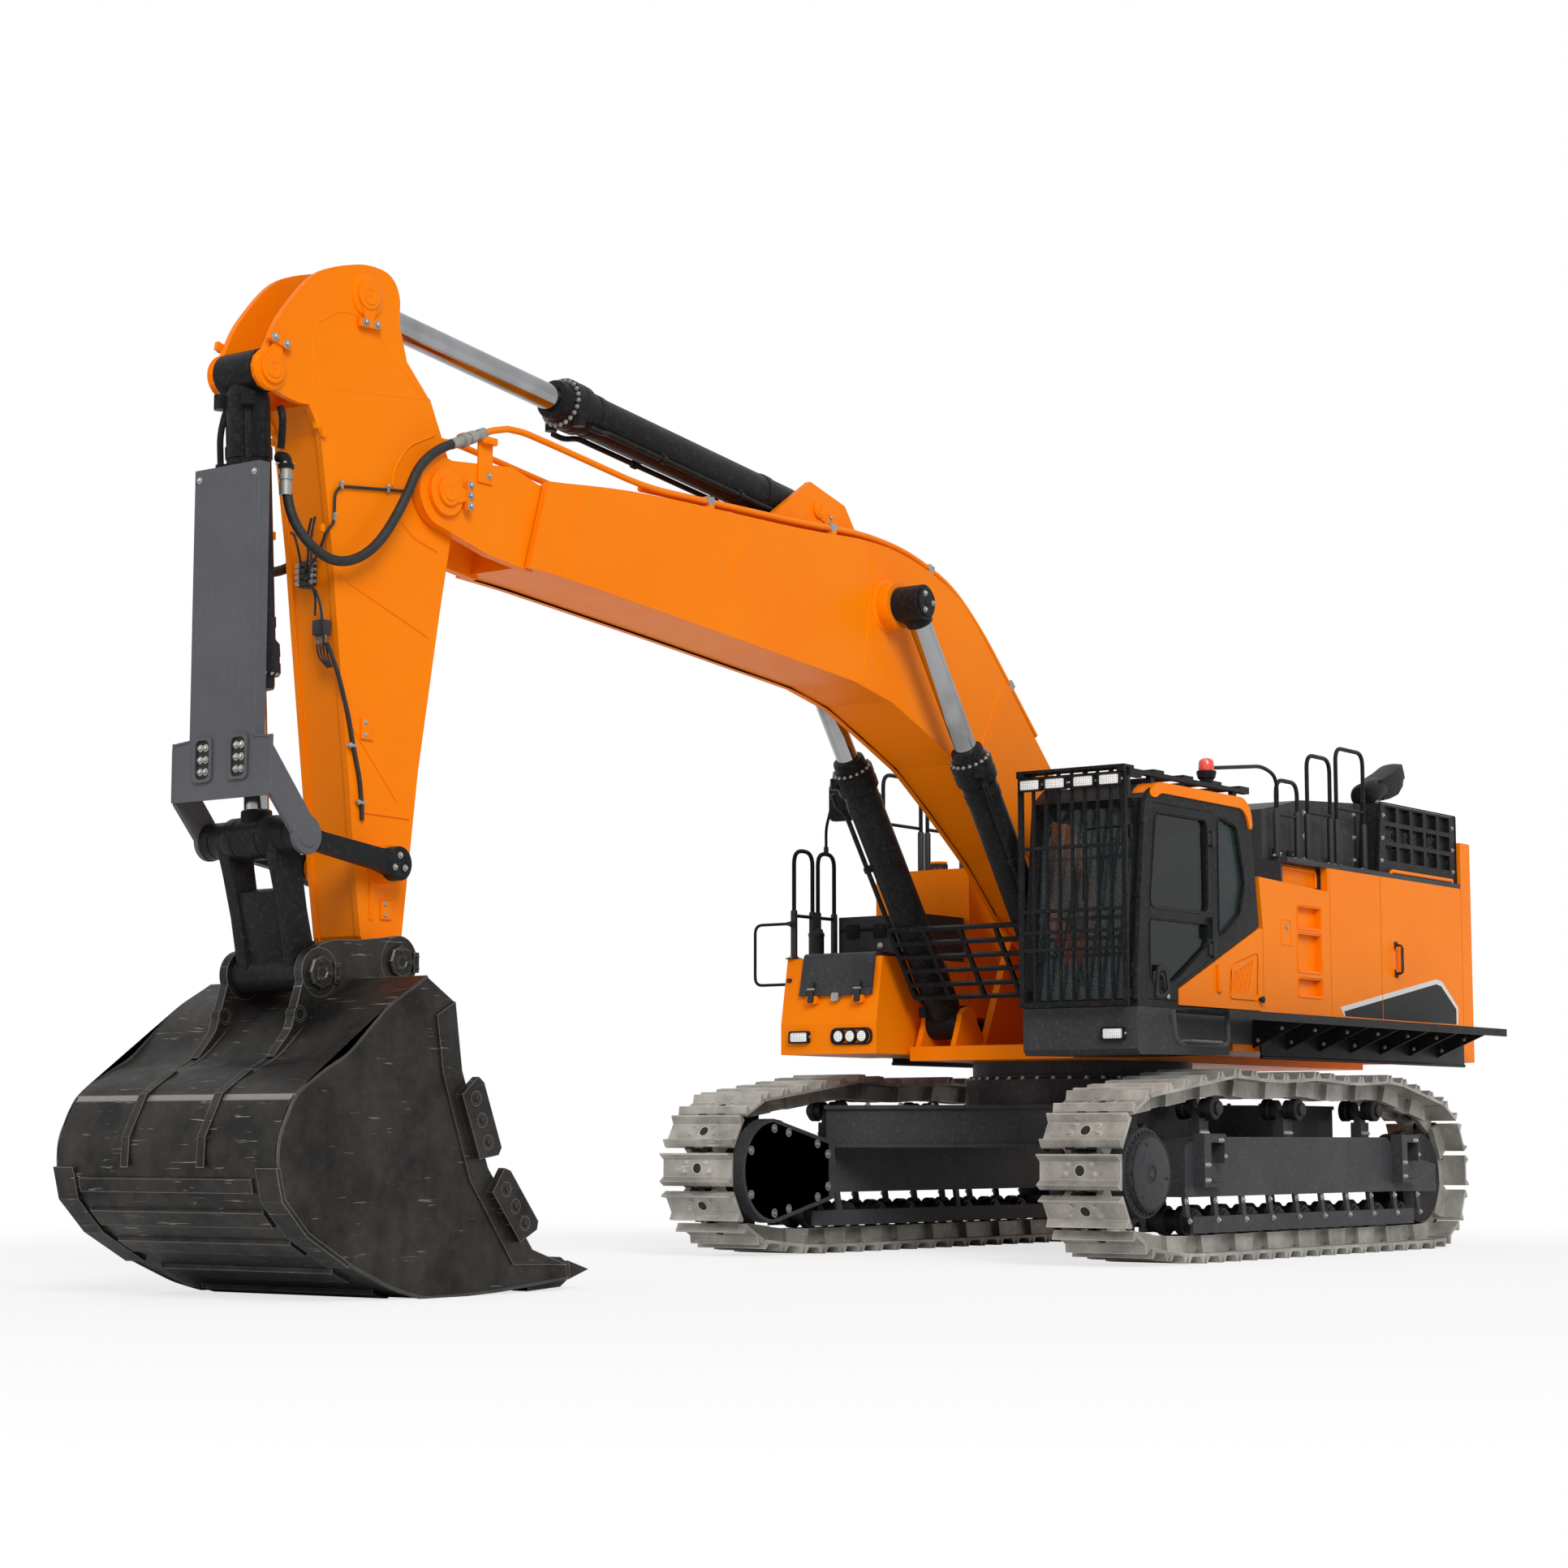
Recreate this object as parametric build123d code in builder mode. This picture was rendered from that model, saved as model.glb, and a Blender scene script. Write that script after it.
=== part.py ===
from build123d import *

import os
from math import asin, atan2, cos, pi, radians, sin, tan

# Crawler excavator of the 80 t class, in millimetres.
# Origin: swing axis on the ground.  +X forward (boom), +Y to the machine's left (cab), +Z up.

# ---------------------------------------------------------------- clearances
SEAT = 0.3              # running or resting gap between two pieces
CLEAR = 8.0             # open gap beside a moving piece
SEAM = 12.0             # open joint between two body panels

# ---------------------------------------------------------------- tracks
GAUGE = 3350.0          # between the middles of the tracks
SHOE_WIDTH = 650.0
SHOE_COUNT = 48         # even, because inner and outer links alternate
SHOE_PLATE = 20.0
GROUSER_HEIGHT = 50.0
LINK_HEIGHT = 120.0     # rail height, split evenly by the pin line
RAIL_WIDTH = 50.0
RAIL_SPREAD = 210.0     # between the joints of inner and outer links, from side to side
SPROCKET_X = 2345.0
SPROCKET_Z = 645.0
SPROCKET_PITCH_R = 455.0
SPROCKET_WIDTH = 90.0
SPROCKET_TEETH = 15
IDLER_X = -2335.0
IDLER_PITCH_R = 440.0
CARRIER_XS = (1160.0, -180.0, -1530.0)
CARRIER_PIN_Z = 1272.0  # pin line over a carrier roller
CARRIER_R = 85.0
CHAIN_SAG = 34.0
ROLLER_R = 108.0
ROLLER_COUNT = 9
ROLLER_REAR = -1900.0
ROLLER_STEP = 430.0
FRAME_WIDTH = 450.0
FRAME_TOP = 900.0
FRAME_BOTTOM = 470.0
FRAME_FRONT = 1780.0
FRAME_REAR = -1800.0
GUARD_BOTTOM = 210.0
GUARD_RAIL = 120.0      # height of the roller guard's lower rail
PLATE = 25.0
HUB_R = 315.0
HUB_REACH = 50.0        # final drive cover beyond the track frame
MOTOR_GUARD_R = 395.0
MOTOR_GUARD = 105.0     # its depth inside the track frame
STEP_DEPTH = 95.0       # foot brackets beyond the track frame
STEP_XS = (1330.0, -1960.0)

# ---------------------------------------------------------------- car body and swing bearing
BEARING_R = 930.0
BEARING_BORE = 700.0
BEARING_BOTTOM = 1270.0
DECK_BOTTOM = 1490.0
LEG_TOP = 1120.0
LEG_BOTTOM = 850.0
LEG_FAR = 1500.0        # reach of a leg at the track frame
LEG_WIDTH = 760.0       # width of a leg's end at the track frame
LEG_FLANGE = 30.0       # plates over and under a leg, and their overhang

# ---------------------------------------------------------------- upper structure
HOUSE_HALF = 1700.0     # side plane of the panels
DECK_TOP = 1600.0
DECK_FRONT = 1370.0     # front edge of the deck between the boom cylinders' feet
CATWALK_Z = 1815.0
CATWALK_WIDTH = 450.0
CATWALK_FRONT = 1665.0
CATWALK_LIP = 60.0
PANEL = 60.0            # door and panel thickness
PANEL_BOTTOM = 1860.0
TAIL_RADIUS = 4190.0
TAIL_DEPTH = 630.0      # counterweight, from its front face to its rearmost point
TAIL_BOTTOM = 1545.0
TAIL_TOP = 3440.0
HOUSE_FRONT = -330.0    # front wall of the engine house
HOUSE_TOP = 3040.0
HOOD_TOP = 3660.0
HOOD_LEDGE_WIDTH = 220.0
HOOD_LEDGE = 40.0
DOOR_SEAM_X = -1960.0   # joint in front of the rear door
PANEL_SEAM_X = -990.0   # joint behind the stair panel
BULKHEAD = 30.0

CAB_INNER_Y = 740.0
CAB_FLOOR = 1830.0
CAB_ROOF = 3470.0
CAB_WALL = 60.0
CAB_FRONT = 2085.0
CAB_REAR = 200.0
SKIRT_BOTTOM = 1488.0
DOOR_REAR = 930.0
DOOR_FRONT = 1890.0

BOX_INNER_Y = -790.0
BOX_FRONT = 1760.0
BOX_REAR = 450.0
BATTERY_FRONT = 1050.0
BOX_TOP = 2300.0
BOX_LEAN = 90.0         # how far the toolbox's front face leans back
BOX_BREAK_Z = 1776.0    # where it starts to lean
LID = 35.0
TANK_LENGTH = 1300.0
TANK_FRONT = 430.0
TANK_TOP = 3070.0
RAIL_R = 17.0
RAIL_BEND = 70.0

# ---------------------------------------------------------------- boom, arm, bucket: pins as (x, z)
BOOM_FOOT = (250.0, 2480.0)
BOOM_TIP = (7875.0, 4765.0)
BOOM_CYL_FOOT = (1130.0, 1790.0)
BOOM_CYL_TOP = (3199.0, 4713.0)
ARM_CYL_FOOT = (3902.0, 5325.0)
ARM_CYL_TOP = (8499.0, 5853.0)
BUCKET_CYL_FOOT = (9273.0, 5254.0)
LINK_TOP = (9122.0, 2580.0)
ROCKER_FOOT = (8333.0, 2475.0)
LINK_FOOT = (8937.0, 1817.0)
BUCKET_PIN = (8287.0, 1906.0)

BOOM_HALF = 308.0
BOOM_FOOT_R = 230.0
BOOM_TIP_R = 215.0
FORK_PLATE = 62.0
ARM_HALF = 190.0
HEAD_PLATE = 40.0
BOOM_CYL_Y = 530.0
BOOM_CYL_R = 132.0
BOOM_BARREL = 2380.0     # from its foot pin to its gland's face
BOOM_ROD_R = 82.0
BOOM_EYE_HALF = 110.0    # rod eye
CYL_LUG_GAP = 140.0      # from a cylinder's middle to its foot lugs
ARM_CYL_R = 142.0
ARM_BARREL = 2700.0
ARM_ROD_R = 86.0
BUCKET_CYL_R = 128.0
HOSE_R = 30.0             # bucket cylinder's hose, from the boom's pipe to the barrel's port
BUCKET_BARREL = 1830.0
BUCKET_ROD_R = 72.0
ROD_EYE_HALF = 100.0
LINK_LANE = 300.0       # outer face of the bucket link, inner face of the rockers
ROCKER_PLATE = 72.0
BUCKET_EAR_IN = 270.0
BUCKET_EAR_PLATE = 60.0
BUCKET_HALF = 870.0
BUCKET_SHELL = 50.0
TOOTH_COUNT = 6
TOOTH_HALF = 62.0
WEAR_PLATE = 28.0


# ---------------------------------------------------------------- helpers
def side_plane(y):
    """Plane across the machine at y: local x is +X, local y is +Z, and it faces -Y."""
    return Plane(origin=(0, y, 0), x_dir=(1, 0, 0), z_dir=(0, -1, 0))


def outline(points, y):
    """Closed polygon of (x, z) points in the side plane at y."""
    with BuildSketch(side_plane(y)) as sketch:
        with BuildLine():
            Polyline(*points, close=True)
        make_face()
    return sketch.sketch


def slab(points, y_low, y_high, mode=Mode.ADD):
    """Plate or block with an (x, z) outline between two y limits."""
    extrude(outline(points, y_high), amount=y_high - y_low, mode=mode)


def block(x, y, z, mode=Mode.ADD):
    """Box between (low, high) limits along each axis."""
    with Locations(((x[0] + x[1]) / 2, (y[0] + y[1]) / 2, (z[0] + z[1]) / 2)):
        Box(x[1] - x[0], y[1] - y[0], z[1] - z[0], mode=mode)


def flats(radius):
    """Number of flats on a round form: a multiple of four, fewer on small forms."""
    if radius < 60:
        return 8
    if radius < 125:
        return 12
    return 16 if radius < 320 else 24


def prism(plane, radius, length, mode=Mode.ADD, over_flats=False):
    """Round bar with flats inside its radius; a bore, or a bar that fits one, is measured over its flats."""
    with BuildSketch(plane) as sketch:
        RegularPolygon(radius, flats(radius), major_radius=mode != Mode.SUBTRACT and not over_flats)
    extrude(sketch.sketch, amount=length, mode=mode)


def disc(pin, radius, y_low, y_high, mode=Mode.ADD):
    """Round boss, pin or roller across the machine at an (x, z) pin."""
    plane = Plane(origin=(pin[0], y_high, pin[1]), x_dir=(1, 0, 0), z_dir=(0, -1, 0))
    prism(plane, radius, y_high - y_low, mode)


def ring(radius, bore, z_low, z_high):
    """Upright ring about the swing axis."""
    with BuildSketch(Plane.XY.offset(z_low)) as sketch:
        RegularPolygon(radius, flats(radius))
        RegularPolygon(bore, flats(bore), mode=Mode.SUBTRACT)
    extrude(sketch.sketch, amount=z_high - z_low)


def upright(x, y, radius, z_low, z_high):
    """Upright round bar."""
    prism(Plane.XY.offset(z_low).shift_origin((x, y, z_low)), radius, z_high - z_low)


def floor_plan(points, z_low, z_high, mode=Mode.ADD):
    """Plate or block with an (x, y) outline between two heights."""
    with BuildSketch(Plane.XY.offset(z_low)) as sketch:
        with BuildLine():
            Polyline(*points, close=True)
        make_face()
    extrude(sketch.sketch, amount=z_high - z_low, mode=mode)


def mirrored(side, near, far):
    """Low and high y of a piece that lies between two distances from the middle plane."""
    return sorted((side * near, side * far))


def tube(points, radius=RAIL_R, sides=4):
    """Bar along a path of (x, y, z) points, mitred at its corners."""
    with BuildLine() as path:
        Polyline(*points)
    with BuildSketch(Plane(origin=path.line @ 0, x_dir=(1, 0, 0), z_dir=path.line % 0)) as section:
        RegularPolygon(radius, sides)
    sweep(section.sketch, path=path.line, transition=Transition.RIGHT)


def on_line(start, end, along, across=0.0):
    """The (x, z) point along and to the left of the line between two pins."""
    angle = atan2(end[1] - start[1], end[0] - start[0])
    return (
        start[0] + along * cos(angle) - across * sin(angle),
        start[1] + along * sin(angle) + across * cos(angle),
    )


def beside(points, gap):
    """Open line of (x, z) points, moved to its left by a gap."""
    moved = []
    for index, point in enumerate(points):
        before, after = points[max(index - 1, 0)], points[min(index + 1, len(points) - 1)]
        pieces = [(a, b) for a, b in ((before, point), (point, after)) if a != b]
        normals = [Vector(a[1] - b[1], b[0] - a[0]).normalized() for a, b in pieces]
        middle = (normals[0] + normals[-1]).normalized()
        shift = middle * (gap / middle.dot(normals[0]))
        moved.append((point[0] + shift.X, point[1] + shift.Y))
    return moved


def distance(start, end):
    """Distance between two (x, z) points."""
    return ((end[0] - start[0]) ** 2 + (end[1] - start[1]) ** 2) ** 0.5


def rod(start, end, near, far, radius, y=0.0, mode=Mode.ADD, over_flats=False):
    """Round bar on the line between two pins, from near to far along it, at side position y."""
    x, z = on_line(start, end, near)
    along = (end[0] - start[0], 0, end[1] - start[1])
    prism(Plane(origin=(x, y, z), x_dir=(0, 1, 0), z_dir=along), radius, far - near, mode, over_flats)


def finish(builder, name):
    """Label a finished sub-part and write its STEP file."""
    builder.part.label = name
    export_step(builder.part, f"parts/{name}.step")


os.makedirs("parts", exist_ok=True)

# ================================================================ track chains
LINK_HALF = LINK_HEIGHT / 2
SHOE_TOP = LINK_HALF + SHOE_PLATE
PIN_GROUND = SHOE_TOP + GROUSER_HEIGHT
IDLER_Z = PIN_GROUND + IDLER_PITCH_R
TRACK_Y = GAUGE / 2


def chain_path():
    """Closed pin line round sprocket, carrier rollers, idler and lower rollers."""
    front = SPROCKET_X + SPROCKET_PITCH_R
    rear = IDLER_X - IDLER_PITCH_R
    low_sag = CARRIER_PIN_Z - CHAIN_SAG
    sag_a = (CARRIER_XS[0] + CARRIER_XS[1]) / 2
    sag_b = (CARRIER_XS[1] + CARRIER_XS[2]) / 2
    corners = (
        # x, z, bend radius
        (rear, PIN_GROUND, IDLER_PITCH_R),
        (SPROCKET_X - 500, PIN_GROUND, 700),
        (front, SPROCKET_Z - SPROCKET_PITCH_R + 30, SPROCKET_PITCH_R),
        (front, SPROCKET_Z + SPROCKET_PITCH_R - 35, SPROCKET_PITCH_R - 5),
        (CARRIER_XS[0], CARRIER_PIN_Z, 500),
        (sag_a, low_sag, 4000),
        (CARRIER_XS[1], CARRIER_PIN_Z, 500),
        (sag_b, low_sag, 4000),
        (CARRIER_XS[2], CARRIER_PIN_Z, 500),
        (rear, IDLER_Z + IDLER_PITCH_R + 25, IDLER_PITCH_R - 5),
    )
    with BuildLine(side_plane(0)) as path:
        FilletPolyline(*[c[:2] for c in corners], radius=[c[2] for c in corners], close=True)
    return path.wires()[0]


def chain_pins(path, count):
    """Pins of equal chord spacing round a closed path."""
    length = path.length
    pitch = length / count
    for _ in range(8):
        stations = [0.0]
        while len(stations) <= count:
            last = stations[-1]
            step = pitch / length
            for _ in range(3):
                chord = (path @ ((last + step) % 1) - path @ (last % 1)).length
                step += (pitch - chord) / length
            stations.append(last + step)
        pitch -= (stations[-1] - 1) * length / count
    return [path @ (s % 1) for s in stations[:-1]]


PINS = chain_pins(chain_path(), SHOE_COUNT)
PITCH = (PINS[1] - PINS[0]).length
TURN = asin(PITCH / 2 / IDLER_PITCH_R)         # half the turn from link to link round the idler
SHOE_HALF = PITCH / 2 - 4
RAIL_TOP_HALF = PITCH / 2 - 6
RAIL_LOW_HALF = PITCH / 2 + 20
LANE_STEP = (RAIL_WIDTH + SEAT) / 2


def track_unit(lane):
    """One shoe on its two rails, which lie at a lane so that they pass beside the next unit's."""
    with BuildPart() as unit:
        for side in (-1, 1):
            slab(
                (
                    (-RAIL_LOW_HALF, -LINK_HALF),
                    (RAIL_LOW_HALF, -LINK_HALF),
                    (RAIL_TOP_HALF, LINK_HALF - SEAT),
                    (-RAIL_TOP_HALF, LINK_HALF - SEAT),
                ),
                side * lane - RAIL_WIDTH / 2,
                side * lane + RAIL_WIDTH / 2,
            )
        slab(
            (
                (-SHOE_HALF, LINK_HALF),
                (SHOE_HALF, LINK_HALF),
                (SHOE_HALF, SHOE_TOP),
                (SHOE_HALF - 35, SHOE_TOP + GROUSER_HEIGHT),
                (SHOE_HALF - 70, SHOE_TOP),
                (-SHOE_HALF + 50, SHOE_TOP),
                (-SHOE_HALF + 12, SHOE_TOP + GROUSER_HEIGHT),
                (-SHOE_HALF, SHOE_TOP + GROUSER_HEIGHT),
            ),
            -SHOE_WIDTH / 2,
            SHOE_WIDTH / 2,
        )
    return unit.part.solids()


UNITS = (track_unit(RAIL_SPREAD / 2 - LANE_STEP), track_unit(RAIL_SPREAD / 2 + LANE_STEP))

unit_places = []
for this_pin, next_pin in zip(PINS, PINS[1:] + PINS[:1]):
    middle = (this_pin + next_pin) / 2
    along = (next_pin - this_pin).normalized()
    outward = Vector(-along.Z, 0, along.X)
    if outward.dot(middle - Vector(0, 0, SPROCKET_Z)) < 0:
        along = -along
    unit_places.append(Plane(origin=middle, x_dir=along, z_dir=(0, -1, 0)) * side_plane(0).location.inverse())

for side, name in ((1, "left"), (-1, "right")):
    shift = Location((0, side * TRACK_Y, 0))
    links = [
        solid.moved(shift * place)
        for index, place in enumerate(unit_places)
        for solid in UNITS[index % 2]
    ]
    track = Compound(children=links, label=f"track_{name}")
    export_step(track, f"parts/track_{name}.step")

# ================================================================ undercarriage
FRAME_IN = TRACK_Y - FRAME_WIDTH / 2
FRAME_OUT = TRACK_Y + FRAME_WIDTH / 2
RAIL_IN_BOTTOM = PIN_GROUND + LINK_HALF         # top of the lower run's rails
IDLER_R = IDLER_PITCH_R * cos(TURN) - LINK_HALF - SEAT
ROLLER_Z = RAIL_IN_BOTTOM + ROLLER_R + SEAT
CARRIER_Z = CARRIER_PIN_Z - LINK_HALF - CARRIER_R - 2 * CLEAR
CHAIN_HALF = RAIL_SPREAD / 2 + RAIL_WIDTH
SPROCKET = (SPROCKET_X, SPROCKET_Z)
IDLER = (IDLER_X, IDLER_Z)


def leg_outline(x_side, y_side, margin):
    """(x, y) outline of one leg of the car body, from the middle to the track frame."""
    return (
        (0, 0),
        (x_side * (BEARING_R + margin), 0),
        (x_side * (LEG_FAR + margin), y_side * FRAME_IN),
        (x_side * (LEG_FAR - LEG_WIDTH - margin), y_side * FRAME_IN),
        (0, y_side * (BEARING_R * 0.9 + margin)),
    )


with BuildPart() as car_body:
    for x_side in (-1, 1):
        for y_side in (-1, 1):
            floor_plan(leg_outline(x_side, y_side, 0), LEG_BOTTOM, LEG_TOP)
            flange = leg_outline(x_side, y_side, LEG_FLANGE)
            floor_plan(flange, LEG_BOTTOM - LEG_FLANGE, LEG_BOTTOM)
            floor_plan(flange, LEG_TOP, LEG_TOP + LEG_FLANGE)
    ring(BEARING_R, BEARING_BORE - 250, LEG_BOTTOM - LEG_FLANGE, BEARING_BOTTOM)
finish(car_body, "car_body")

BEARING_RINGS = (
    # outer radius less than the bearing's, height from, height to
    (10, BEARING_BOTTOM, BEARING_BOTTOM + 80),
    (60, BEARING_BOTTOM + 80, DECK_BOTTOM - SEAT),
)
with BuildPart() as swing_bearing:
    for step, z_low, z_high in BEARING_RINGS:
        ring(BEARING_R - step, BEARING_BORE, z_low, z_high)
finish(swing_bearing, "swing_bearing")

TOOTH_TURN = 2 * pi / SPROCKET_TEETH
TOOTH_PROFILE = (
    # share of a tooth's turn, radius over the pitch radius
    (0.0, -62),
    (0.3, -62),
    (0.5, 12),
    (0.8, 12),
)
SPROCKET_OUTLINE = [
    (
        SPROCKET_X + (SPROCKET_PITCH_R + over) * cos((tooth + share) * TOOTH_TURN),
        SPROCKET_Z + (SPROCKET_PITCH_R + over) * sin((tooth + share) * TOOTH_TURN),
    )
    for tooth in range(SPROCKET_TEETH)
    for share, over in TOOTH_PROFILE
]

for side, name in ((1, "left"), (-1, "right")):
    y_in, y_out = sorted((side * FRAME_IN, side * FRAME_OUT))
    y_mid = side * TRACK_Y

    with BuildPart() as track_frame:
        slab(
            (
                (FRAME_REAR, FRAME_BOTTOM),
                (FRAME_FRONT, FRAME_BOTTOM),
                (FRAME_FRONT, FRAME_TOP - 60),
                (FRAME_FRONT - 260, FRAME_TOP),
                (FRAME_REAR + 260, FRAME_TOP),
                (FRAME_REAR, FRAME_TOP - 120),
            ),
            y_in,
            y_out,
        )
        y_shown = y_out - PLATE if side > 0 else y_in
        for y_face in (y_in, y_out - PLATE):
            slab(
                (
                    (IDLER_X - 130, IDLER_Z - 110),
                    (FRAME_REAR, FRAME_BOTTOM),
                    (FRAME_REAR, FRAME_TOP - 120),
                    (IDLER_X - 130, IDLER_Z + 110),
                ),
                y_face,
                y_face + PLATE,
            )
            block(
                (ROLLER_REAR - 130, ROLLER_REAR + ROLLER_COUNT * ROLLER_STEP - 300),
                (y_face, y_face + PLATE),
                (GUARD_BOTTOM, GUARD_BOTTOM + GUARD_RAIL),
            )
            for index in range(0, ROLLER_COUNT + 1, 1 if y_face == y_shown else 4):
                x = ROLLER_REAR + (index - 0.5) * ROLLER_STEP - 45
                slab(
                    (
                        (x, GUARD_BOTTOM + GUARD_RAIL),
                        (x + 60, GUARD_BOTTOM + GUARD_RAIL),
                        (x + 90, FRAME_BOTTOM),
                        (x + 30, FRAME_BOTTOM),
                    ),
                    y_face,
                    y_face + PLATE,
                )
        for x in CARRIER_XS:
            block((x - 70, x + 70), (y_mid - 45, y_mid + 45), (FRAME_TOP, CARRIER_Z - CARRIER_R - CLEAR))
            block((x - 45, x + 45), (y_mid - 30, y_mid + 30), (CARRIER_Z - CARRIER_R - CLEAR, CARRIER_Z))
        y_wall = y_in if side > 0 else y_out - PLATE
        slab(
            (
                (FRAME_FRONT, FRAME_BOTTOM),
                (SPROCKET_X - 60, SPROCKET_Z - HUB_R),
                (SPROCKET_X + 240, SPROCKET_Z - 240),
                (SPROCKET_X + 240, SPROCKET_Z + 240),
                (SPROCKET_X - 60, SPROCKET_Z + HUB_R),
                (FRAME_FRONT, FRAME_TOP - 60),
            ),
            y_wall,
            y_wall + PLATE,
        )
    finish(track_frame, f"track_frame_{name}")

    with BuildPart() as sprocket:
        slab(SPROCKET_OUTLINE, y_mid - SPROCKET_WIDTH / 2, y_mid + SPROCKET_WIDTH / 2)
        disc(SPROCKET, HUB_R, *mirrored(side, FRAME_IN + PLATE, FRAME_OUT))
        disc(SPROCKET, HUB_R - 45, *mirrored(side, FRAME_OUT, FRAME_OUT + HUB_REACH))
    finish(sprocket, f"sprocket_{name}")

    with BuildPart() as idler:
        disc(IDLER, IDLER_R + 25, y_mid - SPROCKET_WIDTH / 2, y_mid + SPROCKET_WIDTH / 2)
        disc(IDLER, IDLER_R, y_mid - CHAIN_HALF, y_mid + CHAIN_HALF)
        disc(IDLER, 90, y_in + PLATE, y_out - PLATE)
    finish(idler, f"idler_{name}")

    with BuildPart() as rollers:
        for index in range(ROLLER_COUNT):
            x = ROLLER_REAR + index * ROLLER_STEP
            disc((x, ROLLER_Z), ROLLER_R, y_in + PLATE, y_out - PLATE)
        for x in CARRIER_XS:
            for y_low, y_high in ((y_mid - CHAIN_HALF, y_mid - 30), (y_mid + 30, y_mid + CHAIN_HALF)):
                disc((x, CARRIER_Z), CARRIER_R, y_low, y_high)
    finish(rollers, f"rollers_{name}")

with BuildPart() as motor_guards:
    for side in (-1, 1):
        y_low, y_high = mirrored(side, FRAME_IN - MOTOR_GUARD, FRAME_IN)
        disc(SPROCKET, MOTOR_GUARD_R, y_low, y_high)
        slab(
            (
                (FRAME_FRONT - 240, SPROCKET_Z - 0.55 * MOTOR_GUARD_R),
                (SPROCKET_X, SPROCKET_Z - MOTOR_GUARD_R),
                (SPROCKET_X, SPROCKET_Z + MOTOR_GUARD_R),
                (FRAME_FRONT - 240, SPROCKET_Z + 0.55 * MOTOR_GUARD_R),
            ),
            y_low,
            y_high,
        )
finish(motor_guards, "motor_guards")

with BuildPart() as track_steps:
    for side in (-1, 1):
        y_low, y_high = mirrored(side, FRAME_OUT, FRAME_OUT + STEP_DEPTH)
        for x in STEP_XS:
            block((x, x + 330), (y_low, y_high), (FRAME_TOP - 40, FRAME_TOP + 20))
            block((x + 230, x + 330), (y_low, y_high), (FRAME_TOP - 330, FRAME_TOP - 40))
            block((x, x + 330), (y_low, y_high), (FRAME_TOP - 360, FRAME_TOP - 330))
            block((x, x + 25), (y_low, y_high), (FRAME_TOP - 190, FRAME_TOP - 40))
finish(track_steps, "track_steps")

# ================================================================ upper frame
TAIL_FRONT = TAIL_DEPTH - TAIL_RADIUS
HOUSE_REAR = TAIL_FRONT + 10
HOOD_HALF = HOUSE_HALF - HOOD_LEDGE_WIDTH
CATWALK_OUT = HOUSE_HALF + CATWALK_WIDTH
FOOT_PLATE_IN = BOOM_HALF + CLEAR
FOOT_PLATE = 60.0
CYL_PLATE = 45.0

FOOT_TOWER = (
    # (x, z) from the boom's foot pin
    (320, -80), (200, 180), (-200, 180), (-400, -200),
)
with BuildPart() as deck_frame:
    block((TAIL_FRONT, DECK_FRONT), (-CAB_INNER_Y, CAB_INNER_Y), (DECK_BOTTOM, DECK_TOP))
    block(
        (TAIL_FRONT, BOX_REAR + 90 - SEAT),
        (-HOUSE_HALF + PANEL, HOUSE_HALF - PANEL),
        (DECK_BOTTOM + 60, DECK_TOP),
    )
    for side, x_front in ((-1, BOX_REAR - SEAT), (1, CAB_REAR - SEAM)):
        y_low, y_high = mirrored(side, HOUSE_HALF - PANEL, HOUSE_HALF)
        block((TAIL_FRONT, x_front), (y_low, y_high), (DECK_BOTTOM + 60, PANEL_BOTTOM - SEAT))
    for side in (-1, 1):
        slab(
            [(HOUSE_FRONT + 40, DECK_TOP), (950, DECK_TOP)]
            + [(BOOM_FOOT[0] + x, BOOM_FOOT[1] + z) for x, z in FOOT_TOWER],
            *mirrored(side, FOOT_PLATE_IN, FOOT_PLATE_IN + FOOT_PLATE),
        )
        disc(BOOM_FOOT, 190, *mirrored(side, FOOT_PLATE_IN + FOOT_PLATE, FOOT_PLATE_IN + FOOT_PLATE + 20))
        for y_mid in (
            side * (BOOM_CYL_Y - CYL_LUG_GAP - CYL_PLATE / 2),
            side * (BOOM_CYL_Y + CYL_LUG_GAP + CYL_PLATE / 2),
        ):
            y_low, y_high = y_mid - CYL_PLATE / 2, y_mid + CYL_PLATE / 2
            slab(
                (
                    (BOOM_CYL_FOOT[0] - 260, DECK_TOP),
                    (BOOM_CYL_FOOT[0] + 200, DECK_TOP),
                    (BOOM_CYL_FOOT[0] + 120, BOOM_CYL_FOOT[1]),
                    (BOOM_CYL_FOOT[0] - 120, BOOM_CYL_FOOT[1]),
                ),
                y_low,
                y_high,
            )
            disc(BOOM_CYL_FOOT, 120, y_low, y_high)
finish(deck_frame, "deck_frame")

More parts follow.
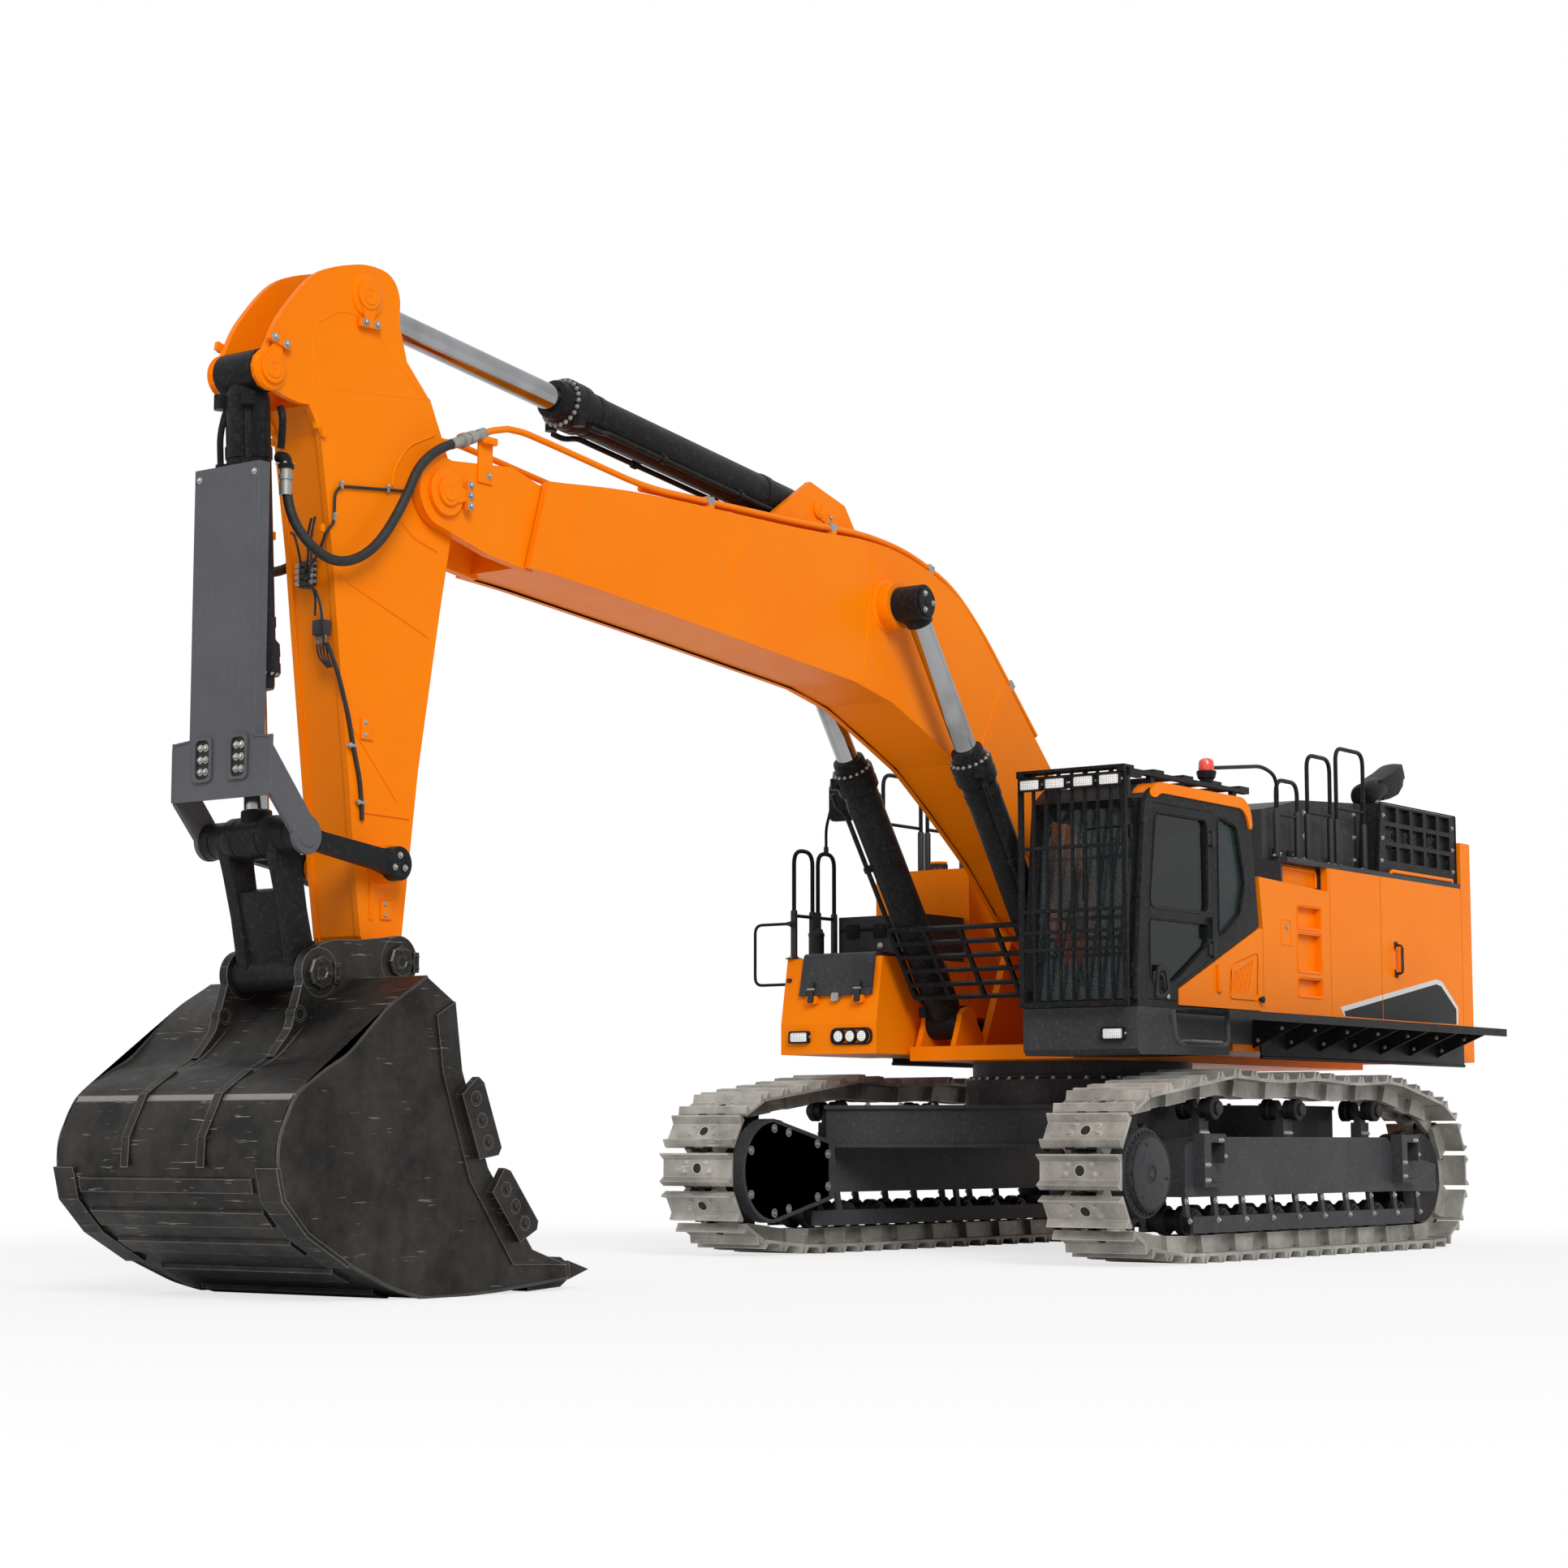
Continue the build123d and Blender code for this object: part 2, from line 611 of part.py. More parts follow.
# ================================================================ counterweight
with BuildPart() as counterweight:
    with BuildSketch(Plane.XY.offset(TAIL_BOTTOM)):
        Circle(TAIL_RADIUS)
        with Locations((-TAIL_RADIUS, 0)):
            Rectangle(2 * (TAIL_RADIUS + TAIL_FRONT), 2 * HOUSE_HALF, mode=Mode.INTERSECT)
    extrude(amount=TAIL_TOP - TAIL_BOTTOM)
    chamfer(counterweight.edges().filter_by(Axis.Z).group_by(Axis.X)[0], 70)
    slab(
        (
            (-TAIL_RADIUS - 10, TAIL_BOTTOM - 10),
            (-TAIL_RADIUS + 260, TAIL_BOTTOM - 10),
            (-TAIL_RADIUS - 10, TAIL_BOTTOM + 190),
        ),
        -HOUSE_HALF,
        HOUSE_HALF,
        mode=Mode.SUBTRACT,
    )
    for side in (-1, 1):
        y_low, y_high = mirrored(side, 900, 960)
        slab(
            (
                (TAIL_FRONT - 220, TAIL_TOP),
                (TAIL_FRONT - 40, TAIL_TOP),
                (TAIL_FRONT - 90, TAIL_TOP + 110),
                (TAIL_FRONT - 170, TAIL_TOP + 110),
            ),
            y_low,
            y_high,
        )
finish(counterweight, "counterweight")

# ================================================================ cab
WEDGE_REAR = 140.0
WEDGE_FRONT = 1470.0
WEDGE_NOSE = CAB_FLOOR + 145    # height of the wedge door at its front
WEDGE_TOP = CAB_FLOOR + 660     # height of the wedge door at its rear
WEDGE_DEPTH = 42.0
WEDGE_OUTLINE = (
    (WEDGE_REAR, PANEL_BOTTOM),
    (WEDGE_FRONT, PANEL_BOTTOM),
    (WEDGE_FRONT, WEDGE_NOSE),
    (WEDGE_REAR + 60, WEDGE_TOP),
    (WEDGE_REAR, WEDGE_TOP),
)
CAB_SIDE = (
    (CAB_REAR, CAB_FLOOR),
    (CAB_FRONT - 10, CAB_FLOOR),
    (CAB_FRONT, CAB_FLOOR + 90),
    (CAB_FRONT - 150, CAB_ROOF - 120),
    (CAB_FRONT - 310, CAB_ROOF),
    (CAB_REAR + 230, CAB_ROOF),
    (CAB_REAR + 110, CAB_ROOF - 120),
    (CAB_REAR, CAB_FLOOR + 700),
)
DOOR_OUTLINE = (
    (WEDGE_FRONT + 30, CAB_FLOOR + 60),
    (DOOR_FRONT + 60, CAB_FLOOR + 60),
    (DOOR_FRONT - 85, CAB_ROOF - 150),
    (DOOR_REAR, CAB_ROOF - 150),
    (DOOR_REAR, CAB_FLOOR + 410),
    (WEDGE_FRONT + 14, WEDGE_NOSE + 30),
)


def inset(points, gap):
    """The same (x, z) polygon, smaller by a gap all round."""
    with BuildSketch() as sketch:
        with BuildLine():
            Polyline(*points, close=True)
        make_face()
        offset(amount=-gap, kind=Kind.INTERSECTION, mode=Mode.REPLACE)
    edges = sketch.faces()[0].outer_wire().order_edges()
    return [((edge @ 0).X, (edge @ 0).Y) for edge in edges]


UPPER_WINDOW = (
    (DOOR_REAR + 90, CAB_FLOOR + 740),
    (DOOR_FRONT - 20, CAB_FLOOR + 740),
    (DOOR_FRONT - 130, CAB_ROOF - 220),
    (DOOR_REAR + 90, CAB_ROOF - 220),
)
LOWER_WINDOW = (
    (DOOR_REAR + 620, CAB_FLOOR + 200),
    (DOOR_FRONT - 20, CAB_FLOOR + 200),
    (DOOR_FRONT - 20, CAB_FLOOR + 640),
    (DOOR_REAR + 90, CAB_FLOOR + 640),
    (DOOR_REAR + 90, CAB_FLOOR + 480),
)
REAR_SIDE_WINDOW = (
    (DOOR_REAR - 110, CAB_FLOOR + 560),
    (DOOR_REAR - 110, CAB_ROOF - 170),
    (DOOR_REAR - 380, CAB_ROOF - 230),
    (DOOR_REAR - 500, CAB_FLOOR + 1000),
    (DOOR_REAR - 420, CAB_FLOOR + 760),
)
FRONT_WINDOW_Z = (CAB_FLOOR + 60, CAB_ROOF - 170)

with BuildPart() as cab_shell:
    slab(CAB_SIDE, CAB_INNER_Y, HOUSE_HALF)
    slab(inset(CAB_SIDE, CAB_WALL), CAB_INNER_Y + CAB_WALL, HOUSE_HALF - CAB_WALL, mode=Mode.SUBTRACT)
    slab(inset(DOOR_OUTLINE, -4), HOUSE_HALF - CAB_WALL, HOUSE_HALF, mode=Mode.SUBTRACT)
    slab(REAR_SIDE_WINDOW, HOUSE_HALF - CAB_WALL, HOUSE_HALF, mode=Mode.SUBTRACT)
    slab(inset(WEDGE_OUTLINE, -12), HOUSE_HALF - WEDGE_DEPTH, HOUSE_HALF, mode=Mode.SUBTRACT)
    slab(inset(DOOR_OUTLINE, 70), CAB_INNER_Y, CAB_INNER_Y + CAB_WALL, mode=Mode.SUBTRACT)
    block(
        (CAB_FRONT - 260, CAB_FRONT),
        (CAB_INNER_Y + 90, HOUSE_HALF - 90),
        FRONT_WINDOW_Z,
        mode=Mode.SUBTRACT,
    )
    block(
        (CAB_REAR, CAB_REAR + 260),
        (CAB_INNER_Y + 110, HOUSE_HALF - 110),
        (CAB_FLOOR + 900, CAB_ROOF - 220),
        mode=Mode.SUBTRACT,
    )
finish(cab_shell, "cab_shell")

with BuildPart() as cab_door:
    slab(DOOR_OUTLINE, HOUSE_HALF - CAB_WALL, HOUSE_HALF)
    slab(UPPER_WINDOW, HOUSE_HALF - CAB_WALL, HOUSE_HALF, mode=Mode.SUBTRACT)
    slab(LOWER_WINDOW, HOUSE_HALF - CAB_WALL, HOUSE_HALF, mode=Mode.SUBTRACT)
    block(
        (DOOR_REAR + 40, DOOR_REAR + 70),
        (HOUSE_HALF, HOUSE_HALF + 35),
        (CAB_FLOOR + 540, CAB_FLOOR + 700),
    )
finish(cab_door, "cab_door")

PANE = (0.4 * CAB_WALL, 0.6 * CAB_WALL)         # glass faces, in from the wall's outer face
with BuildPart() as door_glazing:
    for window in (UPPER_WINDOW, LOWER_WINDOW):
        slab(inset(window, SEAT), HOUSE_HALF - PANE[1], HOUSE_HALF - PANE[0])
finish(door_glazing, "door_glazing")


def leaning_pane(foot, top, z_low, z_high, y_low, y_high, inward):
    """Glass pane parallel to a leaning (x, z) wall line, its faces PANE deep in the wall."""
    slope = (top[0] - foot[0]) / (top[1] - foot[1])
    corners = [
        (foot[0] + (z - foot[1]) * slope + inward * depth, z)
        for z, depth in ((z_low, PANE[0]), (z_low, PANE[1]), (z_high, PANE[1]), (z_high, PANE[0]))
    ]
    slab(corners, y_low, y_high)


with BuildPart() as cab_glazing:
    slab(inset(REAR_SIDE_WINDOW, SEAT), HOUSE_HALF - PANE[1], HOUSE_HALF - PANE[0])
    slab(inset(DOOR_OUTLINE, 70 + SEAT), CAB_INNER_Y + PANE[0], CAB_INNER_Y + PANE[1])
    leaning_pane(
        CAB_SIDE[2],
        CAB_SIDE[3],
        FRONT_WINDOW_Z[0] + SEAT,
        FRONT_WINDOW_Z[1] - SEAT,
        CAB_INNER_Y + 90 + SEAT,
        HOUSE_HALF - 90 - SEAT,
        -1,
    )
    leaning_pane(
        CAB_SIDE[7],
        CAB_SIDE[6],
        CAB_FLOOR + 900 + SEAT,
        CAB_ROOF - 220 - SEAT,
        CAB_INNER_Y + 110 + SEAT,
        HOUSE_HALF - 110 - SEAT,
        1,
    )
finish(cab_glazing, "cab_glazing")

with BuildPart() as cab_skirt:
    slab(
        (
            (CAB_REAR, SKIRT_BOTTOM + 30),
            (CAB_FRONT - 40, SKIRT_BOTTOM),
            (CAB_FRONT, SKIRT_BOTTOM + 40),
            (CAB_FRONT, CAB_FLOOR - SEAT),
            (CAB_REAR, CAB_FLOOR - SEAT),
        ),
        CAB_INNER_Y + SEAT,
        HOUSE_HALF,
    )
    block((CAB_REAR, 700), (CAB_INNER_Y, HOUSE_HALF), (DECK_BOTTOM, DECK_TOP + SEAT), mode=Mode.SUBTRACT)
finish(cab_skirt, "cab_skirt")

SEAT_X = 760.0
SEAT_Y = (CAB_INNER_Y + HOUSE_HALF) / 2
CUSHION_HALF = 260.0
CUSHION_Z = CAB_FLOOR + CAB_WALL + SEAT + 330
BACKREST = 600.0
with BuildPart() as operator_seat:
    base_z = CAB_FLOOR + CAB_WALL + SEAT
    block((SEAT_X - 200, SEAT_X + 250), (SEAT_Y - 200, SEAT_Y + 200), (base_z, CUSHION_Z))
    block(
        (SEAT_X - CUSHION_HALF, SEAT_X + CUSHION_HALF + 20),
        (SEAT_Y - CUSHION_HALF, SEAT_Y + CUSHION_HALF),
        (CUSHION_Z, CUSHION_Z + 150),
    )
    slab(
        (
            (SEAT_X - 330, CUSHION_Z + 110),
            (SEAT_X - 200, CUSHION_Z + 110),
            (SEAT_X - 260, CUSHION_Z + 150 + BACKREST),
            (SEAT_X - 370, CUSHION_Z + 150 + BACKREST),
        ),
        SEAT_Y - CUSHION_HALF + 10,
        SEAT_Y + CUSHION_HALF - 10,
    )
    for side in (-1, 1):
        y_low, y_high = sorted((SEAT_Y + side * 275, SEAT_Y + side * 370))
        block((SEAT_X - 200, SEAT_X + 380), (y_low, y_high), (base_z, CUSHION_Z + 310))
finish(operator_seat, "operator_seat")

GUARD_X = CAB_FRONT + 55.0
GUARD_BARS = 7
GUARD_CROSS = (0.0, 0.235, 0.31, 0.4, 0.67, 0.97)    # cross bars, as shares of the guard's height
ROOF_SLATS = 5
GUARD_Y = (CAB_INNER_Y + 30, HOUSE_HALF - 20)
GUARD_Z = (CAB_FLOOR + 5, CAB_ROOF + 80)
with BuildPart() as cab_guard:
    y_low, y_high = GUARD_Y
    z_low, z_high = GUARD_Z
    for y in (y_low, y_high - 40):
        block((GUARD_X + 14, GUARD_X + 40), (y, y + 40), (z_low, z_high))
        block((CAB_FRONT + SEAT, GUARD_X + 14), (y, y + 40), (z_low + 60, z_low + 120))
        block((GUARD_X - 200, GUARD_X + 14), (y, y + 40), (z_high - 60, z_high - 30))
    for index in range(1, GUARD_BARS + 1):
        y = y_low + 20 + index * (y_high - y_low - 40) / (GUARD_BARS + 1)
        block((GUARD_X + 14, GUARD_X + 40), (y - 9, y + 9), (z_low, z_high))
    for share in GUARD_CROSS:
        z = z_low + share * (z_high - z_low)
        block((GUARD_X + 14, GUARD_X + 40), (y_low, y_high), (z, z + 26))
    # roof guard: two rails on posts, with slats across
    roof_rear, roof_front = CAB_REAR + 80, GUARD_X + 60
    for y in (y_low, y_high - 60):
        block((roof_rear, roof_front), (y, y + 60), (z_high - 30, z_high))
        for x in (CAB_REAR + 250, CAB_FRONT - 370):
            block((x, x + 60), (y, y + 40), (CAB_ROOF + SEAT, z_high - 30))
    slat_step = (roof_front - roof_rear - 150) / (ROOF_SLATS - 1)
    for index in range(ROOF_SLATS):
        x = roof_rear + index * slat_step
        block((x, x + 150), (y_low, y_high), (z_high, z_high + 22))
finish(cab_guard, "cab_guard")

# ================================================================ engine house
ENGINE = (1700.0, 1400.0, 1250.0)       # length, width, height
ENGINE_FRONT = HOUSE_FRONT - 970
with BuildPart() as engine_block:
    block(
        (ENGINE_FRONT - ENGINE[0], ENGINE_FRONT),
        (50 - ENGINE[1] / 2, 50 + ENGINE[1] / 2),
        (DECK_TOP + SEAT, DECK_TOP + ENGINE[2]),
    )
finish(engine_block, "engine_block")

TANK_REAR = TANK_FRONT - TANK_LENGTH
SILL = 30.0             # width of the sills under the hood
SILL_OUT = -BOX_INNER_Y + SILL
with BuildPart() as house_frame:
    y_reach = HOUSE_HALF - PANEL - SEAT
    block((HOUSE_FRONT, HOUSE_FRONT + BULKHEAD), (BOX_INNER_Y + 15, y_reach), (DECK_TOP, HOUSE_TOP - SEAT))
    block((HOUSE_REAR, HOUSE_REAR + BULKHEAD), (-y_reach, y_reach), (DECK_TOP, HOUSE_TOP - SEAT))
    block((TANK_REAR - 50, TANK_REAR - 20), (-y_reach, -SILL_OUT), (DECK_TOP, HOUSE_TOP - SEAT))
    for x in (PANEL_SEAM_X - 45, DOOR_SEAM_X + 15):
        block((x, x + BULKHEAD), (SILL_OUT, y_reach), (DECK_TOP, HOUSE_TOP - SEAT))
    for side, x_front in ((1, HOUSE_FRONT + BULKHEAD), (-1, TANK_REAR - 20)):
        sill = mirrored(side, SILL_OUT - SILL, SILL_OUT)
        block((HOUSE_REAR, x_front), sill, (HOUSE_TOP - 120, HOUSE_TOP - SEAT))
finish(house_frame, "house_frame")

with BuildPart() as hood:
    slab(
        (
            (HOUSE_REAR, HOUSE_TOP),
            (HOUSE_FRONT + BULKHEAD, HOUSE_TOP),
            (HOUSE_FRONT + BULKHEAD, HOOD_TOP - 190),
            (PANEL_SEAM_X, HOOD_TOP - 60),
            (DOOR_SEAM_X, HOOD_TOP),
            (HOUSE_REAR, HOOD_TOP),
        ),
        BOX_INNER_Y + 15,
        HOOD_HALF,
    )
    block((HOUSE_REAR, TANK_REAR - 20), (-HOOD_HALF, BOX_INNER_Y + 15), (HOUSE_TOP, HOOD_TOP))
    block(
        (HOUSE_REAR, HOUSE_FRONT + BULKHEAD),
        (HOOD_HALF, HOUSE_HALF),
        (HOUSE_TOP, HOUSE_TOP + HOOD_LEDGE),
    )
    block((HOUSE_REAR, TANK_REAR - 20), (-HOUSE_HALF, -HOOD_HALF), (HOUSE_TOP, HOUSE_TOP + HOOD_LEDGE))
finish(hood, "hood")

GRILLE_DEPTH = HOOD_LEDGE_WIDTH - 30 - SEAT
GRILLE_COLUMNS = 5
GRILLE_ROWS = 3
GRILLE_HOLE = (215.0, 125.0)
GRILLE_RELIEF = 40.0
with BuildPart() as grille_cover:
    x_low, x_high = HOUSE_REAR + 20, DOOR_SEAM_X - 40
    z_low, z_high = HOUSE_TOP + HOOD_LEDGE + SEAT, HOOD_TOP
    y_low = HOOD_HALF + SEAT
    y_high = y_low + GRILLE_DEPTH
    slab(
        (
            (x_low, z_low),
            (x_high, z_low),
            (x_high - 70, z_high),
            (x_low, z_high),
        ),
        y_low,
        y_high,
    )
    for column in range(GRILLE_COLUMNS):
        for row in range(GRILLE_ROWS):
            x = (x_low + x_high) / 2 - 15 + (column - (GRILLE_COLUMNS - 1) / 2) * (GRILLE_HOLE[0] + 50)
            z = (z_low + z_high) / 2 + 45 + (row - (GRILLE_ROWS - 1) / 2) * (GRILLE_HOLE[1] + 38)
            block(
                (x - GRILLE_HOLE[0] / 2, x + GRILLE_HOLE[0] / 2),
                (y_high - GRILLE_RELIEF, y_high),
                (z - GRILLE_HOLE[1] / 2, z + GRILLE_HOLE[1] / 2),
                mode=Mode.SUBTRACT,
            )
finish(grille_cover, "grille_cover")

STAIR_POCKETS = ((2005.0, 2135.0), (2200.0, 2485.0), (2540.0, 2700.0))
with BuildPart() as side_panel:
    slab(
        (
            (PANEL_SEAM_X - 30, PANEL_BOTTOM),
            (WEDGE_REAR - 10, PANEL_BOTTOM),
            (WEDGE_REAR - 10, WEDGE_TOP + 10),
            (WEDGE_REAR + 50, HOUSE_TOP - 150),
            (PANEL_SEAM_X, HOUSE_TOP - 190),
            (PANEL_SEAM_X, HOUSE_TOP - SEAT),
            (PANEL_SEAM_X - 30, HOUSE_TOP - SEAT),
        ),
        HOUSE_HALF - PANEL,
        HOUSE_HALF,
    )
    block(
        (HOUSE_FRONT + 40, WEDGE_REAR),
        (HOUSE_HALF - 400, HOUSE_HALF - PANEL),
        (DECK_TOP + SEAT, HOUSE_TOP - 190),
    )
    for z_low, z_high in STAIR_POCKETS:
        block(
            (PANEL_SEAM_X + 140, PANEL_SEAM_X + 530),
            (HOUSE_HALF - PANEL + 5, HOUSE_HALF),
            (z_low, z_high),
            mode=Mode.SUBTRACT,
        )
finish(side_panel, "side_panel")

LOUVRE_SLOTS = 7
LOUVRE_X = 390.0
LOUVRE_STEP = 46.0
LOUVRE_Z = (1975.0, 2240.0)
LOUVRE_DEPTH = 16.0
with BuildPart() as wedge_door:
    slab(WEDGE_OUTLINE, HOUSE_HALF - WEDGE_DEPTH + SEAT, HOUSE_HALF)
    for index in range(LOUVRE_SLOTS):
        x = LOUVRE_X + index * LOUVRE_STEP
        top = LOUVRE_Z[1] + 0.35 * (LOUVRE_X - x)
        slab(
            ((x, LOUVRE_Z[0]), (x + 22, LOUVRE_Z[0]), (x + 22 - 90, top), (x - 90, top)),
            HOUSE_HALF - LOUVRE_DEPTH,
            HOUSE_HALF,
            mode=Mode.SUBTRACT,
        )
finish(wedge_door, "wedge_door")

HANDLE_Z = 2365.0


def door_leaf(side):
    """Rear door of the engine house on one side, with its handle on two stems."""
    block(
        (HOUSE_REAR, DOOR_SEAM_X),
        mirrored(side, HOUSE_HALF - PANEL + SEAT, HOUSE_HALF),
        (PANEL_BOTTOM, HOUSE_TOP - SEAT),
    )
    x_range = (DOOR_SEAM_X - 280, DOOR_SEAM_X - 245)
    for z in (HANDLE_Z - 105, HANDLE_Z + 80):
        block(x_range, mirrored(side, HOUSE_HALF, HOUSE_HALF + 30), (z, z + 25))
    block(x_range, mirrored(side, HOUSE_HALF + 30, HOUSE_HALF + 55), (HANDLE_Z - 105, HANDLE_Z + 105))


with BuildPart() as rear_door:
    door_leaf(1)
finish(rear_door, "rear_door")

with BuildPart() as fixed_panel:
    block(
        (DOOR_SEAM_X + SEAM, PANEL_SEAM_X - 40),
        (HOUSE_HALF - PANEL + SEAT, HOUSE_HALF),
        (PANEL_BOTTOM, HOUSE_TOP - SEAT),
    )
finish(fixed_panel, "fixed_panel")

with BuildPart() as service_door:
    door_leaf(-1)
finish(service_door, "service_door_right")

with BuildPart() as right_panel:
    block(
        (DOOR_SEAM_X + SEAM, TANK_REAR - 20),
        (-HOUSE_HALF, -HOUSE_HALF + PANEL - SEAT),
        (PANEL_BOTTOM, HOUSE_TOP - SEAT),
    )
finish(right_panel, "right_panel")

EXHAUST = (-2900.0, 1150.0)     # (x, y) of the stack
EXHAUST_R = 110.0
with BuildPart() as exhaust:
    x, y = EXHAUST
    block((x - 200, x + 200), (y - 130, y + 130), (HOOD_TOP + SEAT, HOOD_TOP + 60))
    upright(x, y, EXHAUST_R - 30, HOOD_TOP + 60, HOOD_TOP + 240)
    rod((x + 120, HOOD_TOP + 150), (x - 600, HOOD_TOP + 380), 0, 330, EXHAUST_R, y)
    slab(
        (
            (x - 150, HOOD_TOP + 130),
            (x - 640, HOOD_TOP + 250),
            (x - 740, HOOD_TOP + 420),
            (x - 640, HOOD_TOP + 460),
            (x - 190, HOOD_TOP + 360),
        ),
        y - EXHAUST_R,
        y + EXHAUST_R,
    )
finish(exhaust, "exhaust")

BRACKETS = 7
CATWALK_PLATE = 20.0
with BuildPart() as catwalks:
    for side, x_front in ((1, CATWALK_FRONT), (-1, BOX_REAR)):
        y_wall, y_edge = side * (HOUSE_HALF + SEAT), side * CATWALK_OUT
        x_rear = TAIL_FRONT + 145
        floor_plan(
            (
                (x_front, side * (HOUSE_HALF + 45)),
                (x_front - 120, y_edge),
                (x_rear, y_edge),
                (x_rear + 380, side * (HOUSE_HALF + 45)),
            ),
            CATWALK_Z - CATWALK_PLATE,
            CATWALK_Z,
        )
        block(
            (x_rear, x_front - 120),
            mirrored(side, CATWALK_OUT - 12, CATWALK_OUT),
            (CATWALK_Z - CATWALK_LIP, CATWALK_Z - CATWALK_PLATE),
        )
        x_first = TAIL_FRONT + 560
        step = (BOX_REAR - 130 - x_first) / (BRACKETS - 1)
        for index in range(BRACKETS):
            x = x_first + index * step
            with BuildSketch(Plane((x, 0, 0), x_dir=(0, 1, 0), z_dir=(1, 0, 0))):
                with BuildLine():
                    Polyline(
                        (y_wall, CATWALK_Z - CATWALK_PLATE),
                        (y_edge - side * 12, CATWALK_Z - CATWALK_PLATE),
                        (y_edge - side * 12, CATWALK_Z - CATWALK_LIP),
                        (y_wall, DECK_TOP - 30),
                        close=True,
                    )
                make_face()
            extrude(amount=14)
finish(catwalks, "catwalks")

# ================================================================ right front
with BuildPart() as toolbox:
    slab(
        (
            (BOX_REAR, DECK_TOP + SEAT),
            (BOX_REAR, BOX_TOP),
            (BOX_FRONT - BOX_LEAN, BOX_TOP),
            (BOX_FRONT, BOX_BREAK_Z),
            (BOX_FRONT, SKIRT_BOTTOM + 55),
            (BOX_REAR + 90, SKIRT_BOTTOM + 55),
            (BOX_REAR + 90, DECK_TOP + SEAT),
        ),
        -HOUSE_HALF,
        BOX_INNER_Y,
    )
finish(toolbox, "toolbox")

LID_DROP = 300.0        # how far the lid comes down over the front face
lean = BOX_LEAN / (BOX_TOP - BOX_BREAK_Z)
lid_x = BOX_FRONT - BOX_LEAN + 2 * SEAT
with BuildPart() as toolbox_lid:
    slab(
        (
            (BATTERY_FRONT + 20, BOX_TOP + SEAT),
            (lid_x, BOX_TOP + SEAT),
            (lid_x + LID_DROP * lean, BOX_TOP - LID_DROP),
            (lid_x + LID_DROP * lean + LID, BOX_TOP - LID_DROP),
            (lid_x + LID - 20, BOX_TOP + LID - 15),
            (lid_x + LID - 45, BOX_TOP + LID),
            (BATTERY_FRONT + 20, BOX_TOP + LID),
        ),
        -HOUSE_HALF + 170,
        BOX_INNER_Y - 60,
    )
finish(toolbox_lid, "toolbox_lid")

with BuildPart() as battery_box:
    block((BOX_REAR, BATTERY_FRONT), (-HOUSE_HALF + 60, BOX_INNER_Y - 40), (BOX_TOP + SEAT, BOX_TOP + 365))
finish(battery_box, "battery_box")

with BuildPart() as fuel_tank:
    block((TANK_REAR, TANK_FRONT), (-HOUSE_HALF, BOX_INNER_Y), (PANEL_BOTTOM, TANK_TOP))
    chamfer(fuel_tank.edges().filter_by(Axis.X).group_by(Axis.Z)[-1], 45)
    upright(TANK_FRONT - 260, BOX_INNER_Y - 460, 70, TANK_TOP, TANK_TOP + 90)
finish(fuel_tank, "fuel_tank")

LEDGE = HOUSE_TOP + HOOD_LEDGE
LEFT_RAIL_Y = (HOOD_HALF + HOUSE_HALF) / 2
RIGHT_RAIL_Y = -HOUSE_HALF + 40
RAIL_LOOPS = {
    # y, front x, rear x, foot z, top z, height of the middle bar
    "handrails_left": (
        (LEFT_RAIL_Y, -340, -700, LEDGE, 3700, 3420),
        (LEFT_RAIL_Y, -880, -1285, LEDGE, 3950, 3480),
        (LEFT_RAIL_Y, -1400, -1900, LEDGE, 4060, 3560),
    ),
    "handrails_right": (
        (RIGHT_RAIL_Y, 1640, 1390, BOX_TOP, 3170, 2640),
        (RIGHT_RAIL_Y, 1315, 1090, BOX_TOP, 3170, 2640),
        (RIGHT_RAIL_Y, 380, -180, TANK_TOP, 3900, 3480),
        (RIGHT_RAIL_Y, -280, -820, TANK_TOP, 3900, 3480),
    ),
}
for name, loops in RAIL_LOOPS.items():
    with BuildPart() as handrails:
        for y, x_front, x_rear, foot, top, middle in loops:
            foot += SEAT
            tube(
                (
                    (x_front, y, foot),
                    (x_front, y, top - RAIL_BEND),
                    (x_front - RAIL_BEND, y, top),
                    (x_rear + RAIL_BEND, y, top),
                    (x_rear, y, top - RAIL_BEND),
                    (x_rear, y, foot),
                )
            )
            block((x_rear, x_front), (y - RAIL_R / 2, y + RAIL_R / 2), (middle, middle + RAIL_R))
    finish(handrails, name)

# ================================================================ lamps and mirror
BEACON_X = 795.0
LAMP = (34.0, 190.0, 95.0)      # depth, width, height
LAMP_PLACES = (
    # x of the back face, y of the middle, z of the middle
    (GUARD_X + 40 + SEAT, GUARD_Y[0] + 120, GUARD_Z[1] - 85),
    (GUARD_X + 40 + SEAT, GUARD_Y[0] + 335, GUARD_Z[1] - 85),
    (GUARD_X + 40 + SEAT, GUARD_Y[1] - 335, GUARD_Z[1] - 85),
    (GUARD_X + 40 + SEAT, GUARD_Y[1] - 120, GUARD_Z[1] - 85),
    (CAB_FRONT + SEAT, HOUSE_HALF - 190, SKIRT_BOTTOM + 150),
    (BOX_FRONT + SEAT, -HOUSE_HALF + 190, SKIRT_BOTTOM + 190),
)
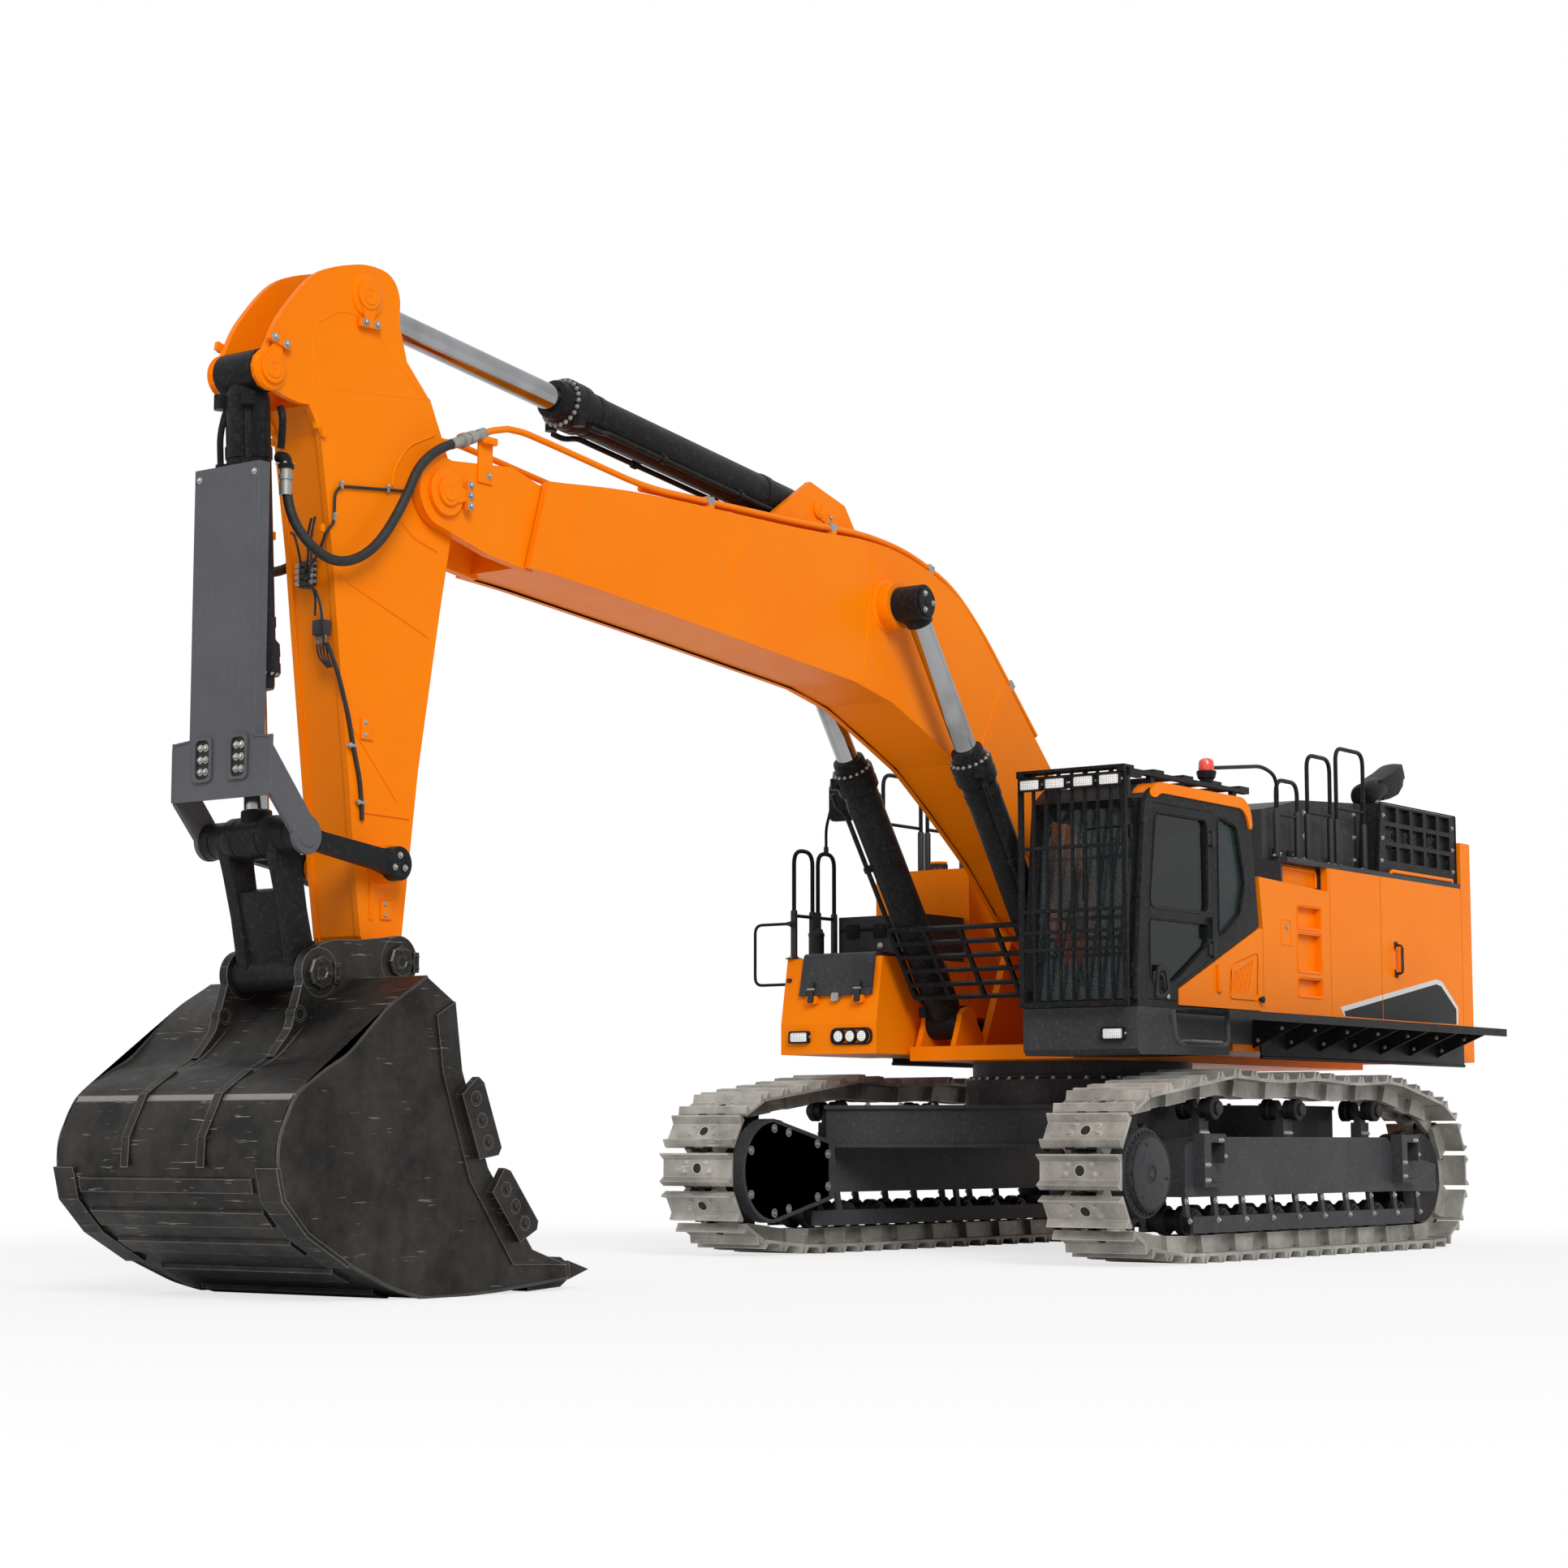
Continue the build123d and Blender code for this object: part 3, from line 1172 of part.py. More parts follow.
with BuildPart() as work_lamps:
    for x, y, z in LAMP_PLACES:
        block((x, x + LAMP[0]), (y - LAMP[1] / 2, y + LAMP[1] / 2), (z - LAMP[2] / 2, z + LAMP[2] / 2))
    # a row of three round lamps in one housing
    block(
        (BOX_FRONT + SEAT, BOX_FRONT + LAMP[0]),
        (BOX_INNER_Y - 400, BOX_INNER_Y - 60),
        (SKIRT_BOTTOM + 130, SKIRT_BOTTOM + 250),
    )
    # lamp on a stem at the rear corner of the hood
    stem = ((HOUSE_REAR - 60, HOUSE_REAR - SEAT), (HOOD_HALF - 40, HOOD_HALF - 10), (HOOD_TOP - 90, HOOD_TOP - 60))
    head = ((HOUSE_REAR - 110, HOUSE_REAR - 60), (HOOD_HALF - 90, HOOD_HALF + 40), (HOOD_TOP - 110, HOOD_TOP - 10))
    block(*stem)
    block(*head)
    # beacon on its base, over the roof guard
    upright(BEACON_X, GUARD_Y[1] - 90, 75, GUARD_Z[1] + 22 + SEAT, GUARD_Z[1] + 95)
    upright(BEACON_X, GUARD_Y[1] - 90, 58, GUARD_Z[1] + 95, GUARD_Z[1] + 205)
finish(work_lamps, "work_lamps")

MIRROR_RAIL_X = (1640.0 + RAIL_R, 1700.0)
with BuildPart() as mirrors:
    # side loop on the front rail, and the raised arm with its mirror
    tube(
        (
            (MIRROR_RAIL_X[1], RIGHT_RAIL_Y, BOX_TOP + 280),
            (MIRROR_RAIL_X[1], RIGHT_RAIL_Y - 300, BOX_TOP + 280),
            (MIRROR_RAIL_X[1], RIGHT_RAIL_Y - 340, BOX_TOP + 240),
            (MIRROR_RAIL_X[1], RIGHT_RAIL_Y - 340, BOX_TOP - 160),
            (MIRROR_RAIL_X[1], RIGHT_RAIL_Y - 300, BOX_TOP - 200),
            (MIRROR_RAIL_X[1], -HOUSE_HALF - SEAT, BOX_TOP - 200),
        ),
        0.7 * RAIL_R,
    )
    block(
        (MIRROR_RAIL_X[0] + SEAT, MIRROR_RAIL_X[1] + 15),
        (RIGHT_RAIL_Y - 15, RIGHT_RAIL_Y + 25),
        (BOX_TOP + 255, BOX_TOP + 305),
    )
    tube(
        (
            (1200, RIGHT_RAIL_Y, 3170 + RAIL_R + SEAT),
            (1200, RIGHT_RAIL_Y, 3370),
            (1300, RIGHT_RAIL_Y + 130, 3560),
            (1420, RIGHT_RAIL_Y + 290, 3640),
        ),
        0.7 * RAIL_R,
    )
    block((1400, 1450), (RIGHT_RAIL_Y + 200, RIGHT_RAIL_Y + 440), (3400, 3720))
finish(mirrors, "mirrors")

# ================================================================ boom
BOOM_LENGTH = distance(BOOM_FOOT, BOOM_TIP)
ARM_LUG_GAP = ARM_CYL_R + CLEAR
BOOM_TOP_LINE = (
    # share of the boom's length, height over the pin line
    (0.127, 1005),
    (0.280, 1610),
    (0.339, 1765),
    (0.415, 1760),
    (0.485, 1640),
    (0.582, 1365),
    (0.782, 840),
    (0.899, 470),
)
BOOM_LOW_LINE = (
    (0.899, -130),
    (0.847, -30),
    (0.651, 300),
    (0.546, 470),
    (0.462, 605),
    (0.403, 645),
    (0.345, 605),
    (0.281, 550),
    (0.215, 400),
    (0.139, 200),
    (0.075, -40),
)
BOOM_HEEL = ((0, -BOOM_FOOT_R + 20), (-0.026, 0), (0, BOOM_FOOT_R))


def boom_point(share, across):
    """Point at a share of the boom's length from its foot, across its pin line."""
    return on_line(BOOM_FOOT, BOOM_TIP, share * BOOM_LENGTH, across)


BOOM_SIDE = 40.0         # thickness of the boom's side plates, which stand proud of its other plates
BOOM_STEP = 14.0
FORK = (
    (0.889, -120),
    (0.889, 440),
    (0.935, 430),
    (1.0, BOOM_TIP_R),
    (1.0, -BOOM_TIP_R),
    (0.94, -190),
)
ARM_CYL_LUG = ((0.46, 1600), (0.505, 1850), (0.56, 1830), (0.63, 1150))
boom_side = [boom_point(*station) for station in BOOM_TOP_LINE + BOOM_LOW_LINE + BOOM_HEEL]
with BuildPart() as boom:
    for side in (-1, 1):
        slab(boom_side, *mirrored(side, BOOM_HALF - BOOM_SIDE, BOOM_HALF))
    slab(inset(boom_side, BOOM_STEP), -BOOM_HALF + BOOM_SIDE, BOOM_HALF - BOOM_SIDE)
    disc(BOOM_FOOT, BOOM_FOOT_R, -BOOM_HALF, BOOM_HALF)
    for side in (-1, 1):
        y_low, y_high = mirrored(side, ARM_HALF + CLEAR, ARM_HALF + CLEAR + FORK_PLATE)
        slab([boom_point(*station) for station in FORK], y_low, y_high)
        disc(BOOM_TIP, BOOM_TIP_R, y_low, y_high)
        disc(BOOM_TIP, BOOM_TIP_R - 70, *mirrored(side, ARM_HALF + CLEAR, ARM_HALF + CLEAR + FORK_PLATE + 30))
        disc(BOOM_CYL_TOP, 170, *mirrored(side, BOOM_HALF, BOOM_CYL_Y - BOOM_EYE_HALF - SEAT))
        y_low, y_high = mirrored(side, ARM_LUG_GAP, ARM_LUG_GAP + 45)
        slab([boom_point(*station) for station in ARM_CYL_LUG], y_low, y_high)
        disc(ARM_CYL_FOOT, 150, y_low, y_high)
finish(boom, "boom")

# (x, distance out from the middle, z) of each bucket cylinder hose, from the boom's pipe down
# beside the arm's pivot and up to the barrel's port
HOSE_ROUTE = (
    (7850, 288, 5062),
    (8095, 288, 4960),
    (8275, 296, 4610),
    (8520, 300, 4295),
    (8815, 292, 4170),
    (9060, 262, 4285),
    (9160, 215, 4500),
    (9160, 215, 4700),
)
HOSE_COUPLING = 250.0    # length of the coupling before the hose
HOSE_BRACKET = ((7455, 7585), (4880, 5190))

PIPE_R = 21.0
PIPE_OVER = PIPE_R + 30                    # pipe's axis over the boom's top edge
PIPE_YS = (228.0, 280.0)
PIPE_STATIONS = (0.16, 0.28, 0.339, 0.415, 0.485, 0.582, 0.76)
PIPE_CLAMPS = (0.22, 0.377, 0.53, 0.7)


def top_point(share):
    """Point on the boom's top edge at a share of the boom's length."""
    for (low, height_low), (high, height_high) in zip(BOOM_TOP_LINE, BOOM_TOP_LINE[1:]):
        if low <= share < high:
            return boom_point(share, height_low + (height_high - height_low) * (share - low) / (high - low))
    return boom_point(*BOOM_TOP_LINE[-1])


pipe_route = beside([top_point(share) for share in PIPE_STATIONS], PIPE_OVER)
with BuildPart() as boom_pipes:
    for side in (-1, 1):
        for y in PIPE_YS:
            tube([(x, side * y, z) for x, z in pipe_route], PIPE_R, 6)
        for share in PIPE_CLAMPS:
            here, ahead = top_point(share), top_point(share + 0.01)
            rise = PIPE_OVER - PIPE_R - SEAT
            corners = ((-25, SEAT), (25, SEAT), (25, rise), (-25, rise))
            slab(
                [on_line(here, ahead, *corner) for corner in corners],
                *mirrored(side, PIPE_YS[0] - 30, BOOM_HALF - 2),
            )
        start, out = (HOSE_ROUTE[0][0], HOSE_ROUTE[0][2]), HOSE_ROUTE[0][1]
        ahead = (HOSE_ROUTE[1][0], HOSE_ROUTE[1][2])
        fork_out = ARM_HALF + CLEAR + FORK_PLATE
        bracket_x, bracket_z = HOSE_BRACKET
        block(bracket_x, mirrored(side, fork_out + SEAT, fork_out + 50), bracket_z)
        rod(start, ahead, -HOSE_COUPLING - 150, 0, HOSE_R + 8, side * out)
finish(boom_pipes, "boom_pipes")

HEAD_EYE = ARM_HALF - HEAD_PLATE - SEAT


ROD_OVERLAP = 60.0       # from the rod's end, inside its eye, to the pin's centre
GLAND = 100.0
GLAND_BACK = 90.0        # from the gland's flange to the barrel's end
GLAND_STEP = 26.0


def cylinder_barrel(foot, top, radius, bore, length, y, eye_half):
    """Barrel with its foot eye and its gland, closed at the foot and bored for the rod."""
    disc(foot, radius - 2, y - eye_half, y + eye_half)
    rod(foot, top, 100, length, radius, y)
    rod(foot, top, length - GLAND_BACK - GLAND, length - GLAND_BACK, radius + GLAND_STEP, y)
    rod(foot, top, 230, length + 5, bore, y, mode=Mode.SUBTRACT)


def cylinder_rod(foot, top, radius, length, y, eye_half, eye_radius):
    """Rod with its eye at the top pin."""
    whole = distance(foot, top)
    disc(top, eye_radius, y - eye_half, y + eye_half)
    rod(foot, top, whole - length, whole - ROD_OVERLAP, radius, y, over_flats=True)


with BuildPart() as boom_cylinders:
    for side in (-1, 1):
        cylinder_barrel(
            BOOM_CYL_FOOT,
            BOOM_CYL_TOP,
            BOOM_CYL_R,
            BOOM_ROD_R + SEAT,
            BOOM_BARREL,
            side * BOOM_CYL_Y,
            CYL_LUG_GAP - SEAT,
        )
finish(boom_cylinders, "boom_cylinder_barrels")

with BuildPart() as boom_rods:
    for side in (-1, 1):
        y = side * BOOM_CYL_Y
        cylinder_rod(BOOM_CYL_FOOT, BOOM_CYL_TOP, BOOM_ROD_R, BOOM_BARREL - 50, y, BOOM_EYE_HALF, 130)
finish(boom_rods, "boom_cylinder_rods")

GUARD_BAR = 15.0         # half thickness of the cylinder guard's bars
GUARD_RISE = (330.0, 450.0, 575.0, 700.0, 825.0, 950.0)
GUARD_HALF = BOOM_CYL_Y + 110
GUARD_UPRIGHTS = 5


def guard_bar(along_low, along_high, y_low, y_high):
    """Square bar in the guard's plane, which lies in front of both boom cylinders."""
    across = -(BOOM_CYL_R + SEAT + GUARD_BAR)
    corners = (
        (along_low, across - GUARD_BAR),
        (along_low, across + GUARD_BAR),
        (along_high, across + GUARD_BAR),
        (along_high, across - GUARD_BAR),
    )
    slab([on_line(BOOM_CYL_FOOT, BOOM_CYL_TOP, *corner) for corner in corners], y_low, y_high)


with BuildPart() as cylinder_guard:
    for along in GUARD_RISE:
        guard_bar(along - GUARD_BAR, along + GUARD_BAR, -GUARD_HALF, GUARD_HALF)
    for index in range(GUARD_UPRIGHTS):
        y = -GUARD_HALF + 2 * GUARD_HALF * index / (GUARD_UPRIGHTS - 1)
        guard_bar(GUARD_RISE[0], GUARD_RISE[-1], y - GUARD_BAR, y + GUARD_BAR)
finish(cylinder_guard, "boom_cylinder_guard")

# ================================================================ arm
ARM_LENGTH = distance(BOOM_TIP, BUCKET_PIN)


def arm_point(along, across):
    """Point along the arm from its boom pin, in front of its pin line."""
    return on_line(BOOM_TIP, BUCKET_PIN, along, across)


ARM_BOX = (
    # distance along from the boom pin, in front of the pin line
    (-560, 145),
    (-380, 20),
    (-230, -80),
    (0, -205),
    (215, -175),
    (730, -150),
    (1705, -120),
    (2700, -140),
    (ARM_LENGTH, -140),
    (ARM_LENGTH, 100),
    (2770, 200),
    (2375, 320),
    (1980, 420),
    (975, 700),
    (585, 805),
    (-45, 1005),
    (-190, 1130),
    (-330, 1000),
)
ARM_HEAD = (
    (-550, 145),
    (-715, 375),
    (-910, 470),
    (-1080, 500),
    (-1175, 580),
    (-1190, 710),
    (-1135, 910),
    (-965, 1200),
    (-645, 1420),
    (-430, 1500),
    (-290, 1540),
    (-215, 1485),
    (-170, 1345),
    (-185, 1125),
    (-325, 995),
)
ARM_STEP = 12.0          # side plates proud of the arm's other plates
arm_side = [arm_point(*station) for station in ARM_BOX]
with BuildPart() as arm:
    for side in (-1, 1):
        slab(arm_side, *mirrored(side, ARM_HALF - HEAD_PLATE, ARM_HALF))
        slab([arm_point(*station) for station in ARM_HEAD], *mirrored(side, ARM_HALF - HEAD_PLATE, ARM_HALF))
        disc(BUCKET_CYL_FOOT, 120, *mirrored(side, ARM_HALF - HEAD_PLATE, ARM_HALF + 12))
        disc(ARM_CYL_TOP, 130, *mirrored(side, ARM_HALF - HEAD_PLATE, ARM_HALF + 12))
        disc(ROCKER_FOOT, 110, *mirrored(side, ARM_HALF, LINK_LANE - SEAT))
        disc(BUCKET_PIN, 140, *mirrored(side, ARM_HALF - 5, BUCKET_EAR_IN - SEAT))
    slab(inset(arm_side, ARM_STEP), -ARM_HALF + HEAD_PLATE, ARM_HALF - HEAD_PLATE)
finish(arm, "arm")

with BuildPart() as arm_cylinder:
    cylinder_barrel(ARM_CYL_FOOT, ARM_CYL_TOP, ARM_CYL_R, ARM_ROD_R + SEAT, ARM_BARREL, 0, ARM_LUG_GAP - SEAT)
finish(arm_cylinder, "arm_cylinder_barrel")

with BuildPart() as arm_rod:
    cylinder_rod(ARM_CYL_FOOT, ARM_CYL_TOP, ARM_ROD_R, ARM_BARREL, 0, HEAD_EYE, 140)
finish(arm_rod, "arm_cylinder_rod")

with BuildPart() as bucket_cylinder:
    cylinder_barrel(BUCKET_CYL_FOOT, LINK_TOP, BUCKET_CYL_R, BUCKET_ROD_R + SEAT, BUCKET_BARREL, 0, HEAD_EYE)
    end_x, end_out, end_z = HOSE_ROUTE[-1]
    for side in (-1, 1):
        block((end_x - 55, end_x + 55), mirrored(side, BUCKET_CYL_R - 18, end_out + 45), (end_z, end_z + 110))
finish(bucket_cylinder, "bucket_cylinder_barrel")

HOSE_BEND = 0.45         # share of the shorter run that an arc's tangent takes


def bend_radii(points):
    """Radius of the largest arc that fits at each inner point of a route."""
    stops = [Vector(*point) for point in points]
    radii = []
    for before, here, after in zip(stops, stops[1:], stops[2:]):
        turn = (here - before).get_angle(after - here)
        shorter = min((here - before).length, (after - here).length)
        radii.append(HOSE_BEND * shorter / tan(radians(turn / 2)))
    return radii


with BuildPart() as arm_hoses:
    for side in (-1, 1):
        route = [(x, side * out, z) for x, out, z in HOSE_ROUTE]
        radii = bend_radii(route)
        with BuildLine() as middle:
            FilletPolyline(*route, radius=radii)
        path = middle.wire()
        start = Plane(origin=path @ 0, z_dir=path % 0)
        with BuildSketch(start):
            Circle(HOSE_R)
        sweep(path=path)
        exact = pi * HOSE_R**2 * path.length
        print("hose radii", [round(r) for r in radii], "volume", arm_hoses.part.volume, "of", exact)
finish(arm_hoses, "arm_hoses")

with BuildPart() as bucket_rod:
    cylinder_rod(BUCKET_CYL_FOOT, LINK_TOP, BUCKET_ROD_R, BUCKET_BARREL + 40, 0, ROD_EYE_HALF, 125)
finish(bucket_rod, "bucket_cylinder_rod")

GUARD_PLATE = 12.0
GUARD_FACE = LINK_TOP[0] + 278
GUARD_EAR_IN = LINK_LANE + ROCKER_PLATE + SEAT
GUARD_EAR_OUT = GUARD_EAR_IN + 28
GUARD_SHEET = (540.0, 2110.0)       # bottom and top of the sheet over the link's top pin
GUARD_SHEET_HALF = 260.0
with BuildPart() as rod_guard:
    x_face = (GUARD_FACE, GUARD_FACE + GUARD_PLATE)
    z_low, z_high = (LINK_TOP[1] + height for height in GUARD_SHEET)
    block(x_face, (-GUARD_SHEET_HALF, GUARD_SHEET_HALF), (z_low, z_high))
    for side in (-1, 1):
        y_low, y_high = mirrored(side, GUARD_SHEET_HALF - GUARD_PLATE, GUARD_SHEET_HALF)
        block((GUARD_FACE - 70, GUARD_FACE), (y_low, y_high), (z_low, z_high))
    block(x_face, (-GUARD_EAR_OUT, GUARD_EAR_OUT), (LINK_TOP[1] + 200, z_low))
    for side in (-1, 1):
        y_low, y_high = mirrored(side, GUARD_EAR_IN, GUARD_EAR_OUT)
        disc(LINK_TOP, 110, y_low, y_high)
        slab(
            (
                (LINK_TOP[0] - 70, LINK_TOP[1] + 60),
                (LINK_TOP[0] + 20, LINK_TOP[1] - 105),
                (GUARD_FACE, LINK_TOP[1] + 190),
                (GUARD_FACE, LINK_TOP[1] + 480),
            ),
            y_low,
            y_high,
        )
finish(rod_guard, "bucket_rod_guard")

ROCKER_LENGTH = distance(ROCKER_FOOT, LINK_TOP)
with BuildPart() as rockers:
    for side in (-1, 1):
        y_low, y_high = sorted((side * LINK_LANE, side * (LINK_LANE + ROCKER_PLATE)))
        disc(ROCKER_FOOT, 100, y_low, y_high)
        disc(LINK_TOP, 105, y_low, y_high)
        corners = ((0, 90), (0, -90), (ROCKER_LENGTH, -75), (ROCKER_LENGTH, 75))
        slab([on_line(ROCKER_FOOT, LINK_TOP, *corner) for corner in corners], y_low, y_high)
finish(rockers, "rocker_links")

LINK_LENGTH = distance(LINK_FOOT, LINK_TOP)
LINK_WEB = (
    # along from the bucket's pin, across
    (40, 80),
    (0.63 * LINK_LENGTH, 100),
    (0.63 * LINK_LENGTH, -100),
    (40, -80),
)
LINK_EAR = (
    (0.61 * LINK_LENGTH, 100),
    (LINK_LENGTH, 110),
    (LINK_LENGTH, -110),
    (0.61 * LINK_LENGTH, -100),
)
LINK_WEB_HALF = 230.0
with BuildPart() as bucket_link:
    disc(LINK_FOOT, 105, -BUCKET_EAR_IN + SEAT, BUCKET_EAR_IN - SEAT)
    slab([on_line(LINK_FOOT, LINK_TOP, *corner) for corner in LINK_WEB], -LINK_WEB_HALF, LINK_WEB_HALF)
    for side in (-1, 1):
        disc(LINK_TOP, 125, *mirrored(side, ROD_EYE_HALF + SEAT, LINK_LANE - SEAT))
        y_low, y_high = mirrored(side, ROD_EYE_HALF + 40, LINK_WEB_HALF)
        slab([on_line(LINK_FOOT, LINK_TOP, *corner) for corner in LINK_EAR], y_low, y_high)
finish(bucket_link, "bucket_link")

# ================================================================ bucket
BUCKET_SHELL_LINE = (
    # outer line of the shell from the bucket pin, from its top edge round to the cutting edge
    (343, -120),
    (649, -292),
    (963, -568),
    (1148, -659),
    (1359, -792),
    (1476, -1020),
    (1482, -1178),
    (1437, -1349),
    (1254, -1530),
    (941, -1700),
    (600, -1840),
    (359, -1903),
    (92, -1915),
    (-321, -1885),
    (-896, -1836),
)
BUCKET_FRONT_LINE = (
    # the side plate's front edge, from the cutting edge up
    (-880, -1760),
    (-566, -1662),
    (-172, -1191),
    (57, -640),
    (119, -250),
)
LIP_LINE = ((-321, -1835), (-1000, -1780), (-1000, -1500), (-600, -600), (60, -180), (330, -190))
EAR_OUTLINE = (
    (0, -150),
    (0, 150),
    (650, 50),
    (780, -140),
    (870, -420),
    (1000, -570),
    (940, -600),
    (640, -310),
    (343, -150),
)
LIFTING_HOLE = (800, -330)


def at_bucket(points):
    """(x, z) points given from the bucket pin."""
    return [(BUCKET_PIN[0] + x, BUCKET_PIN[1] + z) for x, z in points]


def on_shell(first, last, thickness, inner=6.0):
    """Outline of a plate that follows the shell's outer line between two of its points."""
    outer = beside(BUCKET_SHELL_LINE, thickness)[first : last + 1]
    under = beside(BUCKET_SHELL_LINE, -inner)[first : last + 1]
    return at_bucket(outer + under[::-1])


def wear_bar(segment, low_share, high_share):
    """Outline of a bar across the shell, between two shares of one segment of its outer line."""
    a, b = BUCKET_SHELL_LINE[segment], BUCKET_SHELL_LINE[segment + 1]
    low, high = low_share * distance(a, b), high_share * distance(a, b)
    corners = ((low, -6), (high, -6), (high - 14, WEAR_PLATE), (low + 14, WEAR_PLATE))
    return at_bucket([on_line(a, b, *corner) for corner in corners])


WEAR_BARS = (
    # segment of the shell line, shares of it from and to
    (6, 0.25, 0.85),
    (7, 0.25, 0.80),
    (8, 0.20, 0.65),
    (9, 0.20, 0.65),
    (10, 0.20, 0.80),
)
TOOTH_YS = [
    -BUCKET_HALF + 120 + index * 2 * (BUCKET_HALF - 120) / (TOOTH_COUNT - 1)
    for index in range(TOOTH_COUNT)
]
ADAPTER = (
    (-610, -1905),
    (-900, -1890),
    (-985, -1838),
    (-985, -1762),
    (-900, -1715),
    (-660, -1705),
    (-620, -1765),
)
TOOTH = ((-985 - SEAT, -1850), (-1170, -1795), (-985 - SEAT, -1740))
CUTTER_SPANS = (
    # from the bucket pin: upper and lower end of each cutter on the side edge
    ((35, -700), (-150, -1140)),
    ((-205, -1235), (-500, -1585)),
)
# the hollow follows the shell line's points up to the flat lip
bucket_hollow = beside(BUCKET_SHELL_LINE, -BUCKET_SHELL)[1:-2]
with BuildPart() as bucket:
    slab(at_bucket(BUCKET_SHELL_LINE + BUCKET_FRONT_LINE), -BUCKET_HALF, BUCKET_HALF)
    slab(
        at_bucket(bucket_hollow + list(LIP_LINE)),
        -BUCKET_HALF + BUCKET_SHELL,
        BUCKET_HALF - BUCKET_SHELL,
        mode=Mode.SUBTRACT,
    )
    for station in WEAR_BARS:
        slab(wear_bar(*station), -BUCKET_HALF + 190, BUCKET_HALF - 190)
    for side in (-1, 1):
        # heel shroud, side edge plate, ear and its strap over the round back
        slab(on_shell(6, 9, 22), *mirrored(side, BUCKET_HALF - 150, BUCKET_HALF + 12))
        slab(
            at_bucket(BUCKET_FRONT_LINE + ((270, -330), (215, -660), (-20, -1260), (-400, -1745))),
            *mirrored(side, BUCKET_HALF, BUCKET_HALF + 14),
        )
        y_low, y_high = mirrored(side, BUCKET_EAR_IN, BUCKET_EAR_IN + BUCKET_EAR_PLATE)
        disc(BUCKET_PIN, 150, y_low, y_high)
        disc(LINK_FOOT, 140, y_low, y_high)
        slab(at_bucket(EAR_OUTLINE), y_low, y_high)
        disc(at_bucket((LIFTING_HOLE,))[0], 32, y_low, y_high, mode=Mode.SUBTRACT)
        slab(on_shell(3, 6, 22), y_low, y_high)
    # adapters that grip the lip
    for y in TOOTH_YS:
        slab(at_bucket(ADAPTER), y - TOOTH_HALF, y + TOOTH_HALF)
finish(bucket, "bucket")

with BuildPart() as bucket_teeth:
    for y in TOOTH_YS:
        slab(at_bucket(TOOTH), y - TOOTH_HALF + 8, y + TOOTH_HALF - 8)
finish(bucket_teeth, "bucket_teeth")

with BuildPart() as side_cutters:
    for side in (-1, 1):
        y_low, y_high = mirrored(side, BUCKET_HALF + 14 + SEAT, BUCKET_HALF + 64)
        for start, end in CUTTER_SPANS:
            length = distance(start, end)
            corners = (
                (40, 95),
                (0, -70),
                (0.1 * length, -100),
                (length - 30, -100),
                (length, -60),
                (length - 40, 95),
            )
            slab(at_bucket([on_line(start, end, *corner) for corner in corners]), y_low, y_high)
finish(side_cutters, "side_cutters")
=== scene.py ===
"""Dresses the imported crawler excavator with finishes, fittings, light and a camera."""

import logging
import math
from dataclasses import dataclass
from enum import Enum

import bmesh
import bpy
from mathutils import Matrix, Vector


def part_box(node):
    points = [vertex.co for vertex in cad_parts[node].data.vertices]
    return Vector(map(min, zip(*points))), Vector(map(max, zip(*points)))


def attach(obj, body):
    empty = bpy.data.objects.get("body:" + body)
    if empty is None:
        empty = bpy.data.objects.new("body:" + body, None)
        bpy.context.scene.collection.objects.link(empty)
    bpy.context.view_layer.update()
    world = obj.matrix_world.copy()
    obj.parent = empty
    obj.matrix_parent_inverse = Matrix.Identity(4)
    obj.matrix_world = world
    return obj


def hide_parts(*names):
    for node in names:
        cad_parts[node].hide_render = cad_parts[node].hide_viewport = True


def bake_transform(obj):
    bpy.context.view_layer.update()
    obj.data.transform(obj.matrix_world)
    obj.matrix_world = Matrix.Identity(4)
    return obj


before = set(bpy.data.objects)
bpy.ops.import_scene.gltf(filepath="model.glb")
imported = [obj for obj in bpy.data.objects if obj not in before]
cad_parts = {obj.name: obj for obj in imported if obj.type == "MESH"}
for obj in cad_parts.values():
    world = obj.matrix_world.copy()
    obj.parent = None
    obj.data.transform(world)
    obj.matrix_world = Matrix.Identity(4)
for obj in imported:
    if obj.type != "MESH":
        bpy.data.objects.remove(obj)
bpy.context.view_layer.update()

MM = 0.001
log = logging.getLogger("excavator")
Flat = tuple[float, float]
Point = tuple[float, float, float]
Outline = list[Flat]
Route = tuple[Flat, ...]
Points = list[Vector]
SIDES = (-1, 1)
BEND_STEPS = 6
# inputs of the MapRange node and the colour inputs of the Mix node
FROM_LOW, FROM_HIGH, TO_LOW, TO_HIGH = 1, 2, 3, 4
UNDER, OVER = 6, 7
# pins of the front in the (x, z) plane, in millimetres
BOOM_FOOT: Flat = (250.0, 2480.0)
BOOM_TIP: Flat = (7875.0, 4765.0)
BOOM_ROD_PIN: Flat = (3199.0, 4713.0)
ARM_BARREL_PIN: Flat = (3902.0, 5325.0)
ARM_ROD_PIN: Flat = (8499.0, 5853.0)
BUCKET_BARREL_PIN: Flat = (9273.0, 5254.0)
ROCKER_PIN: Flat = (8333.0, 2475.0)
LINK_TOP: Flat = (9122.0, 2580.0)
LINK_FOOT: Flat = (8937.0, 1817.0)
BUCKET_PIN: Flat = (8287.0, 1906.0)
# length of the boom, side of the cab and house, and middle of the cab, in millimetres
BOOM_LENGTH = 7960.0
SIDE_Y = 1700.0
CAB_Y = 1220.0


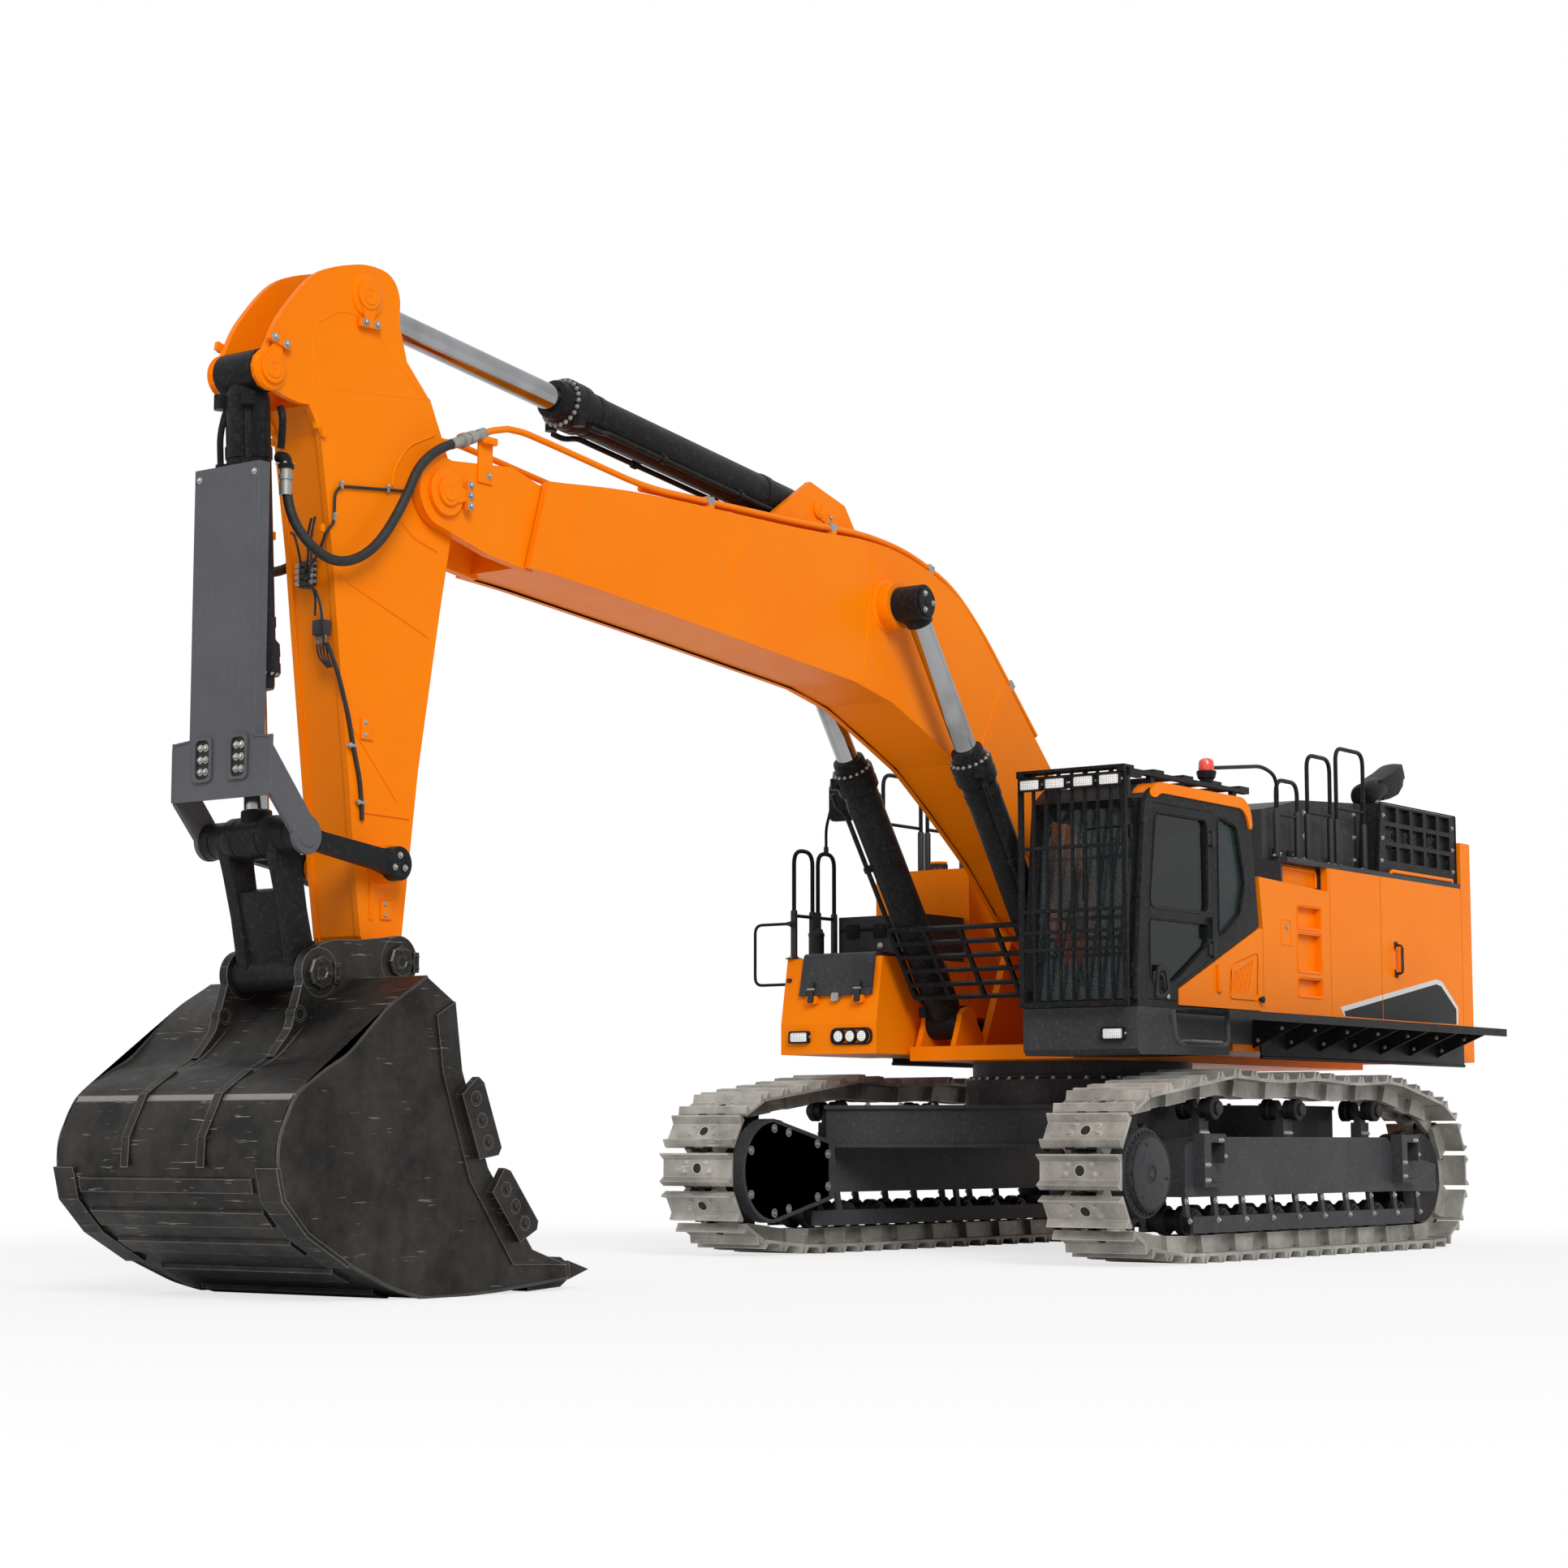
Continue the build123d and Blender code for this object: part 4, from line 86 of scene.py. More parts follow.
# ---------------------------------------------------------------- colours and node helper
def linear(hex_colour: str) -> tuple[float, float, float, float]:
    """Turn an sRGB hex colour to linear RGBA.

    Args:
        hex_colour: Colour such as "#f57c00".

    Returns:
        Linear red, green, blue and an alpha of 1.
    """
    channels = [int(hex_colour[i : i + 2], 16) / 255 for i in (1, 3, 5)]
    return (*[c / 12.92 if c <= 0.04045 else ((c + 0.055) / 1.055) ** 2.4 for c in channels], 1.0)


def add_node(
    tree: bpy.types.NodeTree, kind: str, settings: dict | None = None, links: dict | None = None
) -> bpy.types.Node:
    """Add one shader node with its settings and incoming links.

    Args:
        tree: Node tree of a material or world.
        kind: Type name without the ShaderNode prefix.
        settings: Node properties by name, or socket values by name or index under "in".
        links: Source sockets by the name or index of the input they feed.

    Returns:
        The new node.
    """
    node = tree.nodes.new("ShaderNode" + kind)
    for name, value in (settings or {}).items():
        if name == "in":
            for socket, constant in value.items():
                node.inputs[socket].default_value = constant
        else:
            setattr(node, name, value)
    for socket, source in (links or {}).items():
        tree.links.new(source, node.inputs[socket])
    return node


# ---------------------------------------------------------------- finishes
class Pattern:
    """Shader inputs that every finish shares, in metres on the piece."""

    def __init__(self, tree: bpy.types.NodeTree) -> None:
        """Add the coordinates that all patterns start from.

        Args:
            tree: Node tree of the material.
        """
        self.tree = tree
        self.shader = tree.nodes["Principled BSDF"]
        self.place = add_node(tree, "TexCoord").outputs["Object"]

    def noise(self, size_mm: float, detail: float = 3.0, rough: float = 0.6) -> bpy.types.NodeSocket:
        """Give smooth noise whose cells are about one size across.

        Args:
            size_mm: Size of a cell in millimetres.
            detail: Octaves of finer noise.
            rough: Weight of the finer octaves.

        Returns:
            Noise value from 0 to 1.
        """
        scale = 1 / (size_mm * MM)
        settings = {"in": {"Scale": scale, "Detail": detail, "Roughness": rough}}
        return add_node(self.tree, "TexNoise", settings, {"Vector": self.place}).outputs["Fac"]

    def ramp(self, value: bpy.types.NodeSocket, low: float, high: float) -> bpy.types.NodeSocket:
        """Stretch a value so that low gives 0 and high gives 1.

        Args:
            value: Input value.
            low: Input that gives 0.
            high: Input that gives 1.

        Returns:
            Clamped value from 0 to 1.
        """
        settings = {"clamp": True, "in": {FROM_LOW: low, FROM_HIGH: high}}
        return add_node(self.tree, "MapRange", settings, {0: value}).outputs[0]

    def spread(self, value: bpy.types.NodeSocket, low: float, high: float) -> bpy.types.NodeSocket:
        """Stretch a value from 0 to 1 so that it runs from low to high."""
        return add_node(self.tree, "MapRange", {"in": {TO_LOW: low, TO_HIGH: high}}, {0: value}).outputs[0]

    def product(self, first: bpy.types.NodeSocket, second: bpy.types.NodeSocket) -> bpy.types.NodeSocket:
        """Multiply two masks.

        Args:
            first: One mask.
            second: The other mask.

        Returns:
            Their product.
        """
        return add_node(self.tree, "Math", {"operation": "MULTIPLY"}, {0: first, 1: second}).outputs[0]

    def scaled(self, value: bpy.types.NodeSocket, share: float) -> bpy.types.NodeSocket:
        """Multiply a mask by a number.

        Args:
            value: Mask.
            share: Number.

        Returns:
            The weaker mask.
        """
        settings = {"operation": "MULTIPLY", "in": {1: share}}
        return add_node(self.tree, "Math", settings, {0: value}).outputs[0]

    def edges(self, radius_mm: float) -> bpy.types.NodeSocket:
        """Mark the edges of the piece, where hands, boots and stones rub.

        Args:
            radius_mm: Reach of the mark to each side of an edge.

        Returns:
            Mask, 1 on an edge and 0 on a flat face.
        """
        bevel = add_node(self.tree, "Bevel", {"samples": 4, "in": {"Radius": radius_mm * MM}})
        normal = add_node(self.tree, "NewGeometry").outputs["Normal"]
        dot = add_node(
            self.tree, "VectorMath", {"operation": "DOT_PRODUCT"}, {0: bevel.outputs[0], 1: normal}
        )
        return self.ramp(dot.outputs["Value"], 0.985, 0.80)

    def scratches(self, spacing_mm: float, angle: float, across: bool = False) -> bpy.types.NodeSocket:
        """Draw long thin scratches in one direction, on the faces that lie along it.

        Args:
            spacing_mm: Distance between scratches.
            angle: Turn of the direction, in radians.
            across: Whether they run on the faces that look along y, instead of the others.

        Returns:
            Mask, 1 on a scratch.
        """
        spread = (0.06, 1.0, 1.0) if across else (1.0, 0.06, 1.0)
        turned = (0.0, angle, 0.0) if across else (0.3 * angle, 0.0, 0.3 * angle)
        turn = add_node(self.tree, "Mapping", {"in": {"Rotation": turned, "Scale": spread}}, {0: self.place})
        settings = {"in": {"Scale": 1 / (spacing_mm * MM), "Detail": 2.0, "Distortion": 0.4}}
        noise = add_node(self.tree, "TexNoise", settings, {"Vector": turn.outputs[0]}).outputs["Fac"]
        normal = add_node(self.tree, "NewGeometry").outputs["Normal"]
        looks = add_node(self.tree, "SeparateXYZ", {}, {0: normal}).outputs["Y"]
        along_y = add_node(self.tree, "Math", {"operation": "ABSOLUTE"}, {0: looks}).outputs[0]
        facing = self.ramp(along_y, 0.4, 0.8) if across else self.ramp(along_y, 0.8, 0.4)
        return self.product(self.ramp(noise, 0.66, 0.70), facing)

    def blend(self, mask: bpy.types.NodeSocket, under: object, over: object) -> bpy.types.NodeSocket:
        """Lay one colour over another through a mask.

        Args:
            mask: Where the upper colour shows.
            under: Lower colour, as a socket or as linear RGBA.
            over: Upper colour, as a socket or as linear RGBA.

        Returns:
            The blended colour.
        """
        settings: dict = {"data_type": "RGBA", "in": {}}
        links = {0: mask}
        for index, colour in ((UNDER, under), (OVER, over)):
            if isinstance(colour, bpy.types.NodeSocket):
                links[index] = colour
            else:
                settings["in"][index] = colour
        return add_node(self.tree, "Mix", settings, links).outputs[2]

    def bump(
        self, height: bpy.types.NodeSocket, depth_mm: float, under: object = None
    ) -> bpy.types.NodeSocket:
        """Turn a height into a normal.

        Args:
            height: Height from 0 to 1.
            depth_mm: Real depth of that height.
            under: Normal of an earlier bump, or None.

        Returns:
            The bumped normal.
        """
        links = {"Height": height}
        if under is not None:
            links["Normal"] = under
        return add_node(
            self.tree, "Bump", {"in": {"Distance": depth_mm * MM, "Strength": 1.0}}, links
        ).outputs[0]

    def feed(self, **sockets: object) -> None:
        """Link sockets to the principled shader or set its constants.

        Args:
            **sockets: Input name, with spaces as underscores, and a socket or a constant.
        """
        for name, value in sockets.items():
            target = self.shader.inputs[name.replace("_", " ")]
            if isinstance(value, bpy.types.NodeSocket):
                self.tree.links.new(value, target)
            else:
                target.default_value = value


@dataclass(frozen=True)
class Finish:
    """Base of all finishes: a name, the record's slot that it stands for, and one material, built once."""

    name: str
    slot: str

    def material(self) -> bpy.types.Material:
        """Give the finish's material, building it at its first use.

        Returns:
            The material.
        """
        found = bpy.data.materials.get(self.name)
        if found:
            return found
        made = bpy.data.materials.new(self.name)
        made.use_nodes = True
        self.shade(Pattern(made.node_tree))
        return made

    def shade(self, pattern: Pattern) -> None:
        """Set up the shader; each finish has its own.

        Args:
            pattern: Patterns and shader of the material.
        """
        raise NotImplementedError


@dataclass(frozen=True)
class Enamel(Finish):
    """Two-pack machine enamel, sprayed on steel: even colour, soft gloss, orange peel and rubbed edges."""

    colour: str = "#f27405"
    faded: str = "#e8780f"
    worn: str = "#8a8378"
    dust: float = 0.10
    rubbed: float = 0.5
    gloss: float = 0.38

    def shade(self, pattern: Pattern) -> None:
        """Build the enamel.

        Args:
            pattern: Patterns and shader of the material.
        """
        # sprayed enamel varies over hand-wide patches
        patches = pattern.ramp(pattern.noise(900, 4), 0.35, 0.7)
        colour = pattern.blend(patches, linear(self.colour), linear(self.faded))
        # road dust settles as fine specks
        specks = pattern.ramp(pattern.noise(30, 6, 0.7), 0.52, 0.78)
        colour = pattern.blend(pattern.scaled(specks, self.dust), colour, linear("#b9a58c"))
        # edges are rubbed through in short broken stretches
        broken = pattern.ramp(pattern.noise(45, 4, 0.7), 0.55, 0.62)
        rubbed = pattern.scaled(pattern.product(pattern.edges(5), broken), self.rubbed)
        colour = pattern.blend(rubbed, colour, linear(self.worn))
        rough = pattern.spread(pattern.noise(160, 4), self.gloss - 0.06, self.gloss + 0.14)
        # orange peel: shallow waves 6 mm apart
        normal = pattern.bump(pattern.noise(6, 1), 0.05)
        pattern.feed(Base_Color=colour, Roughness=rough, Normal=normal, Coat_Weight=0.04)
        pattern.feed(Specular_IOR_Level=0.22, Specular_Tint=linear(self.colour))


@dataclass(frozen=True)
class BareSteel(Finish):
    """Rolled or cast steel polished by soil: dark where it rusts, bright and scratched where it rubs."""

    dark: str = "#2b2927"
    mid: str = "#4a4744"
    bright: str = "#b9b4ac"
    rust: str = "#5a4636"
    scratch_mm: float = 14.0
    scratched: float = 0.6
    shine: float = 0.42
    metal: float = 0.75
    edge_mm: float = 9.0

    def shade(self, pattern: Pattern) -> None:
        """Build the bare steel.

        Args:
            pattern: Patterns and shader of the material.
        """
        cloud = pattern.ramp(pattern.noise(350, 6, 0.65), 0.36, 0.66)
        colour = pattern.blend(cloud, linear(self.dark), linear(self.mid))
        stain = pattern.scaled(pattern.ramp(pattern.noise(120, 5, 0.7), 0.55, 0.75), 0.35)
        colour = pattern.blend(stain, colour, linear(self.rust))
        lines = pattern.product(
            pattern.scratches(self.scratch_mm, 0.35), pattern.ramp(pattern.noise(240, 3), 0.42, 0.62)
        )
        colour = pattern.blend(pattern.scaled(lines, self.scratched), colour, linear(self.bright))
        other = pattern.product(
            pattern.scratches(self.scratch_mm * 1.2, 0.7, True),
            pattern.ramp(pattern.noise(300, 3), 0.48, 0.6),
        )
        colour = pattern.blend(pattern.scaled(other, self.scratched * 0.8), colour, linear(self.bright))
        colour = pattern.blend(pattern.scaled(pattern.edges(self.edge_mm), 0.65), colour, linear(self.bright))
        rough = pattern.spread(pattern.noise(90, 5), self.shine - 0.1, self.shine + 0.22)
        normal = pattern.bump(pattern.noise(12, 4, 0.7), 0.35)
        normal = pattern.bump(lines, 0.25, normal)
        pattern.feed(Base_Color=colour, Metallic=self.metal, Roughness=rough, Normal=normal)


@dataclass(frozen=True)
class ChromePlate(Finish):
    """Hard chrome ground round the rod: a bright mirror with faint rings and an oil film."""

    def shade(self, pattern: Pattern) -> None:
        """Build the chrome.

        Args:
            pattern: Patterns and shader of the material.
        """
        film = pattern.ramp(pattern.noise(400, 2), 0.4, 0.7)
        colour = pattern.blend(film, linear("#aeb0b3"), linear("#8f9091"))
        rough = pattern.spread(pattern.noise(300, 2), 0.10, 0.13)
        pattern.feed(Base_Color=colour, Metallic=1.0, Roughness=rough)


@dataclass(frozen=True)
class Rubber(Finish):
    """Moulded black rubber, as on hoses and mats: matt, with a bloom of grey."""

    colour: str = "#171717"
    bloom: str = "#2c2c2c"

    def shade(self, pattern: Pattern) -> None:
        """Build the rubber.

        Args:
            pattern: Patterns and shader of the material.
        """
        mask = pattern.ramp(pattern.noise(60, 4, 0.7), 0.45, 0.75)
        colour = pattern.blend(mask, linear(self.colour), linear(self.bloom))
        normal = pattern.bump(pattern.noise(4, 2), 0.15)
        pattern.feed(Base_Color=colour, Roughness=0.62, Normal=normal)


@dataclass(frozen=True)
class SafetyGlass(Finish):
    """Laminated cab glass: clear with a grey tint and a veil of dust."""

    tint: str = "#8f9a99"
    clear: float = 0.30

    def shade(self, pattern: Pattern) -> None:
        """Build the glass.

        Args:
            pattern: Patterns and shader of the material.
        """
        veil = pattern.ramp(pattern.noise(260, 5, 0.6), 0.5, 0.9)
        rough = pattern.spread(veil, 0.02, 0.12)
        alpha = pattern.spread(veil, self.clear, self.clear + 0.1)
        pattern.feed(Base_Color=linear(self.tint), Roughness=rough, Alpha=alpha, Metallic=0.0)


class Tint(Enum):
    """Paint colours of the machine as sRGB hex values."""

    ORANGE = "#f67d02"
    ORANGE_FADED = "#f88406"
    GRAPHITE = "#37383b"
    GRAPHITE_FADED = "#434447"
    JET = "#1a1b1c"
    JET_FADED = "#232426"


ORANGE = Enamel(
    "orange_two_pack_enamel", "boom", colour=Tint.ORANGE.value, faded=Tint.ORANGE_FADED.value, dust=0.02,
    rubbed=0.3,
)
GREY = Enamel(
    "graphite_two_pack_enamel", "car_body", colour=Tint.GRAPHITE.value, faded=Tint.GRAPHITE_FADED.value,
    worn="#77736c", dust=0.12, rubbed=0.35, gloss=0.45,
)
GUARD_GREY = Enamel(
    "pale_graphite_enamel", "bucket_rod_guard", colour="#55565a", faded="#5e5f63", worn="#8a867f", dust=0.08,
    rubbed=0.35, gloss=0.40,
)
BLACK = Enamel(
    "black_two_pack_enamel", "cab_guard", colour=Tint.JET.value, faded=Tint.JET_FADED.value, worn="#5c5955",
    dust=0.08, rubbed=0.35, gloss=0.42,
)
SHOES = BareSteel(
    "worn_shoe_steel", "track_left", dark="#8b8882", mid="#bab7b0", bright="#efece6", rust="#8a7f70",
    scratch_mm=22.0, scratched=0.55, shine=0.45, metal=0.45, edge_mm=8.0,
)
DARK_CAST = BareSteel(
    "dark_cast_steel", "rollers_left", dark="#1b1b1c", mid="#2c2c2d", bright="#6f6c68", rust="#3b332c",
    scratch_mm=20.0, scratched=0.25, shine=0.5, metal=0.5, edge_mm=6.0,
)
BUCKET_STEEL = BareSteel("scratched_bucket_steel", "bucket", dark="#222120", mid="#403e3c")
BOLT_STEEL = BareSteel(
    "zinc_plated_bolt_steel", "rollers_left", dark="#8d8c88", mid="#b4b2ac", bright="#dcdad5", rust="#8c8478",
    scratch_mm=10.0, scratched=0.2, shine=0.35, metal=0.6, edge_mm=2.0,
)
CHROME = ChromePlate("hard_chrome_rod", "arm_cylinder_rod")
RUBBER = Rubber("black_rubber", "arm_hoses")
# near-black finish that paints the shade inside holes and slots, which are not cut
HOLLOW_SHADE = Rubber("painted_hollow_shade", "rollers_left", "#060606", "#0b0b0b")
GLASS = SafetyGlass("laminated_cab_glass", "cab_glazing", "#39484a", 0.34)
DOOR_GLASS = SafetyGlass("tinted_door_glass", "door_glazing", "#10181a", 0.62)

NODE_FINISHES: dict[Finish, str] = {
    GREY: """car_body track_frame_left track_frame_right motor_guards track_steps swing_bearing cab_skirt hood
        house_frame battery_box toolbox_lid""",
    GUARD_GREY: "bucket_rod_guard",
    BLACK: """cab_guard cab_door cab_shell grille_cover catwalks boom_cylinder_guard boom_cylinder_barrels
        arm_cylinder_barrel bucket_cylinder_barrel handrails_left handrails_right exhaust rocker_links
        bucket_link work_lamps mirrors""",
    SHOES: "track_left track_right",
    DARK_CAST: "sprocket_left sprocket_right idler_left idler_right rollers_left rollers_right engine_block",
    BUCKET_STEEL: "bucket bucket_teeth side_cutters",
    CHROME: "boom_cylinder_rods arm_cylinder_rod bucket_cylinder_rod",
    RUBBER: "operator_seat arm_hoses",
    GLASS: "cab_glazing",
    DOOR_GLASS: "door_glazing",
}


def dress_nodes() -> None:
    """Give every CAD node its finish; what the table doesn't name is orange."""
    finish_of = {node: finish for finish, nodes in NODE_FINISHES.items() for node in nodes.split()}
    for name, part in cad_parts.items():
        finish = finish_of.get(name, ORANGE)
        part.data.materials.clear()
        part.data.materials.append(finish.material())
        log.info("%s: %s", name, finish.name)


# ---------------------------------------------------------------- forms
def tube_rings(line: Points, radii: list[float], sides: int) -> list[Points]:
    """Give the rings of a tube round a line, without twist.

    Args:
        line: Points of the middle line.
        radii: Radius of the tube at each of them.
        sides: Facets of the round.

    Returns:
        One ring of points for each point of the line.
    """
    turns = [math.tau * i / sides for i in range(sides)]
    side = (line[1] - line[0]).orthogonal().normalized()
    last = len(line) - 1
    rings = []
    for index, (here, radius) in enumerate(zip(line, radii)):
        along = (line[min(index + 1, last)] - line[max(index - 1, 0)]).normalized()
        side = (side - side.dot(along) * along).normalized()
        other = along.cross(side)
        rings.append([here + radius * (math.cos(a) * side + math.sin(a) * other) for a in turns])
    return rings


class Facing(Enum):
    """Axis that a flat plate faces along."""

    X = (1, 2, 0)
    Y = (0, 2, 1)
    Z = (0, 1, 2)

    def lift(self, outline: Outline, height: float) -> Points:
        """Set an outline across the axis at a height along it.

        Args:
            outline: Corners, in the order of the other two axes.
            height: Place along the axis.

        Returns:
            A ring of points.
        """
        first, second, third = self.value
        ring = []
        for u, v in outline:
            point = Vector((0, 0, 0))
            point[first], point[second], point[third] = u, v, height
            ring.append(point)
        return ring


class Form:
    """A piece in the making: it gains solids in millimetres, then a finish and a body to ride on."""

    def __init__(self, name: str) -> None:
        """Start an empty piece.

        Args:
            name: Name of the finished piece.
        """
        self.name = name
        self.mesh = bmesh.new()

    def skin(self, rings: list[list[Vector]], looped: bool = False) -> list[bmesh.types.BMFace]:
        """Span rings of equal length with faces.

        Args:
            rings: Rings of points, in order.
            looped: Whether the last ring joins the first, instead of flat ends.

        Returns:
            The new faces.
        """
        rows = [[self.mesh.verts.new(point) for point in ring] for ring in rings]
        pairs = list(zip(rows, rows[1:])) + ([(rows[-1], rows[0])] if looped else [])
        made = [
            self.mesh.faces.new((near[i - 1], near[i], far[i], far[i - 1]))
            for near, far in pairs
            for i in range(len(near))
        ]
        if not looped:
            made += [self.mesh.faces.new(rows[0]), self.mesh.faces.new(rows[-1])]
        return made

    def lathe(
        self, start: Point, end: Point, profile: Outline, sides: int = 40, looped: bool = False
    ) -> None:
        """Turn a profile about the line from start to end.

        Args:
            start: Where the profile's distances begin.
            end: Point that the line runs towards.
            profile: Distance along the line and radius of each step.
            sides: Facets of the round.
            looped: Whether the profile closes on itself, as a ring's does.
        """
        origin = Vector(start)
        along = (Vector(end) - origin).normalized()
        across = along.orthogonal().normalized()
        other = along.cross(across)
        turns = [(math.cos(math.tau * i / sides), math.sin(math.tau * i / sides)) for i in range(sides)]
        rings = [
            [origin + far * along + radius * (c * across + s * other) for c, s in turns]
            for far, radius in profile
        ]
        self.skin(rings, looped)

    def rod(self, start: Point, end: Point, radius: float, sides: int = 32, edge: float = 2.0) -> None:
        """Add a round bar with eased ends.

        Args:
            start: Middle of one end.
            end: Middle of the other end.
            radius: Radius of the bar.
            sides: Facets of the round.
            edge: Size of the eased edge.
        """
        long = (Vector(end) - Vector(start)).length
        self.lathe(
            start, end,
            [(0, radius - edge), (edge, radius), (long - edge, radius), (long, radius - edge)],
            sides,
        )

    def ring(self, start: Point, end: Point, radius: float, bore: float, sides: int = 40) -> None:
        """Add a flat ring or sleeve from start to end.

        Args:
            start: Middle of one face.
            end: Middle of the other face.
            radius: Outer radius.
            bore: Inner radius.
            sides: Facets of the round.
        """
        long = (Vector(end) - Vector(start)).length
        self.lathe(start, end, [(0, bore), (0, radius), (long, radius), (long, bore)], sides, True)

    def plate(
        self, outline: Outline, facing: Facing, low: float, high: float, edge: float = 0.0
    ) -> None:
        """Add a plate with an outline, between two heights along the axis it faces.

        Args:
            outline: Corners across the axis, in the order of the other two axes.
            facing: Axis that the plate faces along.
            low: Lower height.
            high: Upper height.
            edge: Size of the rounded edges, 0 for sharp ones.
        """
        made = self.skin([facing.lift(outline, height) for height in (low, high)])
        if edge:
            edges = list(dict.fromkeys(line for face in made for line in face.edges))
            bmesh.ops.bevel(self.mesh, geom=edges, offset=edge, segments=2, profile=0.6, affect="EDGES")

    def box(
        self, x: Flat, y: Flat, z: Flat, edge: float = 0.0
    ) -> None:
        """Add a box between limits along each axis.

        Args:
            x: Low and high x.
            y: Low and high y.
            z: Low and high z.
            edge: Size of the rounded edges.
        """
        corners = rect(x[0], x[1], y[0], y[1])
        self.plate(corners, Facing.Z, z[0], z[1], edge)

    def border(self, outer: Outline, inner: Outline, facing: Facing, low: float, high: float) -> None:
        """Add a flat frame between two outlines with as many points as each other.

        Args:
            outer: Outer outline.
            inner: Inner outline.
            facing: Axis that the frame faces along.
            low: Lower height.
            high: Upper height.
        """
        steps = ((outer, low), (outer, high), (inner, high), (inner, low))
        self.skin([facing.lift(outline, height) for outline, height in steps], True)

    def pipe(self, points: list[Point], radius: float, bend: float = 60.0, sides: int = 12) -> None:
        """Add a bent tube through a route of points.

        Args:
            points: Route, from end to end.
            radius: Radius of the tube.
            bend: Distance before and after a corner over which the tube bends.
            sides: Facets of the round.
        """
        stops = [Vector(point) for point in points]
        line = [stops[0]]
        for before, here, after in zip(stops, stops[1:], stops[2:]):
            reach = min(bend, 0.45 * (here - before).length, 0.45 * (after - here).length)
            near = here + reach * (before - here).normalized()
            far = here + reach * (after - here).normalized()
            for step in range(BEND_STEPS + 1):
                share = step / BEND_STEPS
                line.append(near.lerp(here, share).lerp(here.lerp(far, share), share))
        line.append(stops[-1])
        self.skin(tube_rings(line, [radius] * len(line), sides))

    def bolt(self, seat: Point, outward: Point, size: float = 24.0, socket: bool = False) -> None:
        """Add a bolt head on its washer.

        Args:
            seat: Middle of the washer's underside.
            outward: Direction that the head points in.
            size: Width of the head over its flats.
            socket: Whether the head is round with a sunk hexagon.
        """
        tip = Vector(seat) + Vector(outward)
        self.lathe(seat, tip, [(-1, 0.9 * size), (0.12 * size, 0.9 * size), (0.17 * size, 0.8 * size)], 14)
        head = [(0.1 * size, 0.56 * size), (0.62 * size, 0.56 * size), (0.74 * size, 0.44 * size)]
        if socket:
            head = [(0.1 * size, 0.6 * size), (0.66 * size, 0.6 * size), (0.74 * size, 0.5 * size)]
            head += [(0.74 * size, 0.3 * size), (0.4 * size, 0.28 * size)]
        self.lathe(seat, tip, head, 12 if socket else 6)

    def bolt_circle(
        self, centre: Point, outward: Point, radius: float, count: int, size: float = 24.0,
        first: float = 0.0, sweep: float = 360.0, socket: bool = False,
    ) -> None:
        """Add bolts round a circle.

        Args:
            centre: Middle of the circle.
            outward: Direction that the heads point in.
            radius: Radius of the circle.
            count: Number of bolts.
            size: Width of each head.
            first: Angle of the first bolt, in degrees.
            sweep: Angle that the bolts fill, in degrees.
            socket: Whether the heads are round with a sunk hexagon.
        """
        axis = Vector(outward).normalized()
        across = Vector((0, 0, 1)) if abs(axis.z) < 0.9 else Vector((1, 0, 0))
        across = (across - across.dot(axis) * axis).normalized()
        for index in range(count):
            turn = Matrix.Rotation(math.radians(first + index * sweep / count), 3, axis)
            self.bolt(Vector(centre) + radius * (turn @ across), outward, size, socket)

    def mesh_object(self, finish: Finish, smooth: float = 34.0) -> bpy.types.Object:
        """Turn the form into a finished object in metres, which still rides on nothing.

        Args:
            finish: Finish of the whole piece.
            smooth: Widest angle in degrees that still shades as a round.

        Returns:
            The new object.
        """
        bmesh.ops.scale(self.mesh, vec=(MM, MM, MM), verts=self.mesh.verts)
        bmesh.ops.recalc_face_normals(self.mesh, faces=self.mesh.faces)
        data = bpy.data.meshes.new(self.name)
        self.mesh.to_mesh(data)
        self.mesh.free()
        data.materials.append(finish.material())
        data.polygons.foreach_set("use_smooth", [True] * len(data.polygons))
        data.set_sharp_from_angle(angle=math.radians(smooth))
        piece = bpy.data.objects.new(self.name, data)
        bpy.context.scene.collection.objects.link(piece)
        log.info("%s: %d faces, %s", self.name, len(data.polygons), finish.name)
        return piece

    def done(self, body: str, finish: Finish, *replaced: str, smooth: float = 34.0) -> bpy.types.Object:
        """Turn the form into a finished piece that rides on a body.

        Args:
            body: Body that the piece rides on.
            finish: Finish of the whole piece.
            *replaced: CAD nodes that the piece stands for.
            smooth: Widest angle in degrees that still shades as a round.

        Returns:
            The new object.
        """
        piece = self.mesh_object(finish, smooth)
        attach(piece, body)
        if replaced:
            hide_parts(*replaced)
        return piece


def forms(names: str) -> list[Form]:
    """Start a piece for each name in a list with spaces between."""
    return [Form(name) for name in names.split()]


def finish_all(body: str, finishes: dict[Form, Finish]) -> None:
    """Finish several pieces that ride on one body, in order.

    Args:
        body: Body that the pieces ride on.
        finishes: Pieces in the making and the finish of each.
    """
    for form, coat in finishes.items():
        form.done(body, coat)


def limits(first: float, last: float) -> Flat:
    """Give two limits with the lower one first."""
    return (min(first, last), max(first, last))


def rect(low_u: float, high_u: float, low_v: float, high_v: float) -> Outline:
    """Give the corners of an upright rectangle between its limits."""
    return [(low_u, low_v), (high_u, low_v), (high_u, high_v), (low_u, high_v)]


def hand(side: float) -> str:
    """Name the machine's side: left for 1 and right for -1."""
    return "left" if side > 0 else "right"


def spoke(angle: float) -> Vector:
    """Give the unit vector at an angle above x, in the (x, z) plane."""
    return Vector((math.cos(angle), 0, math.sin(angle)))


